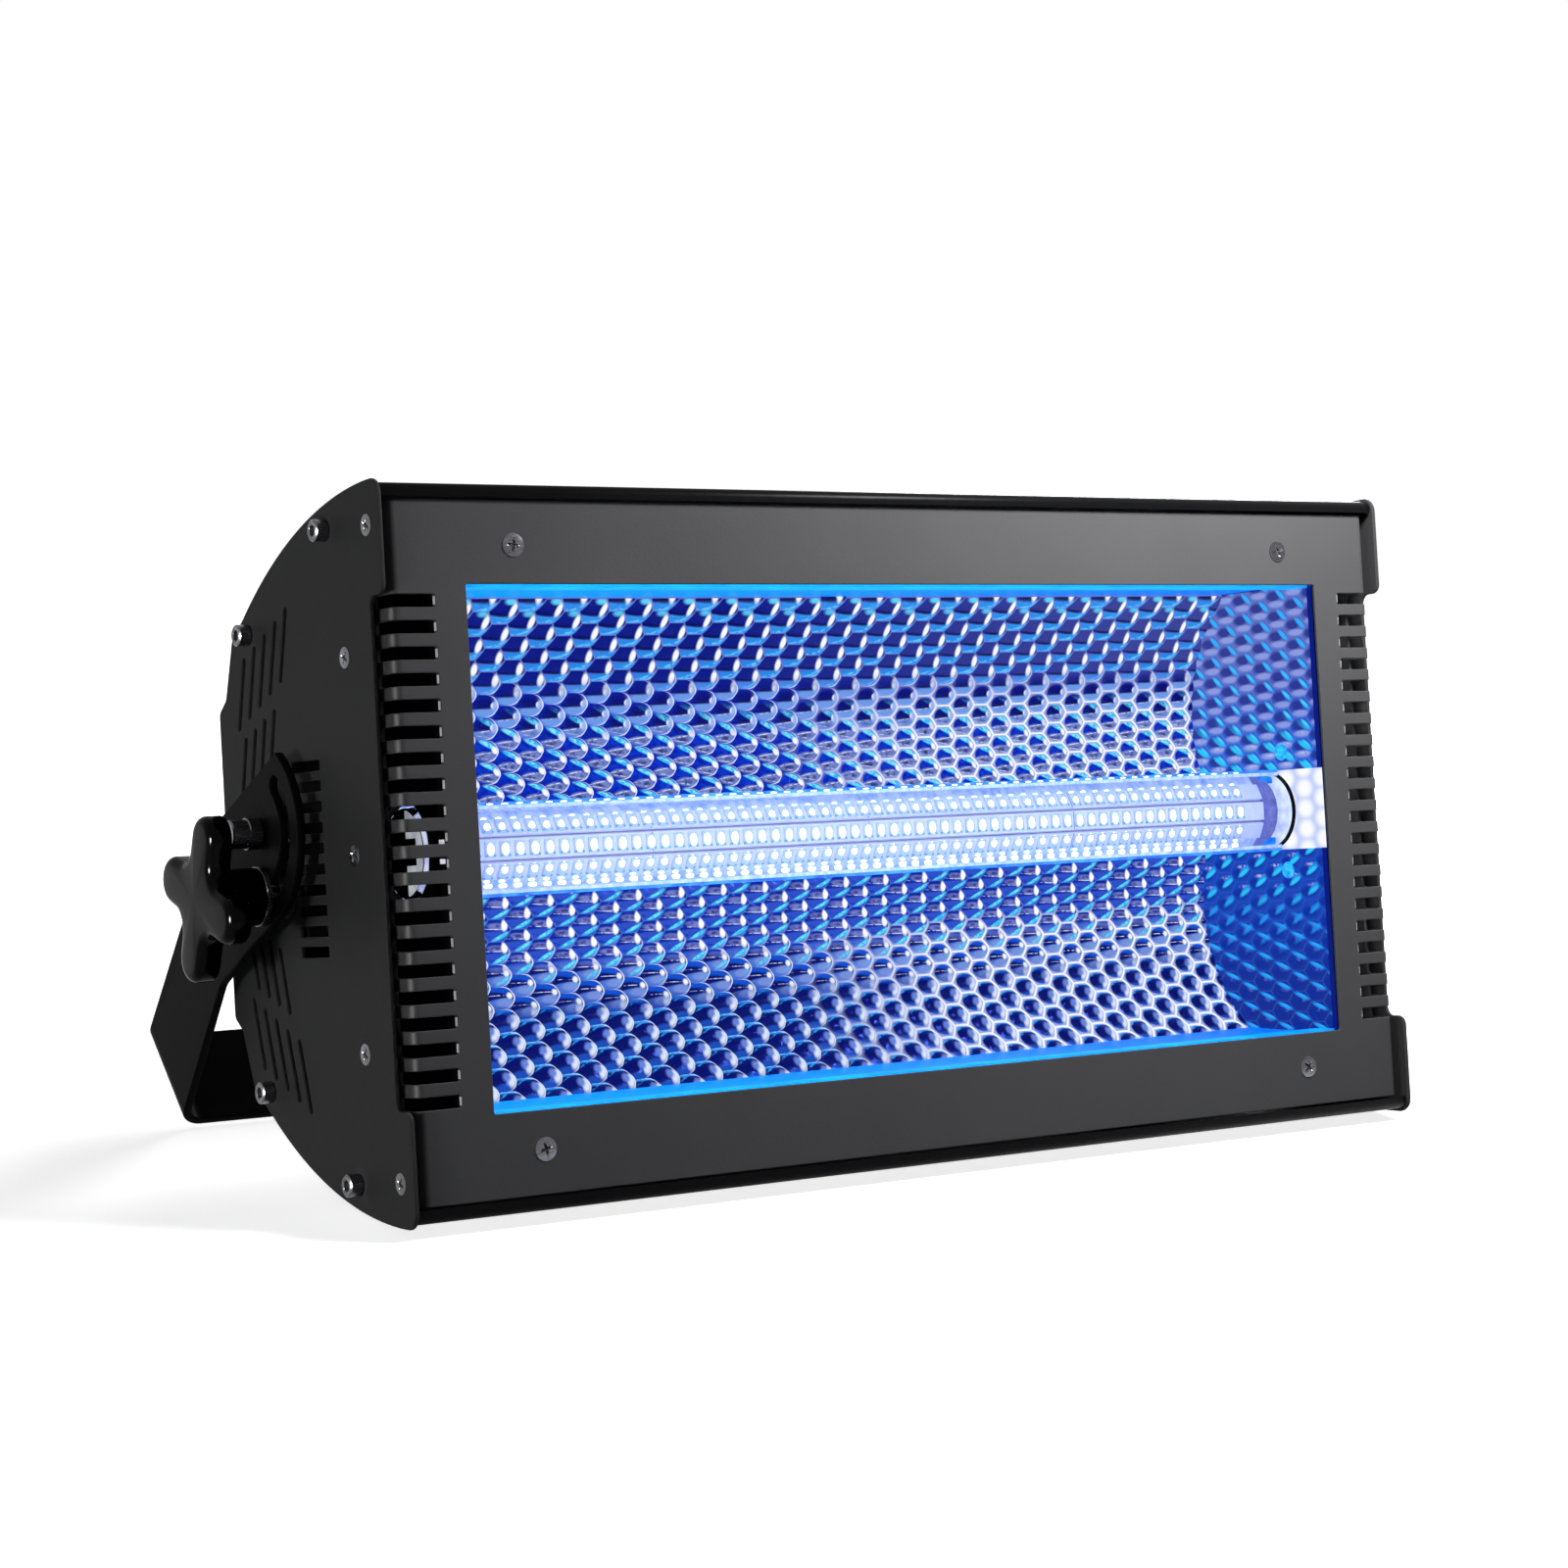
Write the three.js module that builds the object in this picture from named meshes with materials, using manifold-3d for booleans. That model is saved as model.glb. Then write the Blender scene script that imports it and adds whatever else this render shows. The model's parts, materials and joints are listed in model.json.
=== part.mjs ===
// Strobe light: a wide LED strobe head on a floor and hanging yoke.
// Units are millimetres. In the finished part X runs along the width, the window faces -Y and +Z is up.
// Every piece of the head is drawn in the head's own frame: X = 0 at mid width, Y = 0 at the front edge
// of the side cheeks, Z = 0 at mid height. The head then leans back as it stands on the floor.

import * as THREE from 'three';
import { mergeVertices } from 'three/addons/utils/BufferGeometryUtils.js';
import Module from 'manifold-3d';

const wasm = await Module();
wasm.setup();

// Driving dimensions

const common = {
  sheet: 1.5,
  seat: 0.3,
  overrun: 3,
  weld: 1e-4,
  facetAngle: THREE.MathUtils.degToRad(45),
};

const head = {
  width: 428,
  height: 238,
  archRadius: 181,
  archEndY: 107,
  shoulderY: 117.3,
  shoulderFall: 6.586,
  waistY: 125,
  waistFall: 20.2,
  backY: 131,
  backFall: 4.2,
  cheekProud: 1.5,
};

const cheek = {
  cornerRadius: 5.5,
  notchDrop: 37.3,
  notchDepth: 9.4,
  notchRadius: 3.6,
  shoulderRadius: 4,
  waistRadius: 3,
};

const vent = {
  slotWidth: 2.4,
  slotEndSegments: 2,
};

const outerVent = {
  count: 5,
  y: 72.8,
  drop: 0.786,
  stepY: 8.8,
  stepZ: -3.5,
  runY: 6.4,
  runZ: -22.3,
};

const innerVent = {
  count: 4,
  y: 85.6,
  drop: 33.786,
  stepY: 8,
  stepZ: -2.7,
  runY: 5.4,
  pivotClear: 20,
};

const combVent = {
  count: 10,
  y: 52.6,
  length: 21.1,
  height: 3.6,
  pitch: 6.82,
  topZ: 32.5,
};

const bezel = {
  faceY: 2.9,
  sideInset: 3.9,
  edgeInset: 6.7,
  bendRadius: 3.5,
  flangeDepth: 20,
  windowSideRim: 27.5,
  windowEdgeRim: 27.2,
  slotLap: 0.3,
  slotPitch: 8.4,
  slotHeight: 4.2,
  slotReach: 16.1,
  slotBackY: 14,
};

const cover = {
  lipY: 1,
  lipDepth: 4.6,
  bendRadius: 3,
  hemLength: 9,
};

const glazing = {
  gasketThickness: 1,
  gasketSetBack: 1.6,
  glassThickness: 3,
  sideLap: 8.4,
  edgeLap: 6.4,
};

const lightBox = {
  ledgeSetBack: 1.7,
  sheet: 1.2,
  flangeHeight: 17,
  mirrorSetBack: 4.4,
  mirrorBackY: 88,
};

const reflector = {
  frontY: 61,
  frontGap: 0.8,
  valleyY: 81.5,
  valleyZ: 15.5,
  sag: 11.5,
  thickness: 2.4,
  dimplePitch: 18,
  rowPitch: 5.2,
  dimpleHeight: 2,
};

const aura = {
  width: 11,
  thickness: 1.6,
  setBack: 2,
};

const tube = {
  axisY: 41,
  outerRadius: 15,
  wall: 1.4,
  railWidth: 13,
  railProud: 0.7,
  carrierInset: 12,
  faceOffset: 8,
  faceHalf: 3.7,
  sideFace: 6.8,
  sideTilt: THREE.MathUtils.degToRad(30),
  carrierBack: 6,
  carrierBackHalf: 4.5,
  boreRadius: 3.2,
  boardThickness: 1.3,
  collarThickness: 4,
  bracketThickness: 2,
  bracketHalfHeight: 26,
  bracketHalfDepth: 20,
  bracketNotch: 8,
  bracketFoot: 12,
};

const fan = {
  cheekInset: 52,
  offsetZ: 0,
  side: 60,
  depth: 15,
  corner: 5,
  boreRadius: 28,
  hubRadius: 12,
  tipGap: 1.2,
  bladeCount: 7,
  bladeThickness: 1.6,
  bladePitch: THREE.MathUtils.degToRad(38),
  bladeDepth: 9,
  strutCount: 3,
  strutWidth: 4,
  strutDepth: 2.4,
  motorRadius: 11,
  runGap: 0.6,
  screwPitch: 50,
  screwRadius: 2.1,
  ventPitch: 5.6,
  ventWidth: 3,
};

const psu = {
  sideClear: 13,
  centreClear: 5.5,
  footClear: 2.5,
  depth: 28,
  wall: 1.2,
  ventCount: 8,
  ventWidth: 3,
  ventShare: 0.6,
};

const board = {
  sideClear: 28,
  centreClear: 5,
  headProud: 2,
  thickness: 1.6,
  postLength: 7,
  postRadius: 3,
  postInset: 6,
  heatSinkWidth: 50,
  heatSinkInset: 10,
  heatSinkBase: 3,
  finCount: 8,
  finThickness: 1.5,
  finDepth: 14,
};

const panel = {
  displayWidth: 56,
  displayHeight: 26,
  displayZ: 24,
  displayThickness: 1.6,
  displayCorner: 2,
  displayLap: 3,
  buttonCount: 4,
  buttonPitch: 15,
  buttonRadius: 4.5,
  buttonHead: 3,
  buttonStem: 2,
  buttonZ: -3,
  buttonTravel: 1,
  buttonClear: 0.35,
  connectorFromFan: 74,
  connectorZ: 20,
  fuseFromFan: 47,
  fuseZ: 20,
};

const powerSocket = {
  flangeWidth: 26,
  flangeHeight: 31,
  flange: 3,
  bodyRadius: 11.8,
  bodyDepth: 22,
  mouthRadius: 9,
  mouthDepth: 12,
  coreRadius: 2.4,
  corner: 3,
};

const dataSocket = {
  flangeWidth: 26,
  flangeHeight: 31,
  flange: 2.6,
  bodyRadius: 11.4,
  bodyDepth: 20,
  mouthRadius: 8.6,
  mouthDepth: 11,
  pinRadius: 0.9,
  pinCircle: 5.4,
  pinCount: 3,
  corner: 3,
};

const fuse = {
  bezelRadius: 8,
  bezel: 3,
  bodyRadius: 6.2,
  bodyDepth: 24,
  slotWidth: 1.6,
  slotDepth: 1.2,
};

const yoke = {
  pivotY: 83.5,
  pivotZ: 9.7,
  armGap: 6,
  sheet: 3,
  restAngle: THREE.MathUtils.degToRad(-42),
  strapReach: 125,
  strapHalf: 20,
  bendRadius: 9,
  cornerRadius: 7,
  stub: 12,
  headRadius: 30.8,
  tipAngle: THREE.MathUtils.degToRad(164),
  archEndAngle: THREE.MathUtils.degToRad(290),
  neckReach: 33.2,
  neckOffset: -21,
  waistReach: 62.1,
  waistOffset: -12.1,
  heelReach: 28,
  heelOffset: 28.7,
  slotRadius: 21,
  slotWidth: 7,
  slotStart: THREE.MathUtils.degToRad(175.5),
  slotEnd: THREE.MathUtils.degToRad(347.5),
  pivotHole: 3.4,
  clampHole: 6.5,
  sideHole: 5.2,
  sideHolePitch: 80,
};

const pivotScrew = {
  headRadius: 4.9,
  headHeight: 6,
  socketRadius: 2.9,
  socketDepth: 3.4,
  collarRadius: 5.4,
  collarHeight: 4.6,
  shankRadius: 3,
  nutRadius: 6.4,
  nutHeight: 5,
};

const spacer = {
  pivotRadius: 10,
  clampRadius: 9,
};

const knob = {
  washerRadius: 10,
  washerHeight: 2.2,
  hubRadius: 9.7,
  lobeFrom: 15.5,
  lobeTo: 24.5,
  lobeReach: 28.8,
  lobeRadius: 8.2,
  lobeSpread: THREE.MathUtils.degToRad(79),
  valleyReach: 14.5,
  valleyRise: 0.9,
  valleySpread: THREE.MathUtils.degToRad(12.6),
  lobeTurn: THREE.MathUtils.degToRad(20),
  lobeCount: 4,
  bevel: 3,
  studRadius: 2.9,
  bossRadius: 6,
  bossHeight: 6,
};

const capScrew = {
  headRadius: 3.7,
  headHeight: 4.6,
  socketRadius: 2,
  socketDepth: 2.2,
  shankRadius: 2,
  shankLength: 9,
  frontY: 38.8,
  frontDrop: 12.9,
  rearY: 103,
  rearDrop: 6.186,
};

const safetyEye = {
  fromConnector: 48,
  z: -40,
  foot: 12,
  width: 16,
  reach: 18,
  sheet: 3,
  holeRadius: 5,
};

// Sizes that follow from the driving ones

const halfHeight = head.height / 2;
const archCentreZ = halfHeight - head.archRadius;
const archEndZ = archCentreZ + Math.sqrt(head.archRadius ** 2 - head.archEndY ** 2);
const shoulderZ = archEndZ - head.shoulderFall;
const waistZ = shoulderZ - head.waistFall;
const backZ = waistZ - head.backFall;
const notchHalf = halfHeight - cheek.notchDrop;
const cheekOuterX = head.width / 2;
const cheekInnerX = cheekOuterX - common.sheet;
const bezelHalfWidth = cheekOuterX - bezel.sideInset;
const bezelHalfHeight = halfHeight - bezel.edgeInset;
const windowHalfWidth = bezelHalfWidth - bezel.windowSideRim;
const windowHalfHeight = bezelHalfHeight - bezel.windowEdgeRim;
const glassHalfWidth = windowHalfWidth + glazing.sideLap;
const glassHalfHeight = windowHalfHeight + glazing.edgeLap;
const ledgeZ = windowHalfHeight + lightBox.ledgeSetBack;
const mirrorX = windowHalfWidth + lightBox.mirrorSetBack;
const reflectorFrontZ = ledgeZ - reflector.frontGap;
const carrierHalfLength = mirrorX - tube.carrierInset;
const fanX = cheekOuterX - fan.cheekInset;
const connectorX = fanX - panel.connectorFromFan;
const fuseX = fanX - panel.fuseFromFan;
const eyeX = connectorX - safetyEye.fromConnector;
const psuHalfWidth = connectorX - psu.sideClear;
const boardHalfWidth = connectorX - board.sideClear;
const sheetHalfX = cheekInnerX - common.seat;
const backInnerY = head.backY - head.cheekProud - common.sheet;
const gasketY = bezel.faceY + common.sheet + common.seat;
const glassY = gasketY + glazing.gasketThickness + common.seat;
const boxFrontY = glassY + glazing.glassThickness + common.seat;
const mirrorOuterX = mirrorX + lightBox.sheet;
const bracketX = mirrorOuterX + common.seat;
const tubeHoleRadius = Math.hypot(tube.railWidth / 2, tube.outerRadius + tube.railProud) + common.seat * 2;
const armInnerX = cheekOuterX + yoke.armGap;
const armOuterX = armInnerX + yoke.sheet;
const clampY = yoke.pivotY;
const clampZ = yoke.pivotZ - yoke.slotRadius;

// Finishes

const finish = {
  blackSteel: new THREE.MeshStandardMaterial({ color: 0x17181a, roughness: 0.55, metalness: 0.3 }),
  blackGloss: new THREE.MeshStandardMaterial({ color: 0x0a0a0b, roughness: 0.25, metalness: 0.2 }),
  blackPlastic: new THREE.MeshStandardMaterial({ color: 0x0d0d0e, roughness: 0.4, metalness: 0 }),
  blackOxide: new THREE.MeshStandardMaterial({ color: 0x1c1c1e, roughness: 0.35, metalness: 0.8 }),
  rubber: new THREE.MeshStandardMaterial({ color: 0x0b0b0b, roughness: 0.8, metalness: 0 }),
  glass: new THREE.MeshStandardMaterial({
    color: 0xe8f2ff,
    roughness: 0.02,
    metalness: 0,
    opacity: 0.25,
    transparent: true,
  }),
  mirror: new THREE.MeshStandardMaterial({ color: 0x3a62d8, roughness: 0.08, metalness: 1 }),
  aluminium: new THREE.MeshStandardMaterial({ color: 0xc8cacd, roughness: 0.35, metalness: 1 }),
  steel: new THREE.MeshStandardMaterial({ color: 0xb4b6b8, roughness: 0.3, metalness: 1 }),
  whiteBoard: new THREE.MeshStandardMaterial({ color: 0xe6e8f6, roughness: 0.5, metalness: 0 }),
  blueBoard: new THREE.MeshStandardMaterial({ color: 0x19a8ff, roughness: 0.5, metalness: 0 }),
  greenBoard: new THREE.MeshStandardMaterial({ color: 0x0f4a2c, roughness: 0.5, metalness: 0 }),
};

// Shape helpers

// Turns a closed geometry into a solid that can be joined and cut.
function toSolid(geometry) {
  const bare = geometry.clone();
  for (const name of Object.keys(bare.attributes)) {
    if (name !== 'position') {
      bare.deleteAttribute(name);
    }
  }
  const merged = mergeVertices(bare, common.weld);
  return new wasm.Manifold(new wasm.Mesh({
    numProp: 3,
    vertProperties: merged.attributes.position.array,
    triVerts: Uint32Array.from(merged.index.array),
  }));
}

// Turns a solid back into a geometry.
function toGeometry(solid) {
  const mesh = solid.getMesh();
  const geometry = new THREE.BufferGeometry();
  geometry.setAttribute('position', new THREE.BufferAttribute(Float32Array.from(mesh.vertProperties), 3));
  geometry.setIndex(Array.from(mesh.triVerts));
  geometry.computeVertexNormals();
  return geometry;
}

// Joins a list of geometries into one.
function join(...geometries) {
  return toGeometry(geometries.map(toSolid).reduce((whole, part) => whole.add(part)));
}

// Cuts every tool geometry out of a base geometry.
function cut(base, ...tools) {
  const holes = tools.map(toSolid).reduce((whole, part) => whole.add(part));
  return toGeometry(toSolid(base).subtract(holes));
}

// An outline whose corners [a, b, radius] are rounded by arcs; a corner with no radius stays sharp.
function rounded(corners) {
  const outline = [];
  corners.forEach(([a, b, radius], i) => {
    const here = new THREE.Vector2(a, b);
    if (!radius) {
      outline.push(here);
      return;
    }
    const before = new THREE.Vector2(...corners.at(i - 1));
    const after = new THREE.Vector2(...corners[(i + 1) % corners.length]);
    const inward = before.sub(here).normalize();
    const outward = after.sub(here).normalize();
    const half = Math.acos(THREE.MathUtils.clamp(inward.dot(outward), -1, 1)) / 2;
    const start = here.clone().addScaledVector(inward, radius / Math.tan(half));
    const middle = inward.clone().add(outward).normalize();
    const centre = here.clone().addScaledVector(middle, radius / Math.sin(half));
    const spoke = start.clone().sub(centre);
    const turn = (inward.cross(outward) > 0 ? -1 : 1) * (Math.PI - 2 * half);
    const steps = Math.max(2, Math.ceil(Math.abs(turn) / common.facetAngle));
    for (let k = 0; k <= steps; k += 1) {
      outline.push(spoke.clone().rotateAround(new THREE.Vector2(), (turn * k) / steps).add(centre));
    }
  });
  return outline;
}

// Points along an arc about (a, b), ends included.
function arc(a, b, radius, from, to, steps) {
  return Array.from({ length: steps + 1 }, (_, k) => {
    const angle = from + ((to - from) * k) / steps;
    return new THREE.Vector2(a + radius * Math.cos(angle), b + radius * Math.sin(angle));
  });
}

// A slot with round ends from one point to another.
function slot(a, b, width) {
  const heading = b.clone().sub(a).angle();
  const half = width / 2;
  const steps = vent.slotEndSegments;
  return [
    ...arc(b.x, b.y, half, heading - Math.PI / 2, heading + Math.PI / 2, steps),
    ...arc(a.x, a.y, half, heading + Math.PI / 2, heading + (Math.PI * 3) / 2, steps),
  ];
}

// A circle as an outline.
function circle(a, b, radius, steps = 16) {
  return arc(a, b, radius, 0, Math.PI * 2, steps).slice(0, -1);
}

// A rectangle as an outline.
function rectangle(aMin, aMax, bMin, bMax) {
  return [[aMin, bMin], [aMax, bMin], [aMax, bMax], [aMin, bMax]].map(([a, b]) => new THREE.Vector2(a, b));
}

function extrude(outline, depth, holes = []) {
  const shape = new THREE.Shape(outline);
  shape.holes = holes.map((hole) => new THREE.Path(hole));
  return new THREE.ExtrudeGeometry(shape, { depth, bevelEnabled: false });
}

// Turns a shape drawn in (Y, Z) so that its depth runs along X.
const sideAxes = new THREE.Matrix4().makeBasis(
  new THREE.Vector3(0, 1, 0),
  new THREE.Vector3(0, 0, 1),
  new THREE.Vector3(1, 0, 0),
);

// Turns a shape drawn in (X, Z) so that its depth runs along -Y.
const faceAxes = new THREE.Matrix4().makeBasis(
  new THREE.Vector3(1, 0, 0),
  new THREE.Vector3(0, 0, 1),
  new THREE.Vector3(0, -1, 0),
);

// A plate drawn in (Y, Z) that fills X from its lower to its higher value.
function sidePlate(outline, xFrom, xTo, holes) {
  return extrude(outline, xTo - xFrom, holes).applyMatrix4(sideAxes).translate(xFrom, 0, 0);
}

// A plate drawn in (X, Z) that fills Y from its lower to its higher value.
function facePlate(outline, yFrom, yTo, holes) {
  return extrude(outline, yTo - yFrom, holes).applyMatrix4(faceAxes).translate(0, yTo, 0);
}

function block(xFrom, xTo, yFrom, yTo, zFrom, zTo) {
  return new THREE.BoxGeometry(xTo - xFrom, yTo - yFrom, zTo - zFrom)
    .translate((xFrom + xTo) / 2, (yFrom + yTo) / 2, (zFrom + zTo) / 2);
}

// A round bar about an axis parallel to X.
function barX(y, z, radius, xFrom, xTo, steps = 14) {
  return sidePlate(circle(y, z, radius, steps), Math.min(xFrom, xTo), Math.max(xFrom, xTo));
}

// A round bar about an axis parallel to Y.
function barY(x, z, radius, yFrom, yTo, steps = 14) {
  return facePlate(circle(x, z, radius, steps), yFrom, yTo);
}

// The same geometry on the other side of the plane X = 0.
function mirrored(geometry) {
  const copy = geometry.clone().scale(-1, 1, 1);
  const index = copy.index ? Array.from(copy.index.array) : [...Array(copy.attributes.position.count).keys()];
  for (let i = 0; i < index.length; i += 3) {
    [index[i], index[i + 1]] = [index[i + 1], index[i]];
  }
  copy.setIndex(index);
  return copy;
}

const strobe = new THREE.Group();
const body = new THREE.Group();
strobe.add(body);

function add(name, geometry, material, group = body) {
  const mesh = new THREE.Mesh(geometry, material);
  mesh.name = name;
  group.add(mesh);
  return mesh;
}

// A left and a right copy of a piece that is drawn on the +X side.
function addPair(name, geometry, material) {
  add(`${name}_right`, geometry, material);
  add(`${name}_left`, mirrored(geometry), material);
}

// Side cheeks

// The side outline of the head, with a step in at the front, drawn above mid height and mirrored below it.
function cheekOutline() {
  const archTo = Math.acos(head.archEndY / head.archRadius);
  const archFrom = Math.acos((cheek.cornerRadius * 2) / head.archRadius);
  const arch = arc(0, archCentreZ, head.archRadius, archFrom, archTo, 9).map(({ x, y }) => [x, y]);
  const upper = [
    [cheek.notchDepth, notchHalf, cheek.notchRadius],
    [0, notchHalf, cheek.notchRadius],
    [0, halfHeight, cheek.cornerRadius],
    ...arch,
    [head.shoulderY, shoulderZ, cheek.shoulderRadius],
    [head.waistY, waistZ, cheek.waistRadius],
    [head.backY, backZ, cheek.waistRadius],
  ];
  const lower = upper.map(([y, z, radius]) => [y, -z, radius]).reverse();
  return rounded([...upper, ...lower]).reverse();
}

// A row of slots that lean together, each stepped from the last.
function leaningSlots({ count, y, drop, stepY, stepZ, runY, runZ }) {
  return Array.from({ length: count }, (_, k) => {
    const top = new THREE.Vector2(y + k * stepY, archEndZ - drop + k * stepZ);
    return [top, top.clone().add(new THREE.Vector2(runY, runZ))];
  });
}

function cheekHoles() {
  const innerRun = yoke.pivotZ + innerVent.pivotClear - (archEndZ - innerVent.drop);
  const upper = [...leaningSlots(outerVent), ...leaningSlots({ ...innerVent, runZ: innerRun })];
  const lower = upper.map((ends) => ends.map(({ x, y }) => new THREE.Vector2(x, -y)));
  const comb = Array.from({ length: combVent.count }, (_, k) => {
    const top = combVent.topZ - k * combVent.pitch;
    return rectangle(combVent.y, combVent.y + combVent.length, top - combVent.height, top);
  });
  const screws = capScrewPlaces().map(([y, z]) => circle(y, z, capScrew.shankRadius + common.seat, 8));
  return [
    ...[...upper, ...lower].map(([a, b]) => slot(a, b, vent.slotWidth)),
    ...comb,
    ...screws,
    circle(yoke.pivotY, yoke.pivotZ, pivotScrew.shankRadius + common.seat, 10),
    circle(clampY, clampZ, knob.bossRadius, 12),
  ];
}

function addCheeks() {
  addPair('side_cheek', sidePlate(cheekOutline(), cheekInnerX, cheekOuterX, cheekHoles()), finish.blackSteel);
}

// Top and bottom covers

// The covers follow the arch inside the cheeks, turn down at the front as a lip and end on the shoulder.
function coverProfile() {
  const outer = head.archRadius - head.cheekProud;
  const from = Math.acos((cover.lipY + cover.bendRadius * 2) / outer);
  const to = Math.acos(head.archEndY / outer);
  const outerArch = arc(0, archCentreZ, outer, from, to, 9);
  const innerArch = arc(0, archCentreZ, outer - common.sheet, from, to, 9);
  const lipTop = halfHeight - head.cheekProud;
  const lipFoot = lipTop - cover.lipDepth;
  const slope = new THREE.Vector2(head.shoulderY - head.archEndY, shoulderZ - outerArch.at(-1).y).normalize();
  const end = outerArch.at(-1).clone().addScaledVector(slope, cover.hemLength);
  const inward = new THREE.Vector2(slope.y, -slope.x).multiplyScalar(common.sheet);
  return rounded([
    [cover.lipY, lipFoot],
    [cover.lipY + common.sheet, lipFoot],
    [cover.lipY + common.sheet, lipTop - common.sheet, cover.bendRadius - common.sheet],
    ...innerArch.map(({ x, y }) => [x, y]),
    [end.x + inward.x, end.y + inward.y],
    [end.x, end.y],
    ...outerArch.toReversed().map(({ x, y }) => [x, y]),
    [cover.lipY, lipTop, cover.bendRadius],
  ]);
}

function addCovers() {
  const profile = coverProfile();
  const below = profile.map(({ x, y }) => new THREE.Vector2(x, -y)).reverse();
  add('top_cover', sidePlate(profile, -sheetHalfX, sheetHalfX), finish.blackGloss);
  add('bottom_cover', sidePlate(below, -sheetHalfX, sheetHalfX), finish.blackGloss);
}

// Rear panel

function powerPlaces() {
  return [[connectorX, panel.connectorZ], [connectorX, -panel.connectorZ]];
}

function dataPlaces() {
  return [[-connectorX, panel.connectorZ], [-connectorX, -panel.connectorZ]];
}

function buttonPlaces() {
  return Array.from({ length: panel.buttonCount }, (_, k) => {
    return [(k - (panel.buttonCount - 1) / 2) * panel.buttonPitch, panel.buttonZ];
  });
}

function fanSlots(x) {
  const reach = fan.boreRadius - fan.ventWidth;
  const count = Math.floor(reach / fan.ventPitch);
  return Array.from({ length: count * 2 + 1 }, (_, k) => {
    const offset = (k - count) * fan.ventPitch;
    const half = Math.sqrt(reach ** 2 - offset ** 2);
    return slot(
      new THREE.Vector2(x + offset, fan.offsetZ - half),
      new THREE.Vector2(x + offset, fan.offsetZ + half),
      fan.ventWidth,
    );
  });
}

function rearPanelGeometry() {
  const inset = head.cheekProud;
  const half = [
    [head.shoulderY - inset, shoulderZ - inset],
    [head.waistY - inset, waistZ - inset / 2],
    [head.backY - inset, backZ],
  ];
  const inner = half.map(([y, z]) => [y - common.sheet, z - common.sheet / 2]);
  const upDown = (points) => points.map(([y, z]) => [y, -z]);
  const profile = [...half, ...upDown(half).reverse(), ...upDown(inner), ...inner.toReversed()]
    .map(([y, z]) => new THREE.Vector2(y, z));
  const folded = sidePlate(profile.reverse(), -sheetHalfX, sheetHalfX);
  const through = [backInnerY - common.overrun, head.backY + common.overrun];
  const tools = [
    ...[-fanX, fanX].flatMap(fanSlots).map((outline) => facePlate(outline, ...through)),
    ...powerPlaces().map(([x, z]) => barY(x, z, powerSocket.bodyRadius + common.seat, ...through, 14)),
    ...dataPlaces().map(([x, z]) => barY(x, z, dataSocket.bodyRadius + common.seat, ...through, 14)),
    ...buttonPlaces().map(([x, z]) => barY(x, z, panel.buttonStem + panel.buttonClear, ...through, 8)),
    barY(fuseX, panel.fuseZ, fuse.bodyRadius + common.seat, ...through, 14),
    facePlate(displayOutline(panel.displayLap), ...through),
  ];
  return cut(folded, ...tools);
}

function displayOutline(inset) {
  const halfWidth = panel.displayWidth / 2 - inset;
  const halfHeight = panel.displayHeight / 2 - inset;
  return rounded([
    [-halfWidth, panel.displayZ - halfHeight, panel.displayCorner],
    [halfWidth, panel.displayZ - halfHeight, panel.displayCorner],
    [halfWidth, panel.displayZ + halfHeight, panel.displayCorner],
    [-halfWidth, panel.displayZ + halfHeight, panel.displayCorner],
  ]);
}

// Connector face: a flanged round socket whose mouth opens to the rear.
function flangedSocket([x, z], kind) {
  const faceY = head.backY - head.cheekProud + common.seat;
  const halfWidth = kind.flangeWidth / 2;
  const halfHeight = kind.flangeHeight / 2;
  const flange = rounded([
    [x - halfWidth, z - halfHeight, kind.corner],
    [x + halfWidth, z - halfHeight, kind.corner],
    [x + halfWidth, z + halfHeight, kind.corner],
    [x - halfWidth, z + halfHeight, kind.corner],
  ]);
  const shell = join(
    facePlate(flange, faceY, faceY + kind.flange),
    barY(x, z, kind.bodyRadius, faceY + kind.flange - kind.bodyDepth, faceY + kind.flange / 2, 14),
  );
  const mouthY = faceY + kind.flange - kind.mouthDepth;
  const mouth = barY(x, z, kind.mouthRadius, mouthY, faceY + kind.flange + common.overrun, 14);
  return [cut(shell, mouth), mouthY, faceY];
}

function powerSocketGeometry(place) {
  const [shell, mouthY, faceY] = flangedSocket(place, powerSocket);
  return join(shell, barY(...place, powerSocket.coreRadius, mouthY - powerSocket.flange, faceY, 8));
}

function dataSocketGeometry(place) {
  const [shell, mouthY, faceY] = flangedSocket(place, dataSocket);
  const [x, z] = place;
  const pins = Array.from({ length: dataSocket.pinCount }, (_, k) => {
    const angle = (Math.PI * 2 * k) / dataSocket.pinCount;
    const at = [x + dataSocket.pinCircle * Math.sin(angle), z + dataSocket.pinCircle * Math.cos(angle)];
    return barY(...at, dataSocket.pinRadius, mouthY - dataSocket.flange, faceY, 6);
  });
  return join(shell, ...pins);
}

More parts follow.
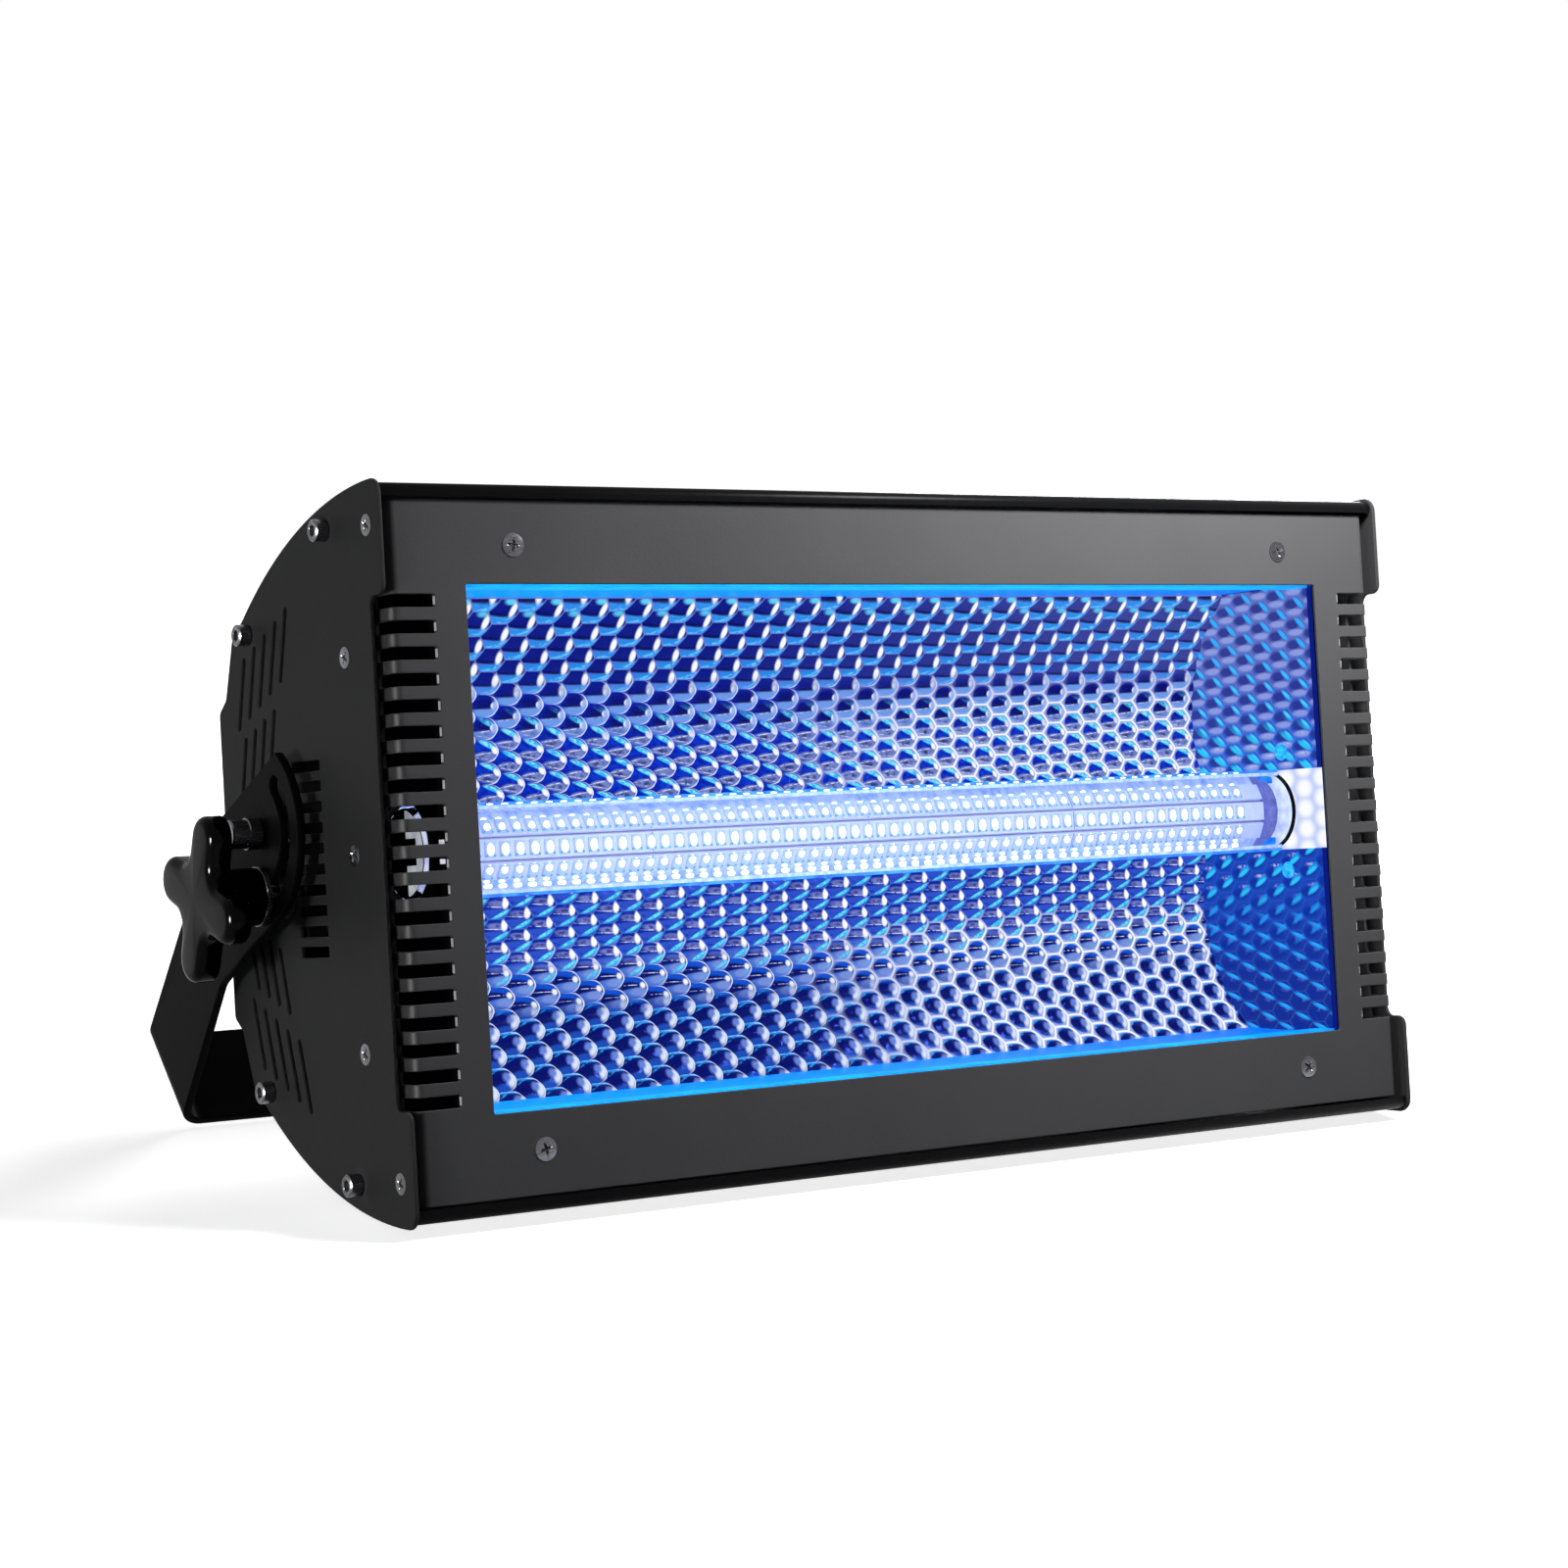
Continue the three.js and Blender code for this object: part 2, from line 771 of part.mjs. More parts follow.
function addRear() {
  const faceY = head.backY - head.cheekProud;
  add('rear_panel', rearPanelGeometry(), finish.blackSteel);
  const displayY = faceY + common.seat;
  const display = facePlate(displayOutline(0), displayY, displayY + panel.displayThickness);
  add('display_window', display, finish.blackGloss);
  buttonPlaces().forEach(([x, z], k) => {
    const capFrom = faceY + panel.buttonTravel + common.seat;
    const cap = barY(x, z, panel.buttonRadius, capFrom, capFrom + panel.buttonHead, 12);
    const stemTo = capFrom + panel.buttonHead / 2;
    const stem = barY(x, z, panel.buttonStem, backInnerY - panel.buttonHead, stemTo, 8);
    add(`menu_button_${k + 1}`, join(cap, stem), finish.rubber);
  });
  const [powerIn, powerOut] = powerPlaces();
  add('power_inlet', powerSocketGeometry(powerIn), finish.blackPlastic);
  add('power_outlet', powerSocketGeometry(powerOut), finish.blackPlastic);
  const [dataIn, dataOut] = dataPlaces();
  add('data_inlet', dataSocketGeometry(dataIn), finish.blackPlastic);
  add('data_outlet', dataSocketGeometry(dataOut), finish.blackPlastic);
  const fuseY = faceY + common.seat;
  const fuseFrom = fuseY + fuse.bezel - fuse.bodyDepth;
  const fuseBody = join(
    barY(fuseX, panel.fuseZ, fuse.bezelRadius, fuseY, fuseY + fuse.bezel, 14),
    barY(fuseX, panel.fuseZ, fuse.bodyRadius, fuseFrom, fuseY + fuse.bezel / 2, 14),
  );
  const coinSlot = block(
    fuseX - fuse.bodyRadius,
    fuseX + fuse.bodyRadius,
    fuseY + fuse.bezel - fuse.slotDepth,
    fuseY + fuse.bezel + common.overrun,
    panel.fuseZ - fuse.slotWidth / 2,
    panel.fuseZ + fuse.slotWidth / 2,
  );
  add('fuse_holder', cut(fuseBody, coinSlot), finish.blackPlastic);
  addSafetyEye(faceY + common.seat);
}

function addSafetyEye(faceY) {
  const { z, foot, width, reach, sheet, holeRadius } = safetyEye;
  const x = eyeX;
  const profile = rounded([
    [x, faceY],
    [x + foot, faceY],
    [x + foot, faceY + sheet],
    [x + sheet, faceY + sheet],
    [x + sheet, faceY + reach],
    [x, faceY + reach],
  ]);
  const bracket = extrude(profile, width).translate(0, 0, z - width / 2);
  const eyeY = faceY + reach - holeRadius - sheet;
  const eye = barX(eyeY, z, holeRadius, x - common.overrun, x + sheet + common.overrun, 16);
  add('safety_eye', cut(bracket, eye), finish.blackSteel);
}

// Front bezel

// One sheet: a face with the window, turned back at both ends. Each slot runs over the bend.
function bezelGeometry() {
  const { faceY, bendRadius, flangeDepth } = bezel;
  const backY = faceY + flangeDepth;
  const innerX = bezelHalfWidth - common.sheet;
  const innerY = faceY + common.sheet;
  const section = rounded([
    [-bezelHalfWidth, faceY, bendRadius],
    [bezelHalfWidth, faceY, bendRadius],
    [bezelHalfWidth, backY],
    [innerX, backY],
    [innerX, innerY],
    [-innerX, innerY],
    [-innerX, backY],
    [-bezelHalfWidth, backY],
  ]);
  const folded = extrude(section, bezelHalfHeight * 2).translate(0, 0, -bezelHalfHeight);
  const over = common.overrun;
  const window = block(
    -windowHalfWidth,
    windowHalfWidth,
    faceY - over,
    innerY + over,
    -windowHalfHeight,
    windowHalfHeight,
  );
  const ladder = (notchHalf + bezel.slotLap) * 2 - bezel.slotHeight;
  const slotCount = 1 + Math.floor(ladder / bezel.slotPitch);
  const lowest = -((slotCount - 1) * bezel.slotPitch + bezel.slotHeight) / 2;
  const slots = Array.from({ length: slotCount }, (_, k) => {
    const foot = lowest + k * bezel.slotPitch;
    const brow = foot + bezel.slotHeight;
    const innerEnd = bezelHalfWidth - bezel.slotReach;
    const one = block(innerEnd, bezelHalfWidth + over, faceY - over, bezel.slotBackY, foot, brow);
    return [one, mirrored(one)];
  }).flat();
  return cut(folded, window, ...slots);
}

function addFront() {
  add('front_bezel', bezelGeometry(), finish.blackSteel);
  const { gasketThickness, gasketSetBack, glassThickness } = glazing;
  const rim = rectangle(-glassHalfWidth, glassHalfWidth, -glassHalfHeight, glassHalfHeight);
  const openX = windowHalfWidth + gasketSetBack;
  const openZ = windowHalfHeight + gasketSetBack;
  const opening = rectangle(-openX, openX, -openZ, openZ);
  add('window_gasket', facePlate(rim, gasketY, gasketY + gasketThickness, [opening]), finish.rubber);
  add('window_glass', facePlate(rim, glassY, glassY + glassThickness), finish.glass);
}

// Light box: ledges, end mirrors and dimpled reflectors

// A ledge turned up behind the bezel; it runs back to the reflector's front edge.
function ledgeProfile() {
  const { sheet, flangeHeight } = lightBox;
  return [
    [boxFrontY, ledgeZ],
    [reflector.frontY - common.seat, ledgeZ],
    [reflector.frontY - common.seat, ledgeZ + sheet],
    [boxFrontY + sheet, ledgeZ + sheet],
    [boxFrontY + sheet, ledgeZ + flangeHeight],
    [boxFrontY, ledgeZ + flangeHeight],
  ].map(([y, z]) => new THREE.Vector2(y, z));
}

// The profile of one reflector half: a shallow arc from the front edge to the valley beside the tube.
function troughPoint(share) {
  const from = new THREE.Vector2(reflector.frontY, reflectorFrontZ);
  const to = new THREE.Vector2(reflector.valleyY, reflector.valleyZ);
  const chord = to.clone().sub(from);
  const halfChord = chord.length() / 2;
  const radius = (halfChord ** 2 + reflector.sag ** 2) / (2 * reflector.sag);
  const side = new THREE.Vector2(-chord.y, chord.x).normalize();
  const centre = from.clone().add(to).multiplyScalar(0.5).addScaledVector(side, reflector.sag - radius);
  const spread = 2 * Math.asin(halfChord / radius);
  const start = from.clone().sub(centre);
  const normal = start.clone().rotateAround(new THREE.Vector2(), -spread * share);
  return { at: normal.clone().add(centre), outward: normal.normalize(), length: radius * spread };
}

// A sheet with a staggered field of raised dimples on its bright side. Rows of points lie a row pitch
// apart along the arc and half a dimple apart across it; every second point is a crown, in turn.
function reflectorGeometry() {
  const halfX = mirrorX - common.seat;
  const rows = Math.round(troughPoint(0).length / reflector.rowPitch);
  const columns = Math.floor((halfX * 2) / reflector.dimplePitch);
  const positions = [];
  const grid = [];
  for (let row = 0; row <= rows; row += 1) {
    const { at, outward } = troughPoint(row / rows);
    const line = [-halfX];
    for (let column = -columns + 1; column < columns; column += 1) {
      line.push((column * reflector.dimplePitch) / 2);
    }
    line.push(halfX);
    grid.push(line.map((x, k) => {
      const inside = row > 0 && row < rows && Math.abs(x) < halfX;
      const lift = inside && (row + k) % 2 === 0 ? reflector.dimpleHeight : 0;
      positions.push(x, at.x - outward.x * lift, at.y - outward.y * lift);
      return positions.length / 3 - 1;
    }));
  }
  const triangles = [];
  for (let row = 0; row < rows; row += 1) {
    const [upper, lower] = [grid[row], grid[row + 1]];
    for (let k = 0; k < upper.length - 1; k += 1) {
      if ((row + k) % 2 === 0) {
        triangles.push(upper[k], lower[k], lower[k + 1], upper[k], lower[k + 1], upper[k + 1]);
      } else {
        triangles.push(upper[k], lower[k], upper[k + 1], upper[k + 1], lower[k], lower[k + 1]);
      }
    }
  }
  const back = grid.map((line, row) => {
    const { at, outward } = troughPoint(row / rows);
    return [-halfX, halfX].map((x) => {
      positions.push(x, at.x + outward.x * reflector.thickness, at.y + outward.y * reflector.thickness);
      return positions.length / 3 - 1;
    });
  });
  for (let row = 0; row < rows; row += 1) {
    const [[a, b], [c, d]] = [back[row], back[row + 1]];
    const [left, leftNext] = [grid[row][0], grid[row + 1][0]];
    const [right, rightNext] = [grid[row].at(-1), grid[row + 1].at(-1)];
    triangles.push(a, b, c, c, b, d);
    triangles.push(left, a, leftNext, leftNext, a, c);
    triangles.push(right, rightNext, b, b, rightNext, d);
  }
  const wall = (line, [first, last], flip) => {
    for (let k = 0; k < line.length - 1; k += 1) {
      triangles.push(...(flip ? [first, line[k + 1], line[k]] : [first, line[k], line[k + 1]]));
    }
    triangles.push(...(flip ? [first, last, line.at(-1)] : [first, line.at(-1), last]));
  };
  wall(grid[0], back[0], false);
  wall(grid[rows], back[rows], true);
  const geometry = new THREE.BufferGeometry();
  geometry.setAttribute('position', new THREE.Float32BufferAttribute(positions, 3));
  geometry.setIndex(triangles);
  geometry.computeVertexNormals();
  return geometry;
}

// The same geometry below the plane Z = 0.
function flipped(geometry) {
  return mirrored(geometry.clone().rotateY(Math.PI));
}

function addLightBox() {
  const ledge = sidePlate(ledgeProfile(), -mirrorOuterX, mirrorOuterX);
  add('light_box_top', ledge, finish.mirror);
  add('light_box_bottom', flipped(ledge), finish.mirror);
  const half = reflectorGeometry();
  add('reflector_upper', half, finish.mirror);
  add('reflector_lower', flipped(half), finish.mirror);
  const plateZ = ledgeZ - common.seat;
  const outline = rectangle(boxFrontY, lightBox.mirrorBackY, -plateZ, plateZ);
  const tubeHole = circle(tube.axisY, 0, tubeHoleRadius, 20);
  addPair('end_mirror', sidePlate(outline, mirrorX, mirrorOuterX, [tubeHole]), finish.mirror);
  const boardY = boxFrontY + aura.setBack;
  const top = ledgeZ - common.seat;
  const boardX = mirrorX - common.seat;
  const strip = block(-boardX, boardX, boardY, boardY + aura.width, top - aura.thickness, top);
  add('aura_board_top', strip, finish.blueBoard);
  add('aura_board_bottom', flipped(strip), finish.blueBoard);
}

// LED tube

// The carrier's section: a front face, two faces tilted back, and a narrower back with a cable bore.
function carrierFaces() {
  const frontY = tube.axisY - tube.faceOffset;
  const sideY = frontY + tube.sideFace * Math.sin(tube.sideTilt);
  const sideZ = tube.faceHalf + tube.sideFace * Math.cos(tube.sideTilt);
  return { frontY, sideY, sideZ };
}

function carrierOutline() {
  const { frontY, sideY, sideZ } = carrierFaces();
  const backY = tube.axisY + tube.carrierBack;
  return [
    [frontY, tube.faceHalf],
    [frontY, -tube.faceHalf],
    [sideY, -sideZ],
    [tube.axisY + tube.carrierBack / 2, -sideZ],
    [backY, -tube.carrierBackHalf],
    [backY, tube.carrierBackHalf],
    [tube.axisY + tube.carrierBack / 2, sideZ],
    [sideY, sideZ],
  ].map(([y, z]) => new THREE.Vector2(y, z));
}

// A board strip lying on a face between two outline points, standing off by the seat clearance.
function ledBoard(a, b) {
  const along = b.clone().sub(a).normalize();
  const outward = new THREE.Vector2(along.y, -along.x);
  const trim = common.seat;
  const corner = (point, sign, lift) => {
    return point.clone().addScaledVector(along, sign * trim).addScaledVector(outward, lift);
  };
  const low = common.seat;
  const high = common.seat + tube.boardThickness;
  const outline = [corner(a, 1, low), corner(b, -1, low), corner(b, -1, high), corner(a, 1, high)];
  return sidePlate(outline, -carrierHalfLength, carrierHalfLength);
}

function tubeCoverGeometry() {
  const halfX = mirrorOuterX + tube.bracketThickness;
  const outer = circle(tube.axisY, 0, tube.outerRadius, 24);
  const bore = circle(tube.axisY, 0, tube.outerRadius - tube.wall, 24);
  const round = sidePlate(outer, -halfX, halfX, [bore]);
  const railZ = tube.outerRadius - tube.wall / 2;
  const top = tube.outerRadius + tube.railProud;
  const railFrom = tube.axisY - tube.railWidth / 2;
  const rail = block(-halfX, halfX, railFrom, railFrom + tube.railWidth / 4, railZ - tube.wall, top);
  const through = halfX + common.overrun;
  return cut(join(round, rail, flipped(rail)), sidePlate(bore, -through, through));
}

function bracketGeometry() {
  const { bracketHalfDepth, bracketHalfHeight, bracketNotch, bracketFoot } = tube;
  const outline = rounded([
    [tube.axisY - bracketHalfDepth, -bracketHalfHeight + bracketNotch],
    [tube.axisY - bracketHalfDepth + bracketNotch, -bracketHalfHeight],
    [tube.axisY + bracketHalfDepth + bracketFoot, -bracketHalfHeight],
    [tube.axisY + bracketHalfDepth + bracketFoot, bracketHalfHeight],
    [tube.axisY - bracketHalfDepth + bracketNotch, bracketHalfHeight],
    [tube.axisY - bracketHalfDepth, bracketHalfHeight - bracketNotch],
  ]);
  const hole = circle(tube.axisY, 0, tubeHoleRadius, 20);
  const plate = sidePlate(outline, bracketX, bracketX + tube.bracketThickness, [hole]);
  const footBackY = tube.axisY + bracketHalfDepth + bracketFoot;
  const foot = block(
    bracketX,
    cheekInnerX - common.seat,
    footBackY - tube.bracketThickness,
    footBackY,
    -bracketHalfHeight,
    bracketHalfHeight,
  );
  return join(plate, foot);
}

function addTube() {
  const outline = carrierOutline();
  const bore = circle(tube.axisY - tube.bracketThickness / 2, 0, tube.boreRadius, 8);
  const halfX = carrierHalfLength;
  add('led_carrier', sidePlate([...outline].reverse(), -halfX, halfX, [bore]), finish.aluminium);
  const [frontTop, frontBottom, sideBottom] = outline;
  const sideTop = outline.at(-1);
  add('led_board_front', ledBoard(frontTop, frontBottom), finish.whiteBoard);
  add('led_board_lower', ledBoard(frontBottom, sideBottom), finish.whiteBoard);
  add('led_board_upper', ledBoard(sideTop, frontTop), finish.whiteBoard);
  add('tube_cover', tubeCoverGeometry(), finish.glass);
  const collarRadius = tube.outerRadius - tube.wall - common.seat;
  const collarFrom = halfX + common.seat;
  const collar = sidePlate(
    circle(tube.axisY, 0, collarRadius, 20),
    collarFrom,
    collarFrom + tube.collarThickness,
    [circle(tube.axisY - tube.bracketThickness / 2, 0, tube.boreRadius, 8)],
  );
  addPair('carrier_collar', collar, finish.blackPlastic);
  addPair('tube_bracket', bracketGeometry(), finish.aluminium);
}

// Fans

function fanFrameGeometry(x) {
  const backY = backInnerY - common.seat;
  const frontY = backY - fan.depth;
  const half = fan.side / 2;
  const z = fan.offsetZ;
  const { corner } = fan;
  const outline = rounded([
    [x - half, z - half, corner],
    [x + half, z - half, corner],
    [x + half, z + half, corner],
    [x - half, z + half, corner],
  ]);
  const screws = [-1, 1].flatMap((a) => [-1, 1].map((b) => {
    return circle(x + (a * fan.screwPitch) / 2, z + (b * fan.screwPitch) / 2, fan.screwRadius, 6);
  }));
  const shell = facePlate(outline, frontY, backY, [circle(x, z, fan.boreRadius, 24), ...screws]);
  const struts = Array.from({ length: fan.strutCount }, (_, k) => {
    const reach = fan.boreRadius + (half - fan.boreRadius) / 2;
    return block(0, reach, frontY, frontY + fan.strutDepth, -fan.strutWidth / 2, fan.strutWidth / 2)
      .rotateY(-(Math.PI * 2 * k) / fan.strutCount - Math.PI / 2)
      .translate(x, 0, z);
  });
  return join(shell, barY(x, z, fan.motorRadius, frontY, frontY + fan.strutDepth, 16), ...struts);
}

function fanRotorGeometry(x) {
  const backY = backInnerY - common.seat;
  const rotorFrom = backY - fan.depth + fan.strutDepth + fan.runGap;
  const rotorTo = backY - fan.runGap;
  const z = fan.offsetZ;
  const tip = fan.boreRadius - fan.tipGap;
  const middle = (rotorFrom + rotorTo) / 2;
  const blades = Array.from({ length: fan.bladeCount }, (_, k) => {
    const root = fan.hubRadius - fan.bladeThickness;
    const end = tip - fan.bladeThickness;
    return new THREE.BoxGeometry(end - root, fan.bladeThickness, fan.bladeDepth)
      .translate((end + root) / 2, 0, 0)
      .rotateX(fan.bladePitch)
      .rotateY((Math.PI * 2 * k) / fan.bladeCount)
      .translate(x, middle, z);
  });
  return join(barY(x, z, fan.hubRadius, rotorFrom, rotorTo, 18), ...blades);
}

function addFans() {
  [['left', -1], ['right', 1]].forEach(([side, sign]) => {
    add(`fan_frame_${side}`, fanFrameGeometry(sign * fanX), finish.blackPlastic);
    add(`fan_rotor_${side}`, fanRotorGeometry(sign * fanX), finish.blackPlastic);
  });
}

// Power supply and control board

function addElectronics() {
  const psuBack = backInnerY - common.seat;
  const psuFront = psuBack - psu.depth;
  const [lowZ, highZ] = [psu.footClear - backZ, -psu.centreClear];
  const can = block(-psuHalfWidth, psuHalfWidth, psuFront, psuBack, lowZ, highZ);
  const ventHalf = ((highZ - lowZ) * psu.ventShare) / 2;
  const middleZ = (lowZ + highZ) / 2;
  const pitch = (psuHalfWidth * 2) / (psu.ventCount + 1);
  const grooves = Array.from({ length: psu.ventCount }, (_, k) => {
    const x = -psuHalfWidth + pitch * (k + 1);
    return block(
      x - psu.ventWidth / 2,
      x + psu.ventWidth / 2,
      psuFront - common.overrun,
      psuFront + psu.wall,
      middleZ - ventHalf,
      middleZ + ventHalf,
    );
  });
  add('power_supply', cut(can, ...grooves), finish.aluminium);
  add('control_board', controlBoardGeometry(), finish.greenBoard);
}

// The control board stands on four posts behind the rear panel and carries the driver's heat sink.
function controlBoardGeometry() {
  const { thickness, postLength, postRadius, postInset } = board;
  const [boardLowZ, boardHighZ] = [board.centreClear, backZ + board.headProud];
  const postTo = backInnerY - common.seat;
  const boardTo = postTo - postLength;
  const boardFrom = boardTo - thickness;
  const plate = block(-boardHalfWidth, boardHalfWidth, boardFrom, boardTo, boardLowZ, boardHighZ);
  const posts = [-1, 1].flatMap((side) => [boardLowZ + postInset, boardHighZ - postInset].map((z) => {
    return barY(side * (boardHalfWidth - postInset), z, postRadius, boardTo - thickness / 2, postTo, 8);
  }));
  const sinkX = -board.heatSinkWidth / 2;
  const sinkFrom = boardFrom - board.heatSinkBase;
  const [lowZ, highZ] = [boardLowZ + board.heatSinkInset, boardHighZ - board.heatSinkInset];
  const base = block(sinkX, -sinkX, sinkFrom, boardFrom + thickness / 2, lowZ, highZ);
  const pitch = (board.heatSinkWidth - board.finThickness) / (board.finCount - 1);
  const fins = Array.from({ length: board.finCount }, (_, k) => {
    const x = sinkX + k * pitch;
    const [finFrom, finTo] = [sinkFrom - board.finDepth, sinkFrom + board.heatSinkBase / 2];
    return block(x, x + board.finThickness, finFrom, finTo, lowZ, highZ);
  });
  return join(plate, base, ...posts, ...fins);
}

// Yoke

// A point of the arm from its reach along the strap's direction and its offset across it.
function armPoint(reach, offset) {
  return new THREE.Vector2(reach, offset).rotateAround(new THREE.Vector2(), yoke.restAngle)
    .add(new THREE.Vector2(yoke.pivotY, yoke.pivotZ));
}

function armOutline() {
  const disc = arc(0, 0, yoke.headRadius, yoke.tipAngle, yoke.archEndAngle, 10).map(({ x, y }) => [x, y]);
  const end = yoke.strapReach + yoke.sheet - yoke.bendRadius;
  const corners = [
    ...disc,
    [yoke.neckReach, yoke.neckOffset, yoke.cornerRadius],
    [yoke.waistReach, yoke.waistOffset, yoke.cornerRadius],
    [end, -yoke.strapHalf],
    [end, yoke.strapHalf],
    [yoke.heelReach, yoke.heelOffset, yoke.cornerRadius],
  ];
  return rounded(corners).map(({ x, y }) => armPoint(x, y));
}

function armSlot() {
  const half = yoke.slotWidth / 2;
  const { slotRadius, slotStart, slotEnd } = yoke;
  const endCap = (angle, from) => arc(
    slotRadius * Math.cos(angle),
    slotRadius * Math.sin(angle),
    half,
    from,
    from + Math.PI,
    4,
  ).slice(1, -1);
  return [
    ...arc(0, 0, slotRadius + half, slotStart, slotEnd, 12),
    ...endCap(slotEnd, slotEnd),
    ...arc(0, 0, slotRadius - half, slotEnd, slotStart, 12),
    ...endCap(slotStart, slotStart + Math.PI),
  ].map(({ x, y }) => armPoint(x, y));
}

// The strap and its two bends, drawn flat as a U in (X, reach) and turned into the yoke's direction.
function strapGeometry() {
  const { strapReach, sheet, bendRadius, stub, strapHalf } = yoke;
  const foot = strapReach + sheet;
  const inner = bendRadius - sheet;
  const outline = rounded([
    [-armOuterX, foot - bendRadius - stub],
    [-armInnerX, foot - bendRadius - stub],
    [-armInnerX, strapReach, inner],
    [armInnerX, strapReach, inner],
    [armInnerX, foot - bendRadius - stub],
    [armOuterX, foot - bendRadius - stub],
    [armOuterX, foot, bendRadius],
    [-armOuterX, foot, bendRadius],
  ]).reverse();
  const holes = [-yoke.sideHolePitch / 2, 0, yoke.sideHolePitch / 2].map((x) => {
    const radius = x === 0 ? yoke.clampHole : yoke.sideHole;
    return new THREE.CylinderGeometry(radius, radius, sheet * 4, 14).translate(x, strapReach + sheet / 2, 0);
  });
  const flat = extrude(outline, strapHalf * 2).translate(0, 0, -strapHalf);
  return cut(flat, ...holes).rotateX(yoke.restAngle).translate(0, yoke.pivotY, yoke.pivotZ);
}

function addYoke() {
  const holes = [armSlot(), circle(yoke.pivotY, yoke.pivotZ, yoke.pivotHole, 10)];
  const arm = sidePlate(armOutline(), armInnerX, armOuterX, holes);
  add('yoke', join(strapGeometry(), arm, mirrored(arm)), finish.blackSteel);
}

// Pivot, clamping knobs and screws

function addPivots() {
  const { pivotY: y, pivotZ: z } = yoke;
  const seat = common.seat;
  const collarFrom = armOuterX + seat;
  const headFrom = collarFrom + pivotScrew.collarHeight;
  const headTo = headFrom + pivotScrew.headHeight;
  const nutTo = cheekInnerX - seat;
  const solid = join(
    barX(y, z, pivotScrew.collarRadius, collarFrom, headFrom, 14),
    barX(y, z, pivotScrew.headRadius, headFrom - seat, headTo, 14),
    barX(y, z, pivotScrew.shankRadius, nutTo - pivotScrew.nutHeight, headFrom, 8),
    barX(y, z, pivotScrew.nutRadius, nutTo - pivotScrew.nutHeight, nutTo, 6),
  );
  const socketTo = headTo + common.overrun;
  const socket = barX(y, z, pivotScrew.socketRadius, headTo - pivotScrew.socketDepth, socketTo, 6);
  addPair('pivot_screw', cut(solid, socket), finish.blackOxide);
  const ring = [cheekOuterX + seat, armInnerX - seat];
  const pivotBore = circle(y, z, pivotScrew.shankRadius + seat, 10);
  const pivotRing = sidePlate(circle(y, z, spacer.pivotRadius, 16), ...ring, [pivotBore]);
  addPair('pivot_spacer', pivotRing, finish.steel);
  const threaded = circle(clampY, clampZ, knob.studRadius + seat, 8);
  const boss = circle(clampY, clampZ, knob.bossRadius - seat, 10);
  const bush = join(
    sidePlate(circle(clampY, clampZ, spacer.clampRadius, 16), ...ring, [threaded]),
    sidePlate(boss, cheekInnerX - knob.bossHeight, ring[0] + seat, [threaded]),
  );
  addPair('clamp_bush', bush, finish.steel);
}

// The knob's outline: four lobes with hollows between them.
function knobOutline() {
  const { lobeCount, lobeReach, lobeRadius, lobeTurn, lobeSpread } = knob;
  const { valleyReach, valleyRise, valleySpread } = knob;
  const middle = lobeReach - lobeRadius;
  const lobes = Array.from({ length: lobeCount }, (_, k) => {
    const angle = lobeTurn + (Math.PI * 2 * k) / lobeCount;
    const tip = arc(
      middle * Math.cos(angle),
      middle * Math.sin(angle),
      lobeRadius,
      angle - lobeSpread,
      angle + lobeSpread,
      5,
    );
    const between = angle + Math.PI / lobeCount;
    const hollow = [-1, 0, 1].map((step) => {
      const turn = between + step * valleySpread;
      const reach = valleyReach + Math.abs(step) * valleyRise;
      return new THREE.Vector2(reach * Math.cos(turn), reach * Math.sin(turn));
    });
    return [...tip, ...hollow];
  });
  return lobes.flat().map(({ x, y }) => new THREE.Vector2(clampY + x, clampZ + y));
}

function addKnobs() {
  const washerFrom = armOuterX + common.seat;
  const hubFrom = washerFrom + knob.washerHeight - common.seat;
  const lobeFrom = armOuterX + knob.lobeFrom;
  const lobeTo = armOuterX + knob.lobeTo;
  const outline = new THREE.Shape(knobOutline());
  const lobes = new THREE.ExtrudeGeometry(outline, {
    depth: lobeTo - lobeFrom - knob.bevel * 2,
    bevelEnabled: true,
    bevelThickness: knob.bevel,
    bevelSize: knob.bevel,
    bevelOffset: -knob.bevel,
    bevelSegments: 1,
  }).applyMatrix4(sideAxes).translate(lobeFrom + knob.bevel, 0, 0);
  const grip = join(
    lobes,
    barX(clampY, clampZ, knob.hubRadius, hubFrom, lobeFrom + knob.bevel, 14),
    barX(clampY, clampZ, knob.washerRadius, washerFrom, washerFrom + knob.washerHeight, 14),
    barX(clampY, clampZ, knob.studRadius, cheekInnerX - knob.bossHeight, lobeFrom, 8),
  );
  addPair('clamp_knob', grip, finish.blackGloss);
}

function capScrewPlaces() {
  const { frontY, rearY } = capScrew;
  const frontZ = halfHeight - capScrew.frontDrop;
  const rearZ = archEndZ - capScrew.rearDrop;
  return [[frontY, frontZ], [rearY, rearZ], [rearY, -rearZ], [frontY, -frontZ]];
}

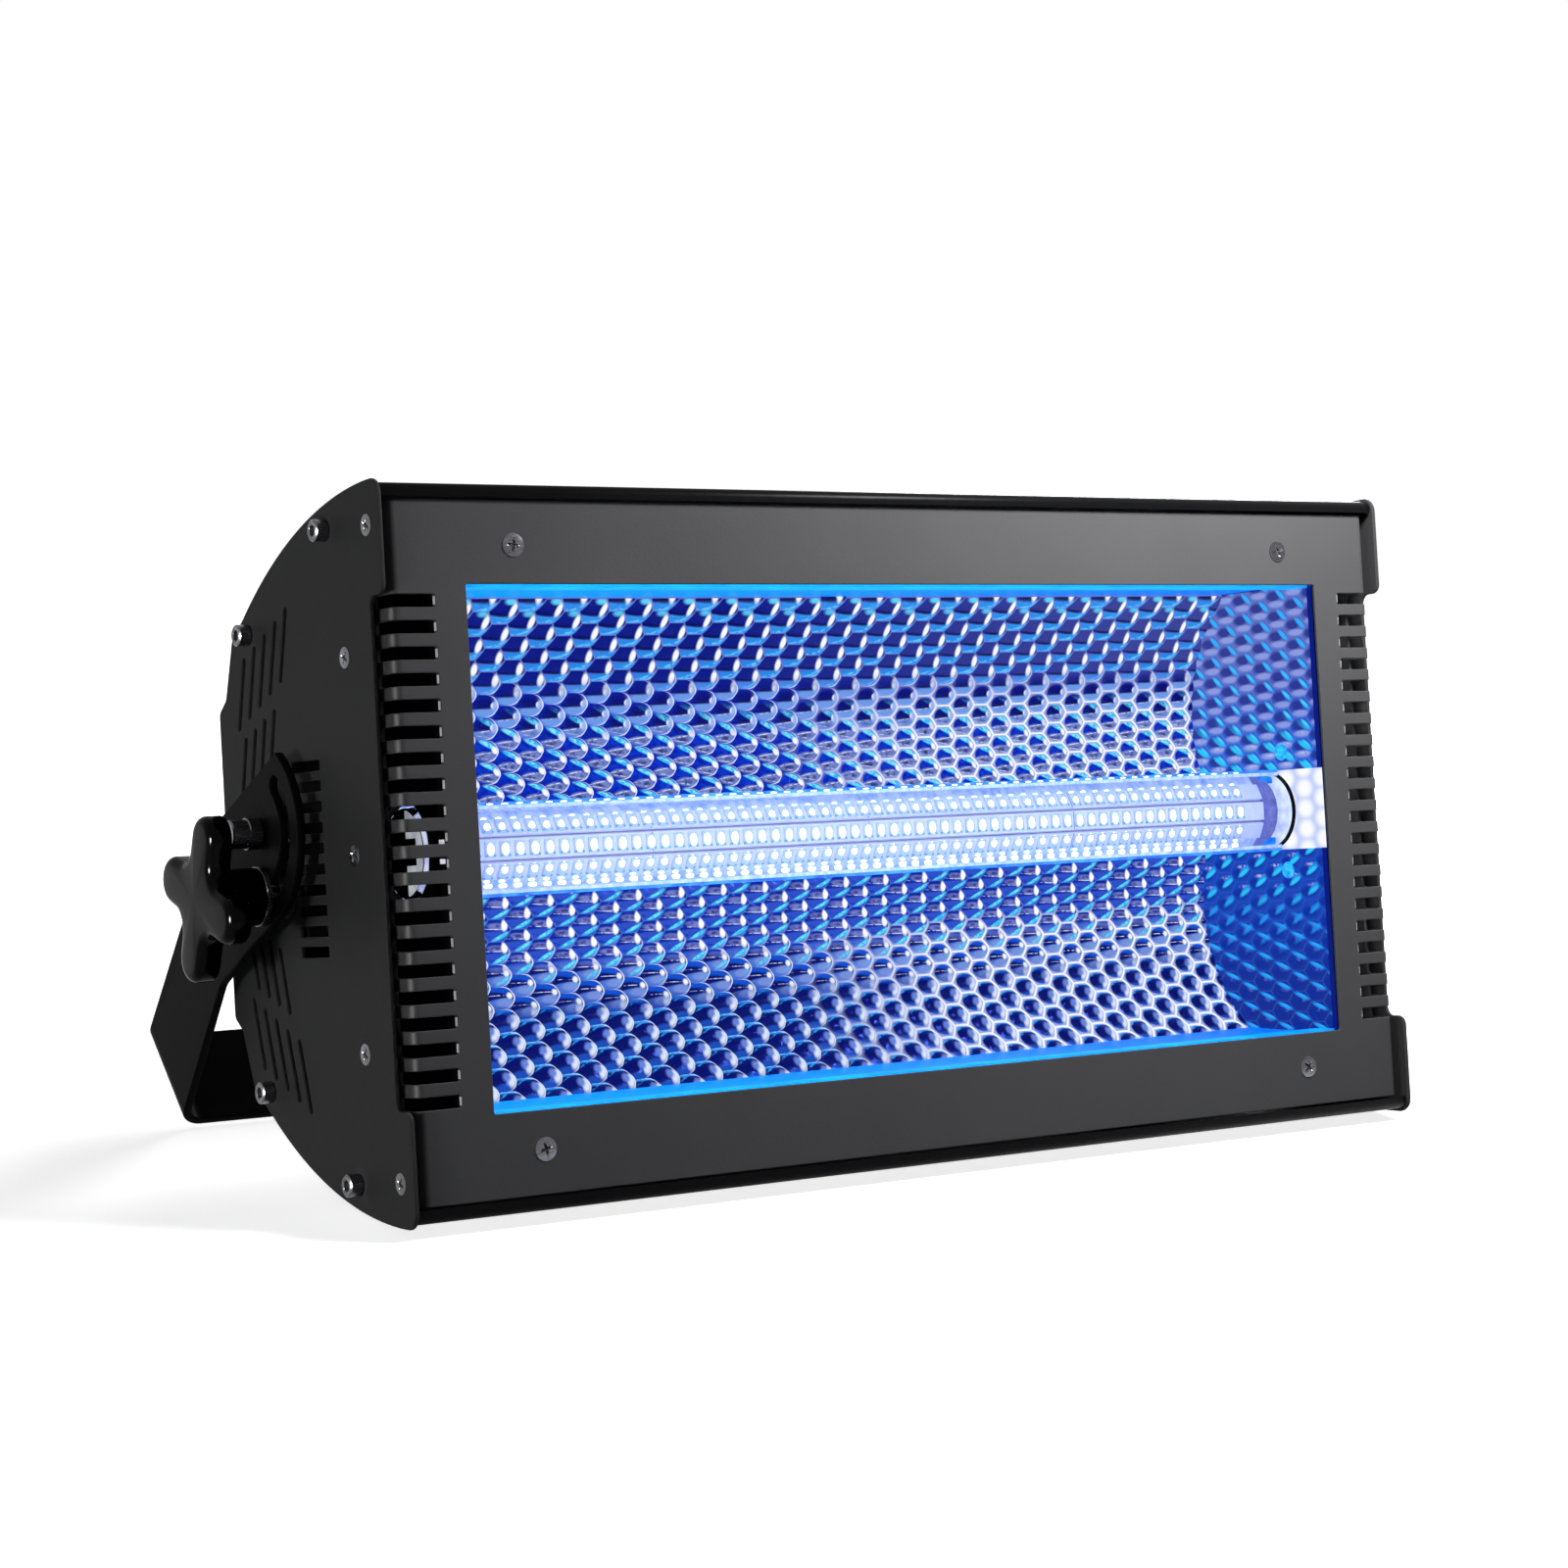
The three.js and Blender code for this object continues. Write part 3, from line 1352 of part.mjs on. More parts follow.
function addCapScrews() {
  capScrewPlaces().forEach(([y, z], k) => {
    const headFrom = cheekOuterX + common.seat;
    const headTo = headFrom + capScrew.headHeight;
    const shankFrom = cheekInnerX - capScrew.shankLength;
    const solid = join(
      barX(y, z, capScrew.headRadius, headFrom, headTo, 10),
      barX(y, z, capScrew.shankRadius, shankFrom, headFrom + capScrew.headHeight / 4, 6),
    );
    const socketFrom = headTo - capScrew.socketDepth;
    const socket = barX(y, z, capScrew.socketRadius, socketFrom, headTo + common.overrun, 6);
    const screw = cut(solid, socket);
    add(`cap_screw_right_${k + 1}`, screw, finish.blackOxide);
    add(`cap_screw_left_${k + 1}`, mirrored(screw), finish.blackOxide);
  });
}

addCheeks();
addCovers();
addRear();
addFront();
addLightBox();
addTube();
addFans();
addElectronics();
addYoke();
addPivots();
addKnobs();
addCapScrews();

// Stance: the head leans back until the cheeks' lower arches and the strap's outer edge both meet the floor.
const strapEdge = armPoint(yoke.strapReach + yoke.sheet, -yoke.strapHalf);
const fromArch = strapEdge.clone().sub(new THREE.Vector2(0, -archCentreZ));
const lean = -Math.PI / 2 - (fromArch.angle() - Math.PI * 2 - Math.acos(head.archRadius / fromArch.length()));
body.rotation.x = lean;
strobe.updateMatrixWorld(true);
const bounds = new THREE.Box3().setFromObject(strobe, true);
const middle = bounds.getCenter(new THREE.Vector3());
body.position.set(-middle.x, -middle.y, -bounds.min.z);
strobe.updateMatrixWorld(true);

export default strobe;
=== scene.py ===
"""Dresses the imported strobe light: finishes, lit light box, LED tube, fasteners, studio and camera.

Lengths are in millimetres in the head's own frame, as the sheet metal is drawn: X along the width, Y back
from the front edge of the side cheeks, Z up from mid height. One matrix turns them into the scene's metres.
"""

from __future__ import annotations

import json
import logging
import math
from collections.abc import Iterable, Sequence
from dataclasses import dataclass, field
from enum import Enum

import bmesh
import bpy
import numpy as np
from mathutils import Matrix, Vector

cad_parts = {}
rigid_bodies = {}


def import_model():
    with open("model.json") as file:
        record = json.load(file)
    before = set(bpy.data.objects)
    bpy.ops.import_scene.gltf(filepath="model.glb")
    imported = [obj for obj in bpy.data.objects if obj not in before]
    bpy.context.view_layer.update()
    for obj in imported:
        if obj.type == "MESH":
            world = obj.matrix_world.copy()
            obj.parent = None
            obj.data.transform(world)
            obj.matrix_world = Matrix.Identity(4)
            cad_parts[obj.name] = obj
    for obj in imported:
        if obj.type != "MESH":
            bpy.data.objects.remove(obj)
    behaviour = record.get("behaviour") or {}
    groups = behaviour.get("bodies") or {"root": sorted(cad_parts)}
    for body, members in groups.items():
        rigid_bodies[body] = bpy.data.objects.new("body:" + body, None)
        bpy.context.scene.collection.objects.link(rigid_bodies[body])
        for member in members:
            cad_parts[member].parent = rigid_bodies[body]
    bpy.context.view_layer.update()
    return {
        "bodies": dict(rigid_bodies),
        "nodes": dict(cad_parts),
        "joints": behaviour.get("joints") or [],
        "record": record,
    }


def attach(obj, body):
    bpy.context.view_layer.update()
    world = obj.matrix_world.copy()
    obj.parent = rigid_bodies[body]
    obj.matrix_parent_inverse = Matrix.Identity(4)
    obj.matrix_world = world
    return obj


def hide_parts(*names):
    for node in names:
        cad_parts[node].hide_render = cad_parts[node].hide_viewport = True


LOG = logging.getLogger("strobe")
MM = 0.001
QUARTER = math.pi / 2
Point = tuple[float, float]
Triple = tuple[float, float, float]
Outline = list[Point]
Mesh = bpy.types.Mesh
Tree = bpy.types.NodeTree
Node = bpy.types.Node
Socket = bpy.types.NodeSocket


class Body(Enum):
    """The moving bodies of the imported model."""

    HEAD = "lamp_head"
    YOKE = "yoke"
    KNOB_LEFT = "clamp_knob_left"
    KNOB_RIGHT = "clamp_knob_right"


class Way(Enum):
    """Where a turned piece points: the angle and the axis of the turn that takes z there."""

    RIGHT = (90, "Y")
    LEFT = (-90, "Y")
    FRONT = (90, "X")

    def at(self, *place: float) -> Matrix:
        """The matrix that puts a piece turned about z at a place in head millimetres."""
        angle, axis = self.value
        return Matrix.Translation(place) @ Matrix.Rotation(math.radians(angle), 4, axis)


# Plates are drawn flat in their own x and y, with their thickness along z.
SIDE_AXES = Matrix(((0, 0, 1, 0), (1, 0, 0, 0), (0, 1, 0, 0), (0, 0, 0, 1)))
FACE_AXES = Matrix(((1, 0, 0, 0), (0, 0, -1, 0), (0, 1, 0, 0), (0, 0, 0, 1)))


class Side(Enum):
    """The two ends of the light; the value is the sign of X."""

    LEFT = -1
    RIGHT = 1

    @property
    def word(self) -> str:
        """The side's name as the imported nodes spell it."""
        return self.name.lower()

    def flip(self) -> Matrix:
        """Mirrors what is drawn for the right end to this one."""
        return Matrix.Scale(-1, 4, (1, 0, 0)) if self is Side.LEFT else Matrix.Identity(4)

    def upright(self, x: float) -> Matrix:
        """Stands a plate upright across the light at a distance from its middle."""
        return self.flip() @ Matrix.Translation((x, 0, 0)) @ SIDE_AXES


@dataclass(frozen=True)
class HeadFrame:
    """How the leaning head stands in the scene."""

    lean: float = math.radians(-10.770961213124707)
    shift: Triple = (0.0, -78.01348311394736, 120.09231173199589)

    def matrix(self) -> Matrix:
        """The matrix from head millimetres to scene metres."""
        return Matrix.Scale(MM, 4) @ Matrix.Translation(self.shift) @ Matrix.Rotation(self.lean, 4, "X")

    def turn(self) -> Matrix:
        """The head's rotation alone."""
        return Matrix.Rotation(self.lean, 3, "X")


HEAD = HeadFrame()
# Places on the cheeks that several sub-assemblies share, as (y, z).
PIVOT = (83.5, 9.7)
CLAMP = (83.5, -11.3)
CAP_SCREWS = ((38.8, 106.1), (103.0, 77.8), (103.0, -77.8), (38.8, -106.1))


def linear(code: str) -> tuple[float, float, float, float]:
    """Turns an sRGB hex colour such as "#1a1b1d" into linear red, green, blue and alpha.

    Args:
        code: The colour.

    Returns:
        The four channels, from 0 to 1.
    """
    parts = [int(code[k : k + 2], 16) / 255 for k in (1, 3, 5)]
    red, green, blue = (p / 12.92 if p <= 0.04045 else ((p + 0.055) / 1.055) ** 2.4 for p in parts)
    return red, green, blue, 1.0


def add_node(
    tree: Tree,
    kind: str,
    values: dict[str | int, object] | None = None,
    links: dict[str | int, Socket] | None = None,
    **settings: object,
) -> Node:
    """Adds one shader node with its settings, socket values and links.

    Args:
        tree: The node tree.
        kind: The node's type, without the prefix that all shader nodes share.
        values: Input sockets, by name or number, and their values.
        links: Input sockets, by name or number, and the output sockets that feed them.
        **settings: Attributes of the node itself.

    Returns:
        The new node.
    """
    node = tree.nodes.new(f"ShaderNode{kind}")
    for name, value in settings.items():
        setattr(node, name, value)
    for name, value in (values or {}).items():
        node.inputs[name].default_value = value
    for name, source in (links or {}).items():
        tree.links.new(source, node.inputs[name])
    return node


def noise(
    tree: Tree, size: float, detail: float = 3.0, stretch: Triple = (1.0, 1.0, 1.0), rough: float = 0.5
) -> Socket:
    """Adds noise whose grains have a real size on the piece.

    Args:
        tree: The node tree.
        size: The size of a grain in millimetres.
        detail: How many finer layers it has.
        stretch: How much faster it changes along each axis.
        rough: How strong the finer layers are.

    Returns:
        A factor from 0 to 1.
    """
    place = add_node(tree, "TexCoord").outputs["Object"]
    along = add_node(tree, "Mapping", {"Scale": stretch}, {"Vector": place}).outputs[0]
    values = {"Scale": 1 / (size * MM), "Detail": detail, "Roughness": rough}
    return add_node(tree, "TexNoise", values, {"Vector": along}).outputs["Fac"]


def weave(
    tree: Tree,
    shader: Node,
    spread: Socket,
    gloss: Point,
    height: Socket,
    relief: Point,
    tints: tuple[str, str] | None = None,
) -> None:
    """Feeds a shader from two factors: one spreads its gloss and colour, the other raises its relief.

    Args:
        tree: The node tree.
        shader: The shader.
        spread: The factor of the gloss and the colour.
        gloss: The roughness at 0 and at 1.
        height: The factor of the relief.
        relief: The strength of the relief, and the size of its grain in millimetres.
        tints: The colours at 0 and at 1, where the colour changes too.
    """
    rough = add_node(tree, "MapRange", {"To Min": gloss[0], "To Max": gloss[1]}, {"Value": spread})
    tree.links.new(rough.outputs[0], shader.inputs["Roughness"])
    bump = add_node(tree, "Bump", {"Strength": relief[0], "Distance": relief[1] * MM}, {"Height": height})
    tree.links.new(bump.outputs[0], shader.inputs["Normal"])
    if tints:
        ends = {6: linear(tints[0]), 7: linear(tints[1])}
        tint = add_node(tree, "Mix", ends, {0: spread}, data_type="RGBA")
        tree.links.new(tint.outputs[2], shader.inputs["Base Color"])


@dataclass(frozen=True)
class Finish:
    """A finish, named for its material, and the record's material slot that it stands for."""

    name: str
    slot: str

    def sockets(self) -> dict[str, object]:
        """The shader values that are the same all over the surface."""
        raise NotImplementedError

    def vary(self, tree: Tree, shader: Node) -> None:
        """Adds what changes over the surface; a plain finish adds nothing."""

    def material(self) -> bpy.types.Material:
        """Builds the node material about one principled shader.

        Returns:
            The new material.
        """
        material = bpy.data.materials.new(self.name)
        material.use_nodes = True
        tree = material.node_tree
        tree.nodes.clear()
        shader = add_node(tree, "BsdfPrincipled", self.sockets())
        self.vary(tree, shader)
        add_node(tree, "OutputMaterial", links={"Surface": shader.outputs[0]})
        return material


@dataclass(frozen=True)
class CoatedMetal(Finish):
    """Sheet steel under baked polyester powder or wet paint: a plain skin with a fine orange peel."""

    colour: str
    light_colour: str
    roughness: float
    specular: float
    peel_mm: float = 1.1
    peel_depth: float = 0.05
    mottle_mm: float = 45.0
    gloss_spread: Point = (-0.03, 0.03)

    def sockets(self) -> dict[str, object]:
        """The strength of the skin's reflection."""
        return {"IOR": 1.5, "Specular IOR Level": self.specular}

    def vary(self, tree: Tree, shader: Node) -> None:
        """Draws the peel as relief and a faint drift of colour and gloss.

        Args:
            tree: The node tree.
            shader: The shader to feed.
        """
        drift, peel = noise(tree, self.mottle_mm), noise(tree, self.peel_mm, 2.0)
        gloss = tuple(self.roughness + change for change in self.gloss_spread)
        relief = (self.peel_depth, self.peel_mm)
        weave(tree, shader, drift, gloss, peel, relief, (self.colour, self.light_colour))


@dataclass(frozen=True)
class MouldedPlastic(Finish):
    """Injection-moulded nylon, ABS or rubber: the tool's fine grain and a soft edge to each highlight."""

    colour: str
    roughness: float
    specular: float = 0.4
    grain_mm: float = 0.6
    grain_depth: float = 0.04
    gloss_spread: Point = (-0.04, 0.06)

    def sockets(self) -> dict[str, object]:
        """The plain colour and the strength of the reflection."""
        return {"Base Color": linear(self.colour), "IOR": 1.5, "Specular IOR Level": self.specular}

    def vary(self, tree: Tree, shader: Node) -> None:
        """Draws the grain as relief and as a faint change of gloss.

        Args:
            tree: The node tree.
            shader: The shader to feed.
        """
        grain = noise(tree, self.grain_mm, rough=0.6)
        gloss = tuple(self.roughness + change for change in self.gloss_spread)
        weave(tree, shader, grain, gloss, grain, (self.grain_depth, self.grain_mm))


@dataclass(frozen=True)
class WorkedMetal(Finish):
    """Bare, plated or blackened metal: brushed or turned, so its gloss runs in short streaks along X."""

    colour: str
    dark_colour: str
    roughness: float
    streak_mm: float = 0.5
    streak_length: float = 12.0
    depth: float = 0.05
    gloss_spread: Point = (-0.05, 0.08)

    def sockets(self) -> dict[str, object]:
        """Metal all over."""
        return {"Metallic": 1.0}

    def vary(self, tree: Tree, shader: Node) -> None:
        """Draws the streaks in the gloss, the colour and the relief.

        Args:
            tree: The node tree.
            shader: The shader to feed.
        """
        streak = noise(tree, self.streak_mm, stretch=(1 / self.streak_length, 1.0, 1.0))
        gloss = tuple(self.roughness + change for change in self.gloss_spread)
        relief = (self.depth, self.streak_mm)
        weave(tree, shader, streak, gloss, streak, relief, (self.dark_colour, self.colour))


@dataclass(frozen=True)
class ClearSheet(Finish):
    """Float glass or drawn acrylic: colourless, smooth, with a faint tint in its thickness."""

    tint: str
    ior: float

    def sockets(self) -> dict[str, object]:
        """Clear all over."""
        values = {"Base Color": linear(self.tint), "Roughness": 0.0, "IOR": self.ior}
        return {**values, "Transmission Weight": 1.0}


@dataclass(frozen=True)
class LitSurface(Finish):
    """A surface glowing in one colour: LED phosphor, or painted light on solder mask, enamel and metal the
    LEDs flood.
    """

    colour: str
    dim_colour: str
    strength: float
    patch_mm: float = 6.0
    stretch: Triple = (1.0, 1.0, 1.0)
    drift: Point | None = None
    noise_band: Point = (0.7, 0.3)

    def sockets(self) -> dict[str, object]:
        """The unlit colour, its faint gloss and the strength of the glow."""
        unlit = {"Base Color": linear(self.dim_colour), "Roughness": 0.4, "Specular IOR Level": 0.04}
        return {**unlit, "Emission Strength": self.strength}

    def vary(self, tree: Tree, shader: Node) -> None:
        """Lets the glow drift between its two colours over patches, or along the light's width in metres.

        Args:
            tree: The node tree.
            shader: The shader to feed.
        """
        if self.drift:
            place = add_node(tree, "TexCoord").outputs["Object"]
            source = add_node(tree, "SeparateXYZ", links={0: place}).outputs[0]
        else:
            source = noise(tree, self.patch_mm, 2.0, self.stretch)
        bright, dim = self.drift or self.noise_band
        spread = add_node(tree, "MapRange", {"From Min": dim, "From Max": bright}, {"Value": source})
        ends = {6: linear(self.dim_colour), 7: linear(self.colour)}
        tint = add_node(tree, "Mix", ends, {0: spread.outputs[0]}, data_type="RGBA")
        tree.links.new(tint.outputs[2], shader.inputs["Emission Color"])


@dataclass(frozen=True)
class Paper(Finish):
    """Matt white background paper: white to the eye with its shadows kept, dimmer as a light from below."""

    shades: tuple[str, str] = ("#f0f0f0", "#fafafa")
    dimmed: str = "#585858"
    grain_mm: float = 1.1111
    fade_from: float = 0.3
    fade_to: float = 0.8
    near_glow: float = 0.82

    def sockets(self) -> dict[str, object]:
        """Matt all over, with a white glow."""
        return {"Roughness": 0.9, "Specular IOR Level": 0.0, "Emission Color": (1, 1, 1, 1)}

    def vary(self, tree: Tree, shader: Node) -> None:
        """Draws the paper's grain, and a glow that grows away from the object and that only the eye sees.

        Args:
            tree: The node tree.
            shader: The shader to feed.
        """
        seen = seen_white(tree)
        ends = {6: linear(self.shades[0]), 7: linear(self.shades[1])}
        paper = add_node(tree, "Mix", ends, {0: noise(tree, self.grain_mm, 2.0)}, data_type="RGBA").outputs[2]
        tint = add_node(tree, "Mix", {6: linear(self.dimmed)}, {0: seen, 7: paper}, data_type="RGBA")
        tree.links.new(tint.outputs[2], shader.inputs["Base Color"])
        place = add_node(tree, "TexCoord").outputs["Object"]
        away = add_node(tree, "VectorMath", links={0: place}, operation="LENGTH").outputs["Value"]
        fade = {"From Min": self.fade_from, "From Max": self.fade_to, "To Min": self.near_glow, "To Max": 1.0}
        glow = add_node(tree, "MapRange", fade, {"Value": away}, interpolation_type="SMOOTHSTEP").outputs[0]
        shown = add_node(tree, "Math", links={0: glow, 1: seen}, operation="MULTIPLY")
        tree.links.new(shown.outputs[0], shader.inputs["Emission Strength"])


def seen_white(tree: Tree) -> Socket:
    """Adds a factor that is 1 for rays from the eye, from a gloss or through glass.

    Args:
        tree: The node tree.

    Returns:
        The factor, which is 0 for any other ray.
    """
    path = add_node(tree, "LightPath")
    seen = path.outputs["Is Camera Ray"]
    for ray in ("Is Glossy Ray", "Is Transmission Ray"):
        seen = add_node(tree, "Math", links={0: seen, 1: path.outputs[ray]}, operation="MAXIMUM").outputs[0]
    return seen


def arc(centre: Point, radius: float, start: float, end: float, steps: int) -> Outline:
    """Points along an arc, ends included, with its angles in radians."""
    turns = (start + (end - start) * k / steps for k in range(steps + 1))
    return [(centre[0] + radius * math.cos(a), centre[1] + radius * math.sin(a)) for a in turns]


def circle(centre: Point, radius: float, steps: int = 48) -> Outline:
    """A circle as an outline."""
    return arc(centre, radius, 0, math.tau, steps)[:-1]


def slot_outline(a: Point, b: Point, width: float, steps: int = 10) -> Outline:
    """A slot with round ends from one point to another.

    Args:
        a: The middle of one end.
        b: The middle of the other.
        width: The slot's width.
        steps: How many steps an end has.

    Returns:
        The outline.
    """
    heading = math.atan2(b[1] - a[1], b[0] - a[0])
    far = arc(b, width / 2, heading - QUARTER, heading + QUARTER, steps)
    return far + arc(a, width / 2, heading + QUARTER, heading + 3 * QUARTER, steps)


def rectangle(low: Point, high: Point) -> Outline:
    """A rectangle as an outline."""
    return [low, (high[0], low[1]), high, (low[0], high[1])]


def rounded(corners: Sequence[Sequence[float]], facet: float = 9.0) -> Outline:
    """Rounds the corners of an outline by arcs.

    Args:
        corners: Points (a, b) that stay sharp and points (a, b, radius) that are rounded.
        facet: The most degrees that one step of an arc turns.

    Returns:
        The outline.
    """
    outline: Outline = []
    for k, corner in enumerate(corners):
        here = Vector(corner[:2])
        radius = corner[2] if len(corner) > 2 else 0
        if not radius:
            outline.append(tuple(here))
            continue
        inward = (Vector(corners[k - 1][:2]) - here).normalized()
        outward = (Vector(corners[(k + 1) % len(corners)][:2]) - here).normalized()
        half = math.acos(max(-1.0, min(1.0, inward.dot(outward)))) / 2
        start = here + inward * (radius / math.tan(half))
        centre = here + (inward + outward).normalized() * (radius / math.sin(half))
        spoke = start - centre
        turn = (-1 if inward.cross(outward) > 0 else 1) * (math.pi - 2 * half)
        steps = max(3, math.ceil(abs(math.degrees(turn)) / facet))
        angles = (turn * step / steps for step in range(steps + 1))
        outline += [tuple(centre + Matrix.Rotation(angle, 2) @ spoke) for angle in angles]
    return outline


def below(outline: Outline) -> Outline:
    """The mirror image of an outline below its first axis."""
    return [(a, -b) for a, b in outline][::-1]


def box_outline(centre: Point, half: Point, radius: float) -> Outline:
    """A rectangle with rounded corners about a centre."""
    (x, y), (a, b) = centre, half
    return rounded([(x + i * a, y + j * b, radius) for i, j in ((-1, -1), (1, -1), (1, 1), (-1, 1))])


@dataclass
class Sheet:
    """A flat plate cut from sheet, drawn in its own x and y with its thickness about z = 0."""

    outline: Outline
    thickness: float
    holes: list[Outline] = field(default_factory=list)
    edge: float = 0.25

    def mesh(self, name: str) -> Mesh:
        """Fills the outline, leaves the holes and softens every edge.

        Args:
            name: The mesh's name.

        Returns:
            A closed mesh in millimetres.
        """
        curve = bpy.data.curves.new(name, "CURVE")
        curve.dimensions = "2D"
        curve.fill_mode = "BOTH"
        curve.extrude = self.thickness / 2 - self.edge
        curve.bevel_depth = self.edge
        curve.bevel_resolution = 1
        curve.offset = -self.edge
        for loop in [self.outline, *self.holes]:
            spline = curve.splines.new("POLY")
            spline.points.add(len(loop) - 1)
            for point, (x, y) in zip(spline.points, loop):
                point.co = (x, y, 0, 1)
            spline.use_cyclic_u = True
        thing = bpy.data.objects.new(name, curve)
        bpy.context.scene.collection.objects.link(thing)
        evaluated = thing.evaluated_get(bpy.context.evaluated_depsgraph_get())
        mesh = bpy.data.meshes.new_from_object(evaluated)
        bpy.data.objects.remove(thing)
        bpy.data.curves.remove(curve)
        mesh.name = name
        shape = bmesh.new()
        shape.from_mesh(mesh)
        bmesh.ops.remove_doubles(shape, verts=shape.verts, dist=1e-3)
        shape.normal_update()
        # The edges about the two flat faces stay crisp.
        for edge in shape.edges:
            edge.smooth = len({abs(face.normal.z) > 0.999 for face in edge.link_faces}) == 1
        shape.to_mesh(mesh)
        shape.free()
        return mesh


@dataclass(frozen=True)
class Fold:
    """A symmetrical fold: the sheet lies flat out to a distance, turns over a bend and runs straight on."""

    flat_to: float
    radius: float
    turn: float = QUARTER
    steps: int = 8

    @property
    def arc_length(self) -> float:
        """The length of the bend along the middle of the sheet."""
        return self.radius * self.turn

    def place(self, along: float, offset: float) -> Point:
        """Where a point of the flat sheet goes.

        Args:
            along: Its distance along the flat sheet, from the middle.
            offset: Its height above the middle of the sheet; the sheet bends away from the positive side.

        Returns:
            Its two coordinates across the bend: along the flat part, and back from it.
        """
        past = abs(along) - self.flat_to
        if past <= 0:
            return along, -offset
        bent = min(past, self.arc_length)
        angle = bent / self.radius
        straight = past - bent
        across = self.flat_to + (self.radius + offset) * math.sin(angle) + straight * math.cos(angle)
        back = self.radius - (self.radius + offset) * math.cos(angle) + straight * math.sin(angle)
        return math.copysign(across, along), back

    def bend(self, mesh: Mesh) -> None:
        """Folds a mesh that lies flat about z = 0 across x, cutting it into strips at both bends first.

        Args:
            mesh: The flat mesh, which changes in place.
        """
        shape = bmesh.new()
        shape.from_mesh(mesh)
        across = Vector((1, 0, 0))
        for side in (-1, 1):
            for k in range(self.steps + 1):
                at = across * side * (self.flat_to + self.arc_length * k / self.steps)
                whole = [*shape.verts, *shape.edges, *shape.faces]
                bmesh.ops.bisect_plane(shape, geom=whole, dist=1e-4, plane_co=at, plane_no=across)
        for vertex in shape.verts:
            vertex.co.x, back = self.place(vertex.co.x, vertex.co.z)
            vertex.co.z = -back
        shape.to_mesh(mesh)
        shape.free()


@dataclass
class Turning:
    """A turned piece: a profile of (distance along the axis, radius) swept about the axis."""

    profile: Outline
    steps: int = 40

    def mesh(self, name: str) -> Mesh:
        """Sweeps the profile about z; its far end closes, and its near end lies on or in another piece.

        Args:
            name: The mesh's name.

        Returns:
            The mesh.
        """
        shape = bmesh.new()
        rings: list[list[bmesh.types.BMVert]] = []
        for height, radius in self.profile:
            if radius <= 1e-6:
                rings.append([shape.verts.new((0, 0, height))])
                continue
            turns = (math.tau * k / self.steps for k in range(self.steps))
            places = [(radius * math.cos(a), radius * math.sin(a), height) for a in turns]
            rings.append([shape.verts.new(place) for place in places])
        for lower, upper in zip(rings, rings[1:]):
            if len(lower) == 1:
                continue
            for k in range(self.steps):
                after = (k + 1) % self.steps
                over = [upper[after], upper[k]] if len(upper) > 1 else upper
                shape.faces.new([lower[k], lower[after], *over])
        bmesh.ops.recalc_face_normals(shape, faces=shape.faces)
        mesh = bpy.data.meshes.new(name)
        shape.to_mesh(mesh)
        shape.free()
        return mesh


def mesh_from(name: str, points: np.ndarray, faces: Sequence[Sequence[int]]) -> Mesh:
    """Makes a mesh from points and faces.

    Args:
        name: The mesh's name.
        points: The points, one to a row.
        faces: The points' numbers, face by face.

    Returns:
        The mesh.
    """
    mesh = bpy.data.meshes.new(name)
    mesh.from_pydata([tuple(map(float, p)) for p in points], [], [tuple(map(int, f)) for f in faces])
    mesh.update()
    return mesh


def joined(name: str, meshes: Iterable[Mesh]) -> Mesh:
    """Puts several meshes into one and removes them.

    Args:
        name: The mesh's name.
        meshes: The meshes.

    Returns:
        The one mesh.
    """
    shape = bmesh.new()
    parts = list(meshes)
    for part in parts:
        shape.from_mesh(part)
    whole = bpy.data.meshes.new(name)
    shape.to_mesh(whole)
    shape.free()
    for part in parts:
        bpy.data.meshes.remove(part)
    return whole


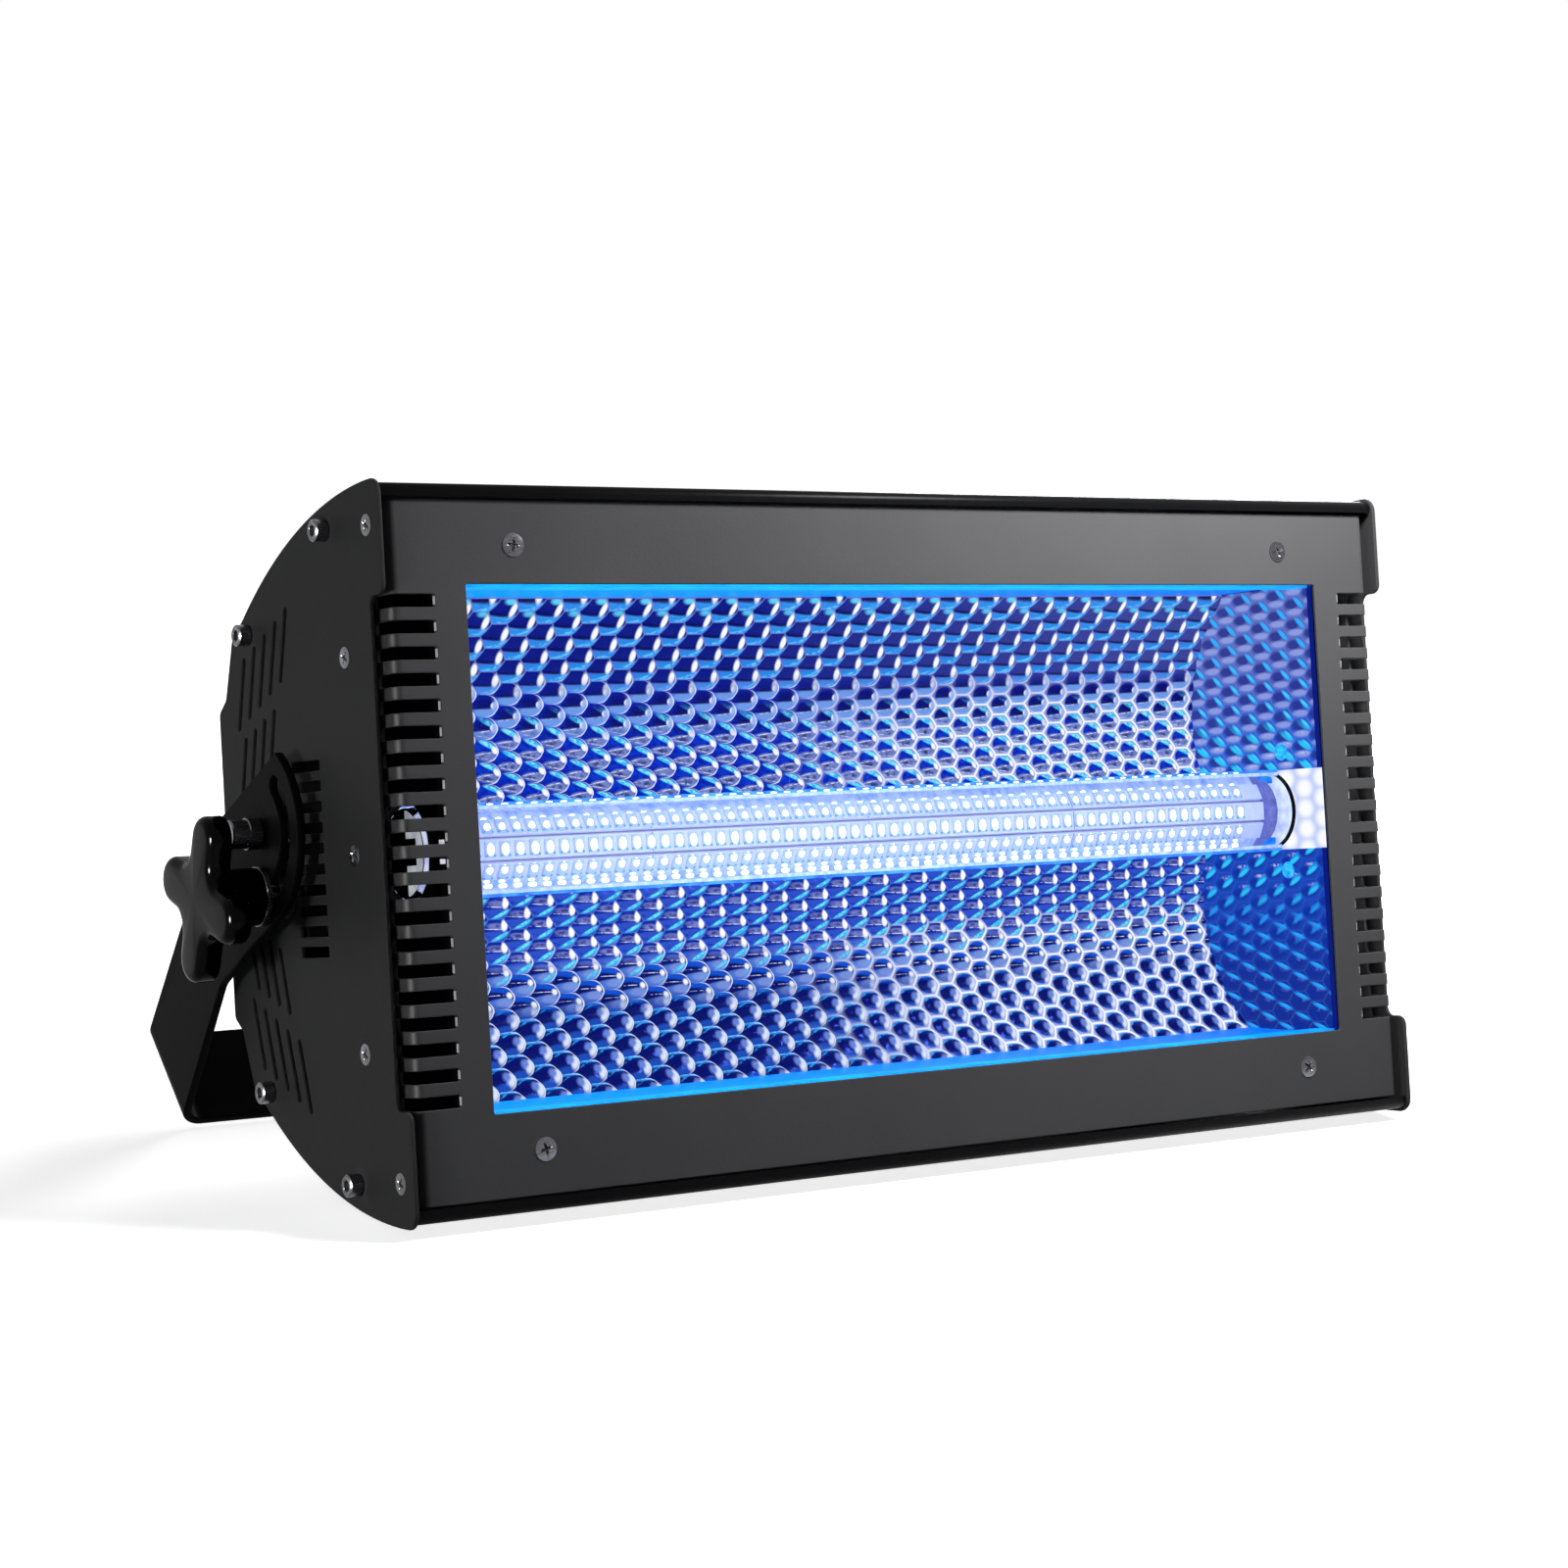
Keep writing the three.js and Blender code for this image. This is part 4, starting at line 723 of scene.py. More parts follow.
@dataclass
class Workshop:
    """Finishes, fits and counts the pieces."""

    frame: dict[str, object]
    made: dict[str, bpy.types.Material] = field(default_factory=dict)
    pieces: int = 0

    def material(self, finish: Finish) -> bpy.types.Material:
        """Makes a finish's material the first time and hands out the same one after that.

        Args:
            finish: The finish.

        Returns:
            Its material.
        """
        if finish.name not in self.made:
            self.made[finish.name] = finish.material()
        return self.made[finish.name]

    def fit(
        self,
        name: str,
        mesh: Mesh,
        finish: Finish,
        placed: Matrix | None = None,
        replaces: Sequence[str] = (),
        body: Body = Body.HEAD,
        sharp: float = 32.0,
    ) -> bpy.types.Object:
        """Places a mesh drawn in head millimetres, shades it, finishes it and hangs it on its body.

        Args:
            name: The piece's name.
            mesh: The mesh.
            finish: Its finish.
            placed: How the mesh's own axes lie in the head's frame.
            replaces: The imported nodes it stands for.
            body: The moving body it rides on.
            sharp: The angle above which an edge stays crisp, in degrees.

        Returns:
            The new object.
        """
        if placed:
            mesh.transform(placed)
            if placed.determinant() < 0:
                mesh.flip_normals()
        mesh.transform(HEAD.matrix())
        crisp = [edge.index for edge in mesh.edges if edge.use_edge_sharp]
        mesh.shade_smooth()
        mesh.set_sharp_from_angle(angle=math.radians(sharp))
        for index in crisp:
            mesh.edges[index].use_edge_sharp = True
        mesh.materials.clear()
        mesh.materials.append(self.material(finish))
        piece = bpy.data.objects.new(name, mesh)
        bpy.context.scene.collection.objects.link(piece)
        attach(piece, body.value)
        if replaces:
            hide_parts(*replaces)
        self.pieces += 1
        LOG.info("%s: %d faces, %s", name, len(mesh.polygons), finish.name)
        return piece

    def dress(self, names: Iterable[str], finish: Finish, edge: float = 0.3, sharp: float = 32.0) -> None:
        """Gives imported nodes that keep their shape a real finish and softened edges.

        Args:
            names: The nodes.
            finish: Their finish.
            edge: The width of the softened edges in millimetres.
            sharp: The angle above which an edge is softened, in degrees.
        """
        for name in names:
            node = self.frame["nodes"][name]
            node.data.materials.clear()
            node.data.materials.append(self.material(finish))
            weld = node.modifiers.new("weld", "WELD")
            weld.merge_threshold = 0.01 * MM
            bevel = node.modifiers.new("edge", "BEVEL")
            bevel.width = edge * MM
            bevel.segments = 2
            bevel.limit_method = "ANGLE"
            bevel.angle_limit = math.radians(sharp)
            bevel.harden_normals = True
            LOG.info("%s: kept, %s", name, finish.name)


# Real sheet steel is painted, so its colour comes from the paint and its highlights from a thin clear skin.
# Bezel: mid grey in the light, with a fine peel that breaks its wide highlight up.
POWDER = CoatedMetal(
    "powder_coated_steel_fine_texture", "powder_coated_steel", "#474749", "#4f4f51", 0.5, 0.03
)
# Cheeks and rear: the bezel's powder made darker, a painted shade that makes the sides fall back behind the
# face, with a satin gloss.
CHEEK_POWDER = CoatedMetal(
    "powder_coated_steel_satin", "powder_coated_steel", "#373738", "#3f3f40", 0.45, 0.015
)
# Yoke: nearly black, darker than the sheet beside it.
YOKE_POWDER = CoatedMetal(
    "powder_coated_plate_black", "powder_coated_steel", "#0e0e0f", "#131313", 0.42, 0.008
)
# Inside: black paint made dead black, a painted shade that makes slots and gaps look deep.
INNER_BLACK_AND_SHADE = CoatedMetal(
    "powder_coated_steel_black_inside", "powder_coated_steel", "#09090a", "#0d0d0e", 0.6, 0.02
)
# Covers: wet paint, glossier and with a longer wave than powder, so that they mirror the room softly.
GLOSS_ENAMEL = CoatedMetal(
    "wet_painted_steel_gloss",
    "gloss_black_steel",
    "#070708",
    "#0b0b0c",
    0.32,
    0.03,
    peel_mm=3.0,
    peel_depth=0.02,
)
# Inner ends of the slots: near-white strips, a painted highlight where the cut faces catch the light.
SLOT_END_HIGHLIGHT = CoatedMetal("laser_cut_edge_thinly_coated", "powder_coated_steel", "#e6e6e8", "#b4b4b6", 0.4, 0.5)
# Connectors and fans: dull black with the tool's grain.
NYLON = MouldedPlastic("moulded_nylon_black", "black_plastic", "#0f0f10", 0.42)
# Knobs and display: a polished tool leaves narrow, sharp highlights on black.
GLOSS_ABS = MouldedPlastic(
    "moulded_abs_gloss_black", "gloss_black_plastic", "#070708", 0.1, specular=0.03, grain_depth=0.01
)
# Gasket and buttons: soft and matt beside the glass.
RUBBER = MouldedPlastic("moulded_silicone_rubber_black", "black_rubber", "#0c0c0d", 0.7, specular=0.25)
# Electronics seen through the slots: a dark green with a slight shine.
GREEN_BOARD = MouldedPlastic("solder_mask_green", "green_circuit_board", "#0f4a2c", 0.3, specular=0.5)
# Window: coated against reflections, so that it hardly shows in front of the light.
WINDOW_GLASS = ClearSheet("float_glass_coated", "clear_glass", "#fbfdff", 1.02)
# Tube: clear, with just enough bending of the view to make its rim show.
ACRYLIC = ClearSheet("drawn_acrylic_clear", "clear_acrylic", "#fafcff", 1.06)
# Cap and pivot screws: dark oiled metal with bright turned rims.
BLACK_OXIDE = WorkedMetal("black_oxide_turned_steel", "black_oxide_steel", "#6e6e72", "#2a2a2c", 0.24, 0.35)
# Countersunk screws: the same steel a little brighter and glossier, so that their crosses catch the light.
SCREW_BLACK = WorkedMetal("black_zinc_turned_steel", "black_oxide_steel", "#7c7c82", "#1c1c1e", 0.18, 0.3)
# Carrier and power supply: pale brushed metal.
ALUMINIUM = WorkedMetal("brushed_aluminium_sheet", "bare_aluminium", "#d3d5d8", "#a9adb2", 0.34)
# Ledges: bright sheet with a painted cyan glow for the blue strips' light, deeper towards the right.
LEDGE_GLOW = LitSurface(
    "bright_aluminium_flooded_cyan", "bright_reflector", "#06a8f8", "#0a74ec", 0.6, drift=(-0.15, 0.1)
)
# Blue strips: cyan solder mask with a painted glow, unevenly bright in patches.
BLUE_BOARD = LitSurface(
    "solder_mask_flooded_cyan", "blue_led_board", "#18a8fa", "#0a84e8", 0.9, patch_mm=14.0
)
# White strips: a painted lavender glow for the mixed light, well under the LEDs' white.
WHITE_BOARD = LitSurface(
    "solder_mask_white_flooded_lavender", "white_led_board", "#c3c9f8", "#a3aeee", 0.39, patch_mm=3.0
)
# Wings and rails beside the strips: polished metal with painted glow and painted reflections in white and
# blue flecks, longer along the tube.
LIT_WING = LitSurface(
    "polished_aluminium_flooded_white", "bare_aluminium", "#f4faff", "#7f9eec", 0.46, 2.2, (1.0, 0.5, 0.5)
)
# The sheet between the reflectors: a painted blue glow with long pale painted reflections.
LIT_VALLEY = LitSurface(
    "bright_aluminium_flooded_blue", "bright_reflector", "#5f8ef0", "#0c2fb8", 0.9, 5.0, (0.4, 2.0, 2.0)
)
# Collars and the boards' seams: dark nylon with a painted lavender glow for the light around it.
COLLAR = LitSurface("moulded_nylon_in_blue_light", "black_plastic", "#7078b4", "#484e8c", 0.75, 3.0)
# Collars' edges: painted cyan light, where the blue strips reach them.
COLLAR_EDGE = LitSurface("moulded_nylon_edge_in_cyan_light", "black_plastic", "#1c96f4", "#0a4fd8", 0.9, 2.0)
# Plugs in the tube's ends: clear plastic with a painted white glow.
LIT_PLUG = LitSurface("moulded_acrylic_plug_flooded_white", "clear_acrylic", "#eef2ff", "#9aa8e0", 0.85, 5.0)
# Rivets on the end sheets: small plated heads with a painted cyan glint.
LIT_RIVET = LitSurface("plated_rivet_flooded_cyan", "zinc_plated_steel", "#3cd4fc", "#1460d4", 0.9, 1.6)
# The tube's caps behind the slots: bare metal with a painted grey glow for stray light.
STRAY_LIT_METAL = LitSurface(
    "bare_aluminium_in_stray_light", "bare_aluminium", "#c4c8d0", "#82868e", 0.8, 7.0
)
# Cable ties: natural nylon with a painted pale glow, the palest thing behind the slots.
CABLE_TIE = LitSurface(
    "moulded_nylon_natural_in_stray_light", "white_led_board", "#e8ecf4", "#b0b4c0", 0.85, 2.0
)
# Rails' outer edges: a painted blue glow in a line along the tube, above and below it.
RAIL_EDGE = LitSurface(
    "drawn_acrylic_rail_in_blue_light", "clear_acrylic", "#58b4f8", "#1c50d0", 0.85, 3.0, (0.5, 1.0, 1.0)
)
# LED packages: pale ceramic with a painted glow, a shade bluer than their board.
LED_BODY = LitSurface("led_ceramic_package_flooded", "white_led_board", "#b4c4f2", "#8fa4dc", 0.37, 1.5)
# Solder beside each package: small blue-grey specks of painted glow that set the LEDs apart.
LED_PAD = LitSurface("solder_fillet_tin", "zinc_plated_steel", "#6fa2c4", "#447a9c", 0.7, 0.6)
# The lit LEDs: clipped white, the brightest thing in view.
LED_LENS = LitSurface("led_phosphor_lit", "white_led_board", "#ffffff", "#f4f2ff", 2.2, 1.0)

Band = tuple[float, float, float, float]


def since(start: float, full: float) -> Band:
    """A range that fades in between two places and never ends."""
    return start, full, math.inf, math.inf


def until(full: float, end: float) -> Band:
    """A range that holds from the very start and fades out between two places."""
    return -math.inf, -math.inf, full, end


class Form(Enum):
    """The outline of a glint in a dimple."""

    OVAL = "oval"
    RIM = "rim"
    OUTSIDE = "outside"
    CRESCENT = "crescent"


@dataclass(frozen=True)
class Glint:
    """A painted patch of reflected light in every dimple of the reflector, in shares of a dimple's height.

    Rows are shares of the way down the sheet and reach is in tenths of a metre along X; each is a range that
    fades in between its first two numbers and out between its last two.
    """

    colour: str
    at: Point = (0.0, 0.0)
    half: Point = (9.0, 9.0)
    turn: float = 0.0
    soft: float = 0.3
    rows: Band = (-math.inf, -math.inf, math.inf, math.inf)
    reach: Band = (-math.inf, -math.inf, math.inf, math.inf)
    weight: float = 1.0
    streak_mm: float = 0.0
    form: Form = Form.OVAL


@dataclass(frozen=True)
class DimpledMirror(Finish):
    """Vacuum-metallised dimpled sheet: each dome glows with its own small painted picture of the lit tube and
    ledges.
    """

    base_left: str
    base_right: str
    glints: tuple[Glint, ...]
    tiled: bool = False
    span: Point = (-0.4, 1.5)
    bite: float = 0.15
    bite_edge: Point = (0.97, 1.06)
    streak_edge: Point = (0.4, 0.56)

    def sockets(self) -> dict[str, object]:
        """A dark metal under the painted glow."""
        return {"Base Color": linear("#060a28"), "Metallic": 1.0, "Roughness": 0.2, "Emission Strength": 1.0}

    def vary(self, tree: Tree, shader: Node) -> None:
        """Lays the painted glints one over another, by the sheet's own maps, on a base that drifts across it.

        Args:
            tree: The node tree.
            shader: The shader to feed.
        """
        cell = add_node(tree, "UVMap", uv_map="cell").outputs[0]
        if self.tiled:
            cell = self.tile(tree, cell)
        place = add_node(tree, "UVMap", uv_map="place").outputs[0]
        across = add_node(tree, "SeparateXYZ", links={0: place})
        limits = {"From Min": self.span[0], "From Max": self.span[1]}
        ramp = add_node(tree, "MapRange", limits, {"Value": across.outputs[0]}).outputs[0]
        ends = {6: linear(self.base_left), 7: linear(self.base_right)}
        colour = add_node(tree, "Mix", ends, {0: ramp}, data_type="RGBA").outputs[2]
        border = self.border(tree, cell)
        for glint in self.glints:
            colour = self.lay(tree, glint, colour, (cell, border), across)
        tree.links.new(colour, shader.inputs["Emission Color"])

    def tile(self, tree: Tree, flat: Socket) -> Socket:
        """Turns a running map into the place in the nearest six-sided dimple, for a flat dimpled sheet.

        Args:
            tree: The node tree.
            flat: The running map.

        Returns:
            The place in the dimple, from its middle.
        """
        half = (math.sqrt(3) / 2, 0.5, 1.0)
        wrap = {1: half, 2: tuple(-c for c in half)}
        nearest, away = [], []
        for start in ((0.0, 0.0, 0.0), half):
            moved = add_node(tree, "VectorMath", {1: start}, {0: flat}, operation="SUBTRACT").outputs[0]
            folded = add_node(tree, "VectorMath", wrap, {0: moved}, operation="WRAP").outputs[0]
            level = add_node(tree, "VectorMath", {1: (1.0, 1.0, 0.0)}, {0: folded}, operation="MULTIPLY")
            nearest.append(level.outputs[0])
            length = add_node(tree, "VectorMath", links={0: nearest[-1]}, operation="LENGTH")
            away.append(length.outputs["Value"])
        second = add_node(tree, "Math", links={0: away[1], 1: away[0]}, operation="LESS_THAN").outputs[0]
        choice = {0: second, 4: nearest[0], 5: nearest[1]}
        return add_node(tree, "Mix", links=choice, data_type="VECTOR").outputs[1]

    def border(self, tree: Tree, cell: Socket) -> Socket:
        """How near a point is to its dimple's six-sided border: 0 in the middle and 1 on the border.

        Args:
            tree: The node tree.
            cell: The place in the dimple.

        Returns:
            The nearness.
        """
        size = add_node(tree, "VectorMath", links={0: cell}, operation="ABSOLUTE").outputs[0]
        level = add_node(tree, "SeparateXYZ", links={0: size}).outputs[1]
        slope = {1: (math.sqrt(3) / 2, 0.5, 0)}
        slant = add_node(tree, "VectorMath", slope, {0: size}, operation="DOT_PRODUCT").outputs["Value"]
        widest = add_node(tree, "Math", links={0: level, 1: slant}, operation="MAXIMUM").outputs[0]
        return add_node(tree, "Math", {1: 2.0}, {0: widest}, operation="MULTIPLY").outputs[0]

    def cover(self, tree: Tree, glint: Glint, cell: tuple[Socket, Socket]) -> Socket:
        """How strongly a glint covers each point of a dimple, before it fades over the sheet.

        Args:
            tree: The node tree.
            glint: The glint.
            cell: The place in the dimple, and the nearness to its border.

        Returns:
            A factor from 0 to the glint's weight.
        """
        if glint.form is Form.RIM:
            away = cell[1]
            limits = (1 - glint.half[0] - glint.soft, 1 - glint.half[0])
        else:
            lie = {"Location": (*glint.at, 0.0), "Scale": (*glint.half, 1.0)}
            lie["Rotation"] = (0.0, 0.0, math.radians(glint.turn))
            local = add_node(tree, "Mapping", lie, {"Vector": cell[0]}, vector_type="TEXTURE").outputs[0]
            away = add_node(tree, "VectorMath", links={0: local}, operation="LENGTH").outputs["Value"]
            limits = (1 + glint.soft, 1 - glint.soft)
            if glint.form is Form.OUTSIDE:
                limits = limits[::-1]
        fade = {"From Min": limits[0], "From Max": limits[1], "To Max": glint.weight}
        if glint.form is not Form.CRESCENT:
            shown = add_node(tree, "MapRange", fade, {"Value": away}, interpolation_type="SMOOTHSTEP")
            return shown.outputs[0]
        shift = {1: (-self.bite, 0.0, 0.0)}
        bite = add_node(tree, "VectorMath", shift, {0: local}, operation="DISTANCE").outputs["Value"]
        edge = {"From Min": self.bite_edge[0], "From Max": self.bite_edge[1]}
        inner = add_node(tree, "MapRange", edge, {"Value": bite}).outputs[0]
        outer = add_node(tree, "MapRange", fade, {"Value": away}).outputs[0]
        return add_node(tree, "Math", links={0: inner, 1: outer}, operation="MULTIPLY").outputs[0]

    def lay(
        self, tree: Tree, glint: Glint, under: Socket, cell: tuple[Socket, Socket], place: Node
    ) -> Socket:
        """Lays one glint over what is there.

        Args:
            tree: The node tree.
            glint: The glint.
            under: The colour so far.
            cell: The place in the dimple, and the nearness to its border.
            place: The place on the sheet, taken apart: X in tenths of a metre, share of the way down.

        Returns:
            The colour with the glint.
        """
        factors = [self.cover(tree, glint, cell)]
        for source, band in ((place.outputs[0], glint.reach), (place.outputs[1], glint.rows)):
            for low, high in (band[:2], band[:1:-1]):
                if math.isfinite(low):
                    fade = {"From Min": low, "From Max": high}
                    smooth = add_node(
                        tree, "MapRange", fade, {"Value": source}, interpolation_type="SMOOTHSTEP"
                    )
                    factors.append(smooth.outputs[0])
        if glint.streak_mm:
            edge = {"From Min": self.streak_edge[0], "From Max": self.streak_edge[1]}
            grain = noise(tree, glint.streak_mm, 2.0)
            factors.append(add_node(tree, "MapRange", edge, {"Value": grain}).outputs[0])
        strength = factors[0]
        for factor in factors[1:]:
            strength = add_node(tree, "Math", links={0: strength, 1: factor}, operation="MULTIPLY").outputs[0]
        tint = {7: linear(glint.colour)}
        return add_node(tree, "Mix", tint, {0: strength, 6: under}, data_type="RGBA").outputs[2]


RIM, OUTSIDE, CRESCENT = Form.RIM, Form.OUTSIDE, Form.CRESCENT
TOP_ROWS = until(0.36, 0.48)
MIDDLE_ROWS = (0.36, 0.48, 0.6, 0.7)
INNER_ROWS = since(0.58, 0.7)
# Painted bright rims show only where the sheet would see the right end's light.
RIMMED = since(-0.2, 0.7)
# Upper trough: deep blue domes with painted reflections of the cyan ledges above and the white LEDs below.
UPPER_MIRROR = DimpledMirror(
    "vacuum_metallised_dimpled_sheet_upper",
    "bright_reflector",
    "#0c187c",
    "#3c4494",
    (
        Glint("#0a22a8", rows=since(0.3, 0.6)),
        Glint("#0c36c4", (-0.1, 0.2), (0.4, 0.24), rows=since(0.5, 0.7), streak_mm=2.0),
        Glint("#0a1070", (-0.05, 0.16), (0.36, 0.2), soft=0.4, rows=MIDDLE_ROWS),
        Glint("#4a6cd8", (0.0, -1.56), (1.7, 1.5), soft=0.03, rows=until(0.66, 0.78)),
        Glint("#6f9ae6", (0.02, -0.26), (0.42, 0.2), soft=0.2, rows=MIDDLE_ROWS),
        Glint("#2a88e4", (0.12, -0.36), (0.56, 0.26), soft=0.3, rows=TOP_ROWS),
        Glint("#2f8ce6", (0.0, -1.6), (1.7, 1.5), soft=0.03, rows=until(0.06, 0.3)),
        Glint("#6cccf8", (0.12, -0.3), (0.36, 0.06), turn=22, soft=0.6, rows=TOP_ROWS, streak_mm=1.6667),
        Glint("#58c4fc", (-0.05, -0.42), (0.34, 0.06), turn=8, soft=0.6, rows=TOP_ROWS, streak_mm=1.6667),
        Glint("#3ca0f4", (-0.1, -0.18), (0.34, 0.03), soft=0.6, rows=until(0.1, 0.2), streak_mm=1.6667),
        Glint("#5cd4fc", (0.1, 0.42), (0.2, 0.08), soft=0.5, rows=until(0.05, 0.1)),
        Glint("#100c34", (-0.12, -0.05), (0.44, 0.06), soft=0.7, rows=until(0.62, 0.7), weight=0.85),
        Glint("#1a40c0", half=(0.54, 0.54), soft=0.06, rows=MIDDLE_ROWS, form=OUTSIDE),
        Glint("#7486c6", (-0.02, -0.24), (0.38, 0.19), turn=-8, soft=0.25, rows=INNER_ROWS),
        Glint("#3a3c7c", (-0.06, -0.26), (0.24, 0.1), soft=0.6, rows=INNER_ROWS, streak_mm=2.381),
        Glint(
            "#e8e8f4", (-0.1, -0.12), (0.36, 0.02), turn=10, soft=0.7, rows=since(0.5, 0.6), streak_mm=1.25
        ),
        Glint("#c8d4f4", (-0.1, -0.34), (0.3, 0.02), turn=-14, soft=0.7, rows=INNER_ROWS, streak_mm=1.25),
        Glint("#30b4f4", (0.1, 0.28), (0.33, 0.13), turn=-32, soft=0.25, rows=since(0.5, 0.64)),
        Glint(
            "#8ceafc", (0.08, 0.3), (0.3, 0.1), turn=-32, soft=0.5, rows=since(0.5, 0.64), streak_mm=1.4286
        ),
        Glint("#fafcff", (0.34, 0.02), (0.13, 0.17), turn=24, soft=0.35, rows=INNER_ROWS),
        Glint("#f8fbff", (0.27, 0.12), (0.14, 0.25), turn=-8, soft=0.35, rows=TOP_ROWS),
        Glint("#ffffff", (0.27, 0.04), (0.1, 0.13), soft=0.35, rows=MIDDLE_ROWS),
        Glint("#9cb4f0", (0.36, 0.06), (0.12, 0.24), turn=-14, soft=0.5, rows=MIDDLE_ROWS),
        Glint("#e4ecff", half=(0.53, 0.5), turn=-12, soft=0.03, rows=since(0.3, 0.44), form=CRESCENT),
        Glint("#6c84dc", half=(0.02, 0.0), soft=0.05, rows=TOP_ROWS, weight=0.8, form=RIM),
        Glint("#a8b8ec", half=(0.42, 0.42), soft=0.1, rows=since(0.4, 0.6), reach=RIMMED, form=OUTSIDE),
        Glint("#4c6cd4", half=(0.1, 0.0), soft=0.1, rows=since(0.4, 0.6), reach=RIMMED, weight=0.5, form=RIM),
        Glint("#f6f8ff", half=(0.06, 0.0), soft=0.07, rows=since(0.38, 0.6), reach=RIMMED, form=RIM),
    ),
)
# Lower trough: the same painted reflections the other way up, deeper blue.
LOWER_MIRROR = DimpledMirror(
    "vacuum_metallised_dimpled_sheet_lower",
    "bright_reflector",
    "#0c186c",
    "#14247c",
    (
        Glint("#0b2a98", rows=since(0.45, 0.65)),
        Glint("#1450cc", (-0.08, 0.34), (0.42, 0.16), turn=-12, soft=0.4, rows=MIDDLE_ROWS),
        Glint("#0a1264", (-0.24, 0.0), (0.3, 0.24), soft=0.4, rows=until(0.6, 0.7)),
        Glint("#2c80e0", (0.0, 0.44), (0.46, 0.12), soft=0.3, rows=until(0.36, 0.5)),
        Glint("#7cdcfc", (0.0, 0.42), (0.34, 0.04), turn=-8, soft=0.6, rows=until(0.3, 0.42), streak_mm=1.25),
        Glint("#2e9cf0", (-0.2, 0.3), (0.22, 0.04), turn=30, soft=0.6, rows=TOP_ROWS, streak_mm=1.4286),
        Glint("#1c4cb4", (-0.1, -0.4), (0.34, 0.12), soft=0.5, rows=TOP_ROWS),
        Glint("#4c72d0", (0.0, -1.56), (1.7, 1.5), soft=0.03, rows=(0.36, 0.5, 0.66, 0.76)),
        Glint("#7690d8", (0.08, -0.24), (0.34, 0.18), soft=0.3, rows=MIDDLE_ROWS),
        Glint("#3050c4", (0.0, -1.5), (1.7, 1.5), soft=0.03, rows=INNER_ROWS),
        Glint("#1c3cb0", (-0.3, -0.3), (0.24, 0.06), turn=-20, soft=0.6, rows=INNER_ROWS, streak_mm=2.0),
        Glint("#7480c8", (-0.02, 0.2), (0.32, 0.14), turn=-8, soft=0.3, rows=INNER_ROWS),
        Glint("#3c3c84", (-0.06, 0.22), (0.22, 0.08), soft=0.6, rows=INNER_ROWS, streak_mm=2.381),
        Glint(
            "#e8ecfc", (-0.08, 0.08), (0.34, 0.018), turn=-4, soft=0.7, rows=since(0.4, 0.5), streak_mm=1.25
        ),
        Glint("#30bcf0", (0.16, -0.28), (0.35, 0.11), turn=32, soft=0.25, rows=since(0.5, 0.64)),
        Glint(
            "#7ce8fc", (0.14, -0.27), (0.3, 0.07), turn=32, soft=0.5, rows=since(0.5, 0.64), streak_mm=1.25
        ),
        Glint("#dce6fa", (0.29, -0.1), (0.15, 0.3), turn=-24, soft=0.35, rows=TOP_ROWS),
        Glint("#6884d6", (0.14, 0.0), (0.14, 0.2), turn=-30, soft=0.5, rows=TOP_ROWS),
        Glint("#f4f8ff", (0.28, 0.06), (0.12, 0.14), turn=-10, soft=0.4, rows=MIDDLE_ROWS),
        Glint("#ffffff", (0.29, 0.22), (0.14, 0.24), turn=-8, soft=0.3, rows=INNER_ROWS),
        Glint("#e4ecff", half=(0.53, 0.5), turn=14, soft=0.03, rows=until(0.68, 0.78), form=CRESCENT),
        Glint("#5878dc", half=(0.02, 0.0), soft=0.05, rows=INNER_ROWS, weight=0.7, form=RIM),
        Glint("#a8b8ec", half=(0.42, 0.42), soft=0.1, rows=until(0.55, 0.72), reach=RIMMED, form=OUTSIDE),
        Glint(
            "#4c6cd4", half=(0.1, 0.0), soft=0.1, rows=until(0.55, 0.72), reach=RIMMED, weight=0.5, form=RIM
        ),
        Glint("#f6f8ff", half=(0.06, 0.0), soft=0.07, rows=until(0.6, 0.8), reach=RIMMED, form=RIM),
    ),
)
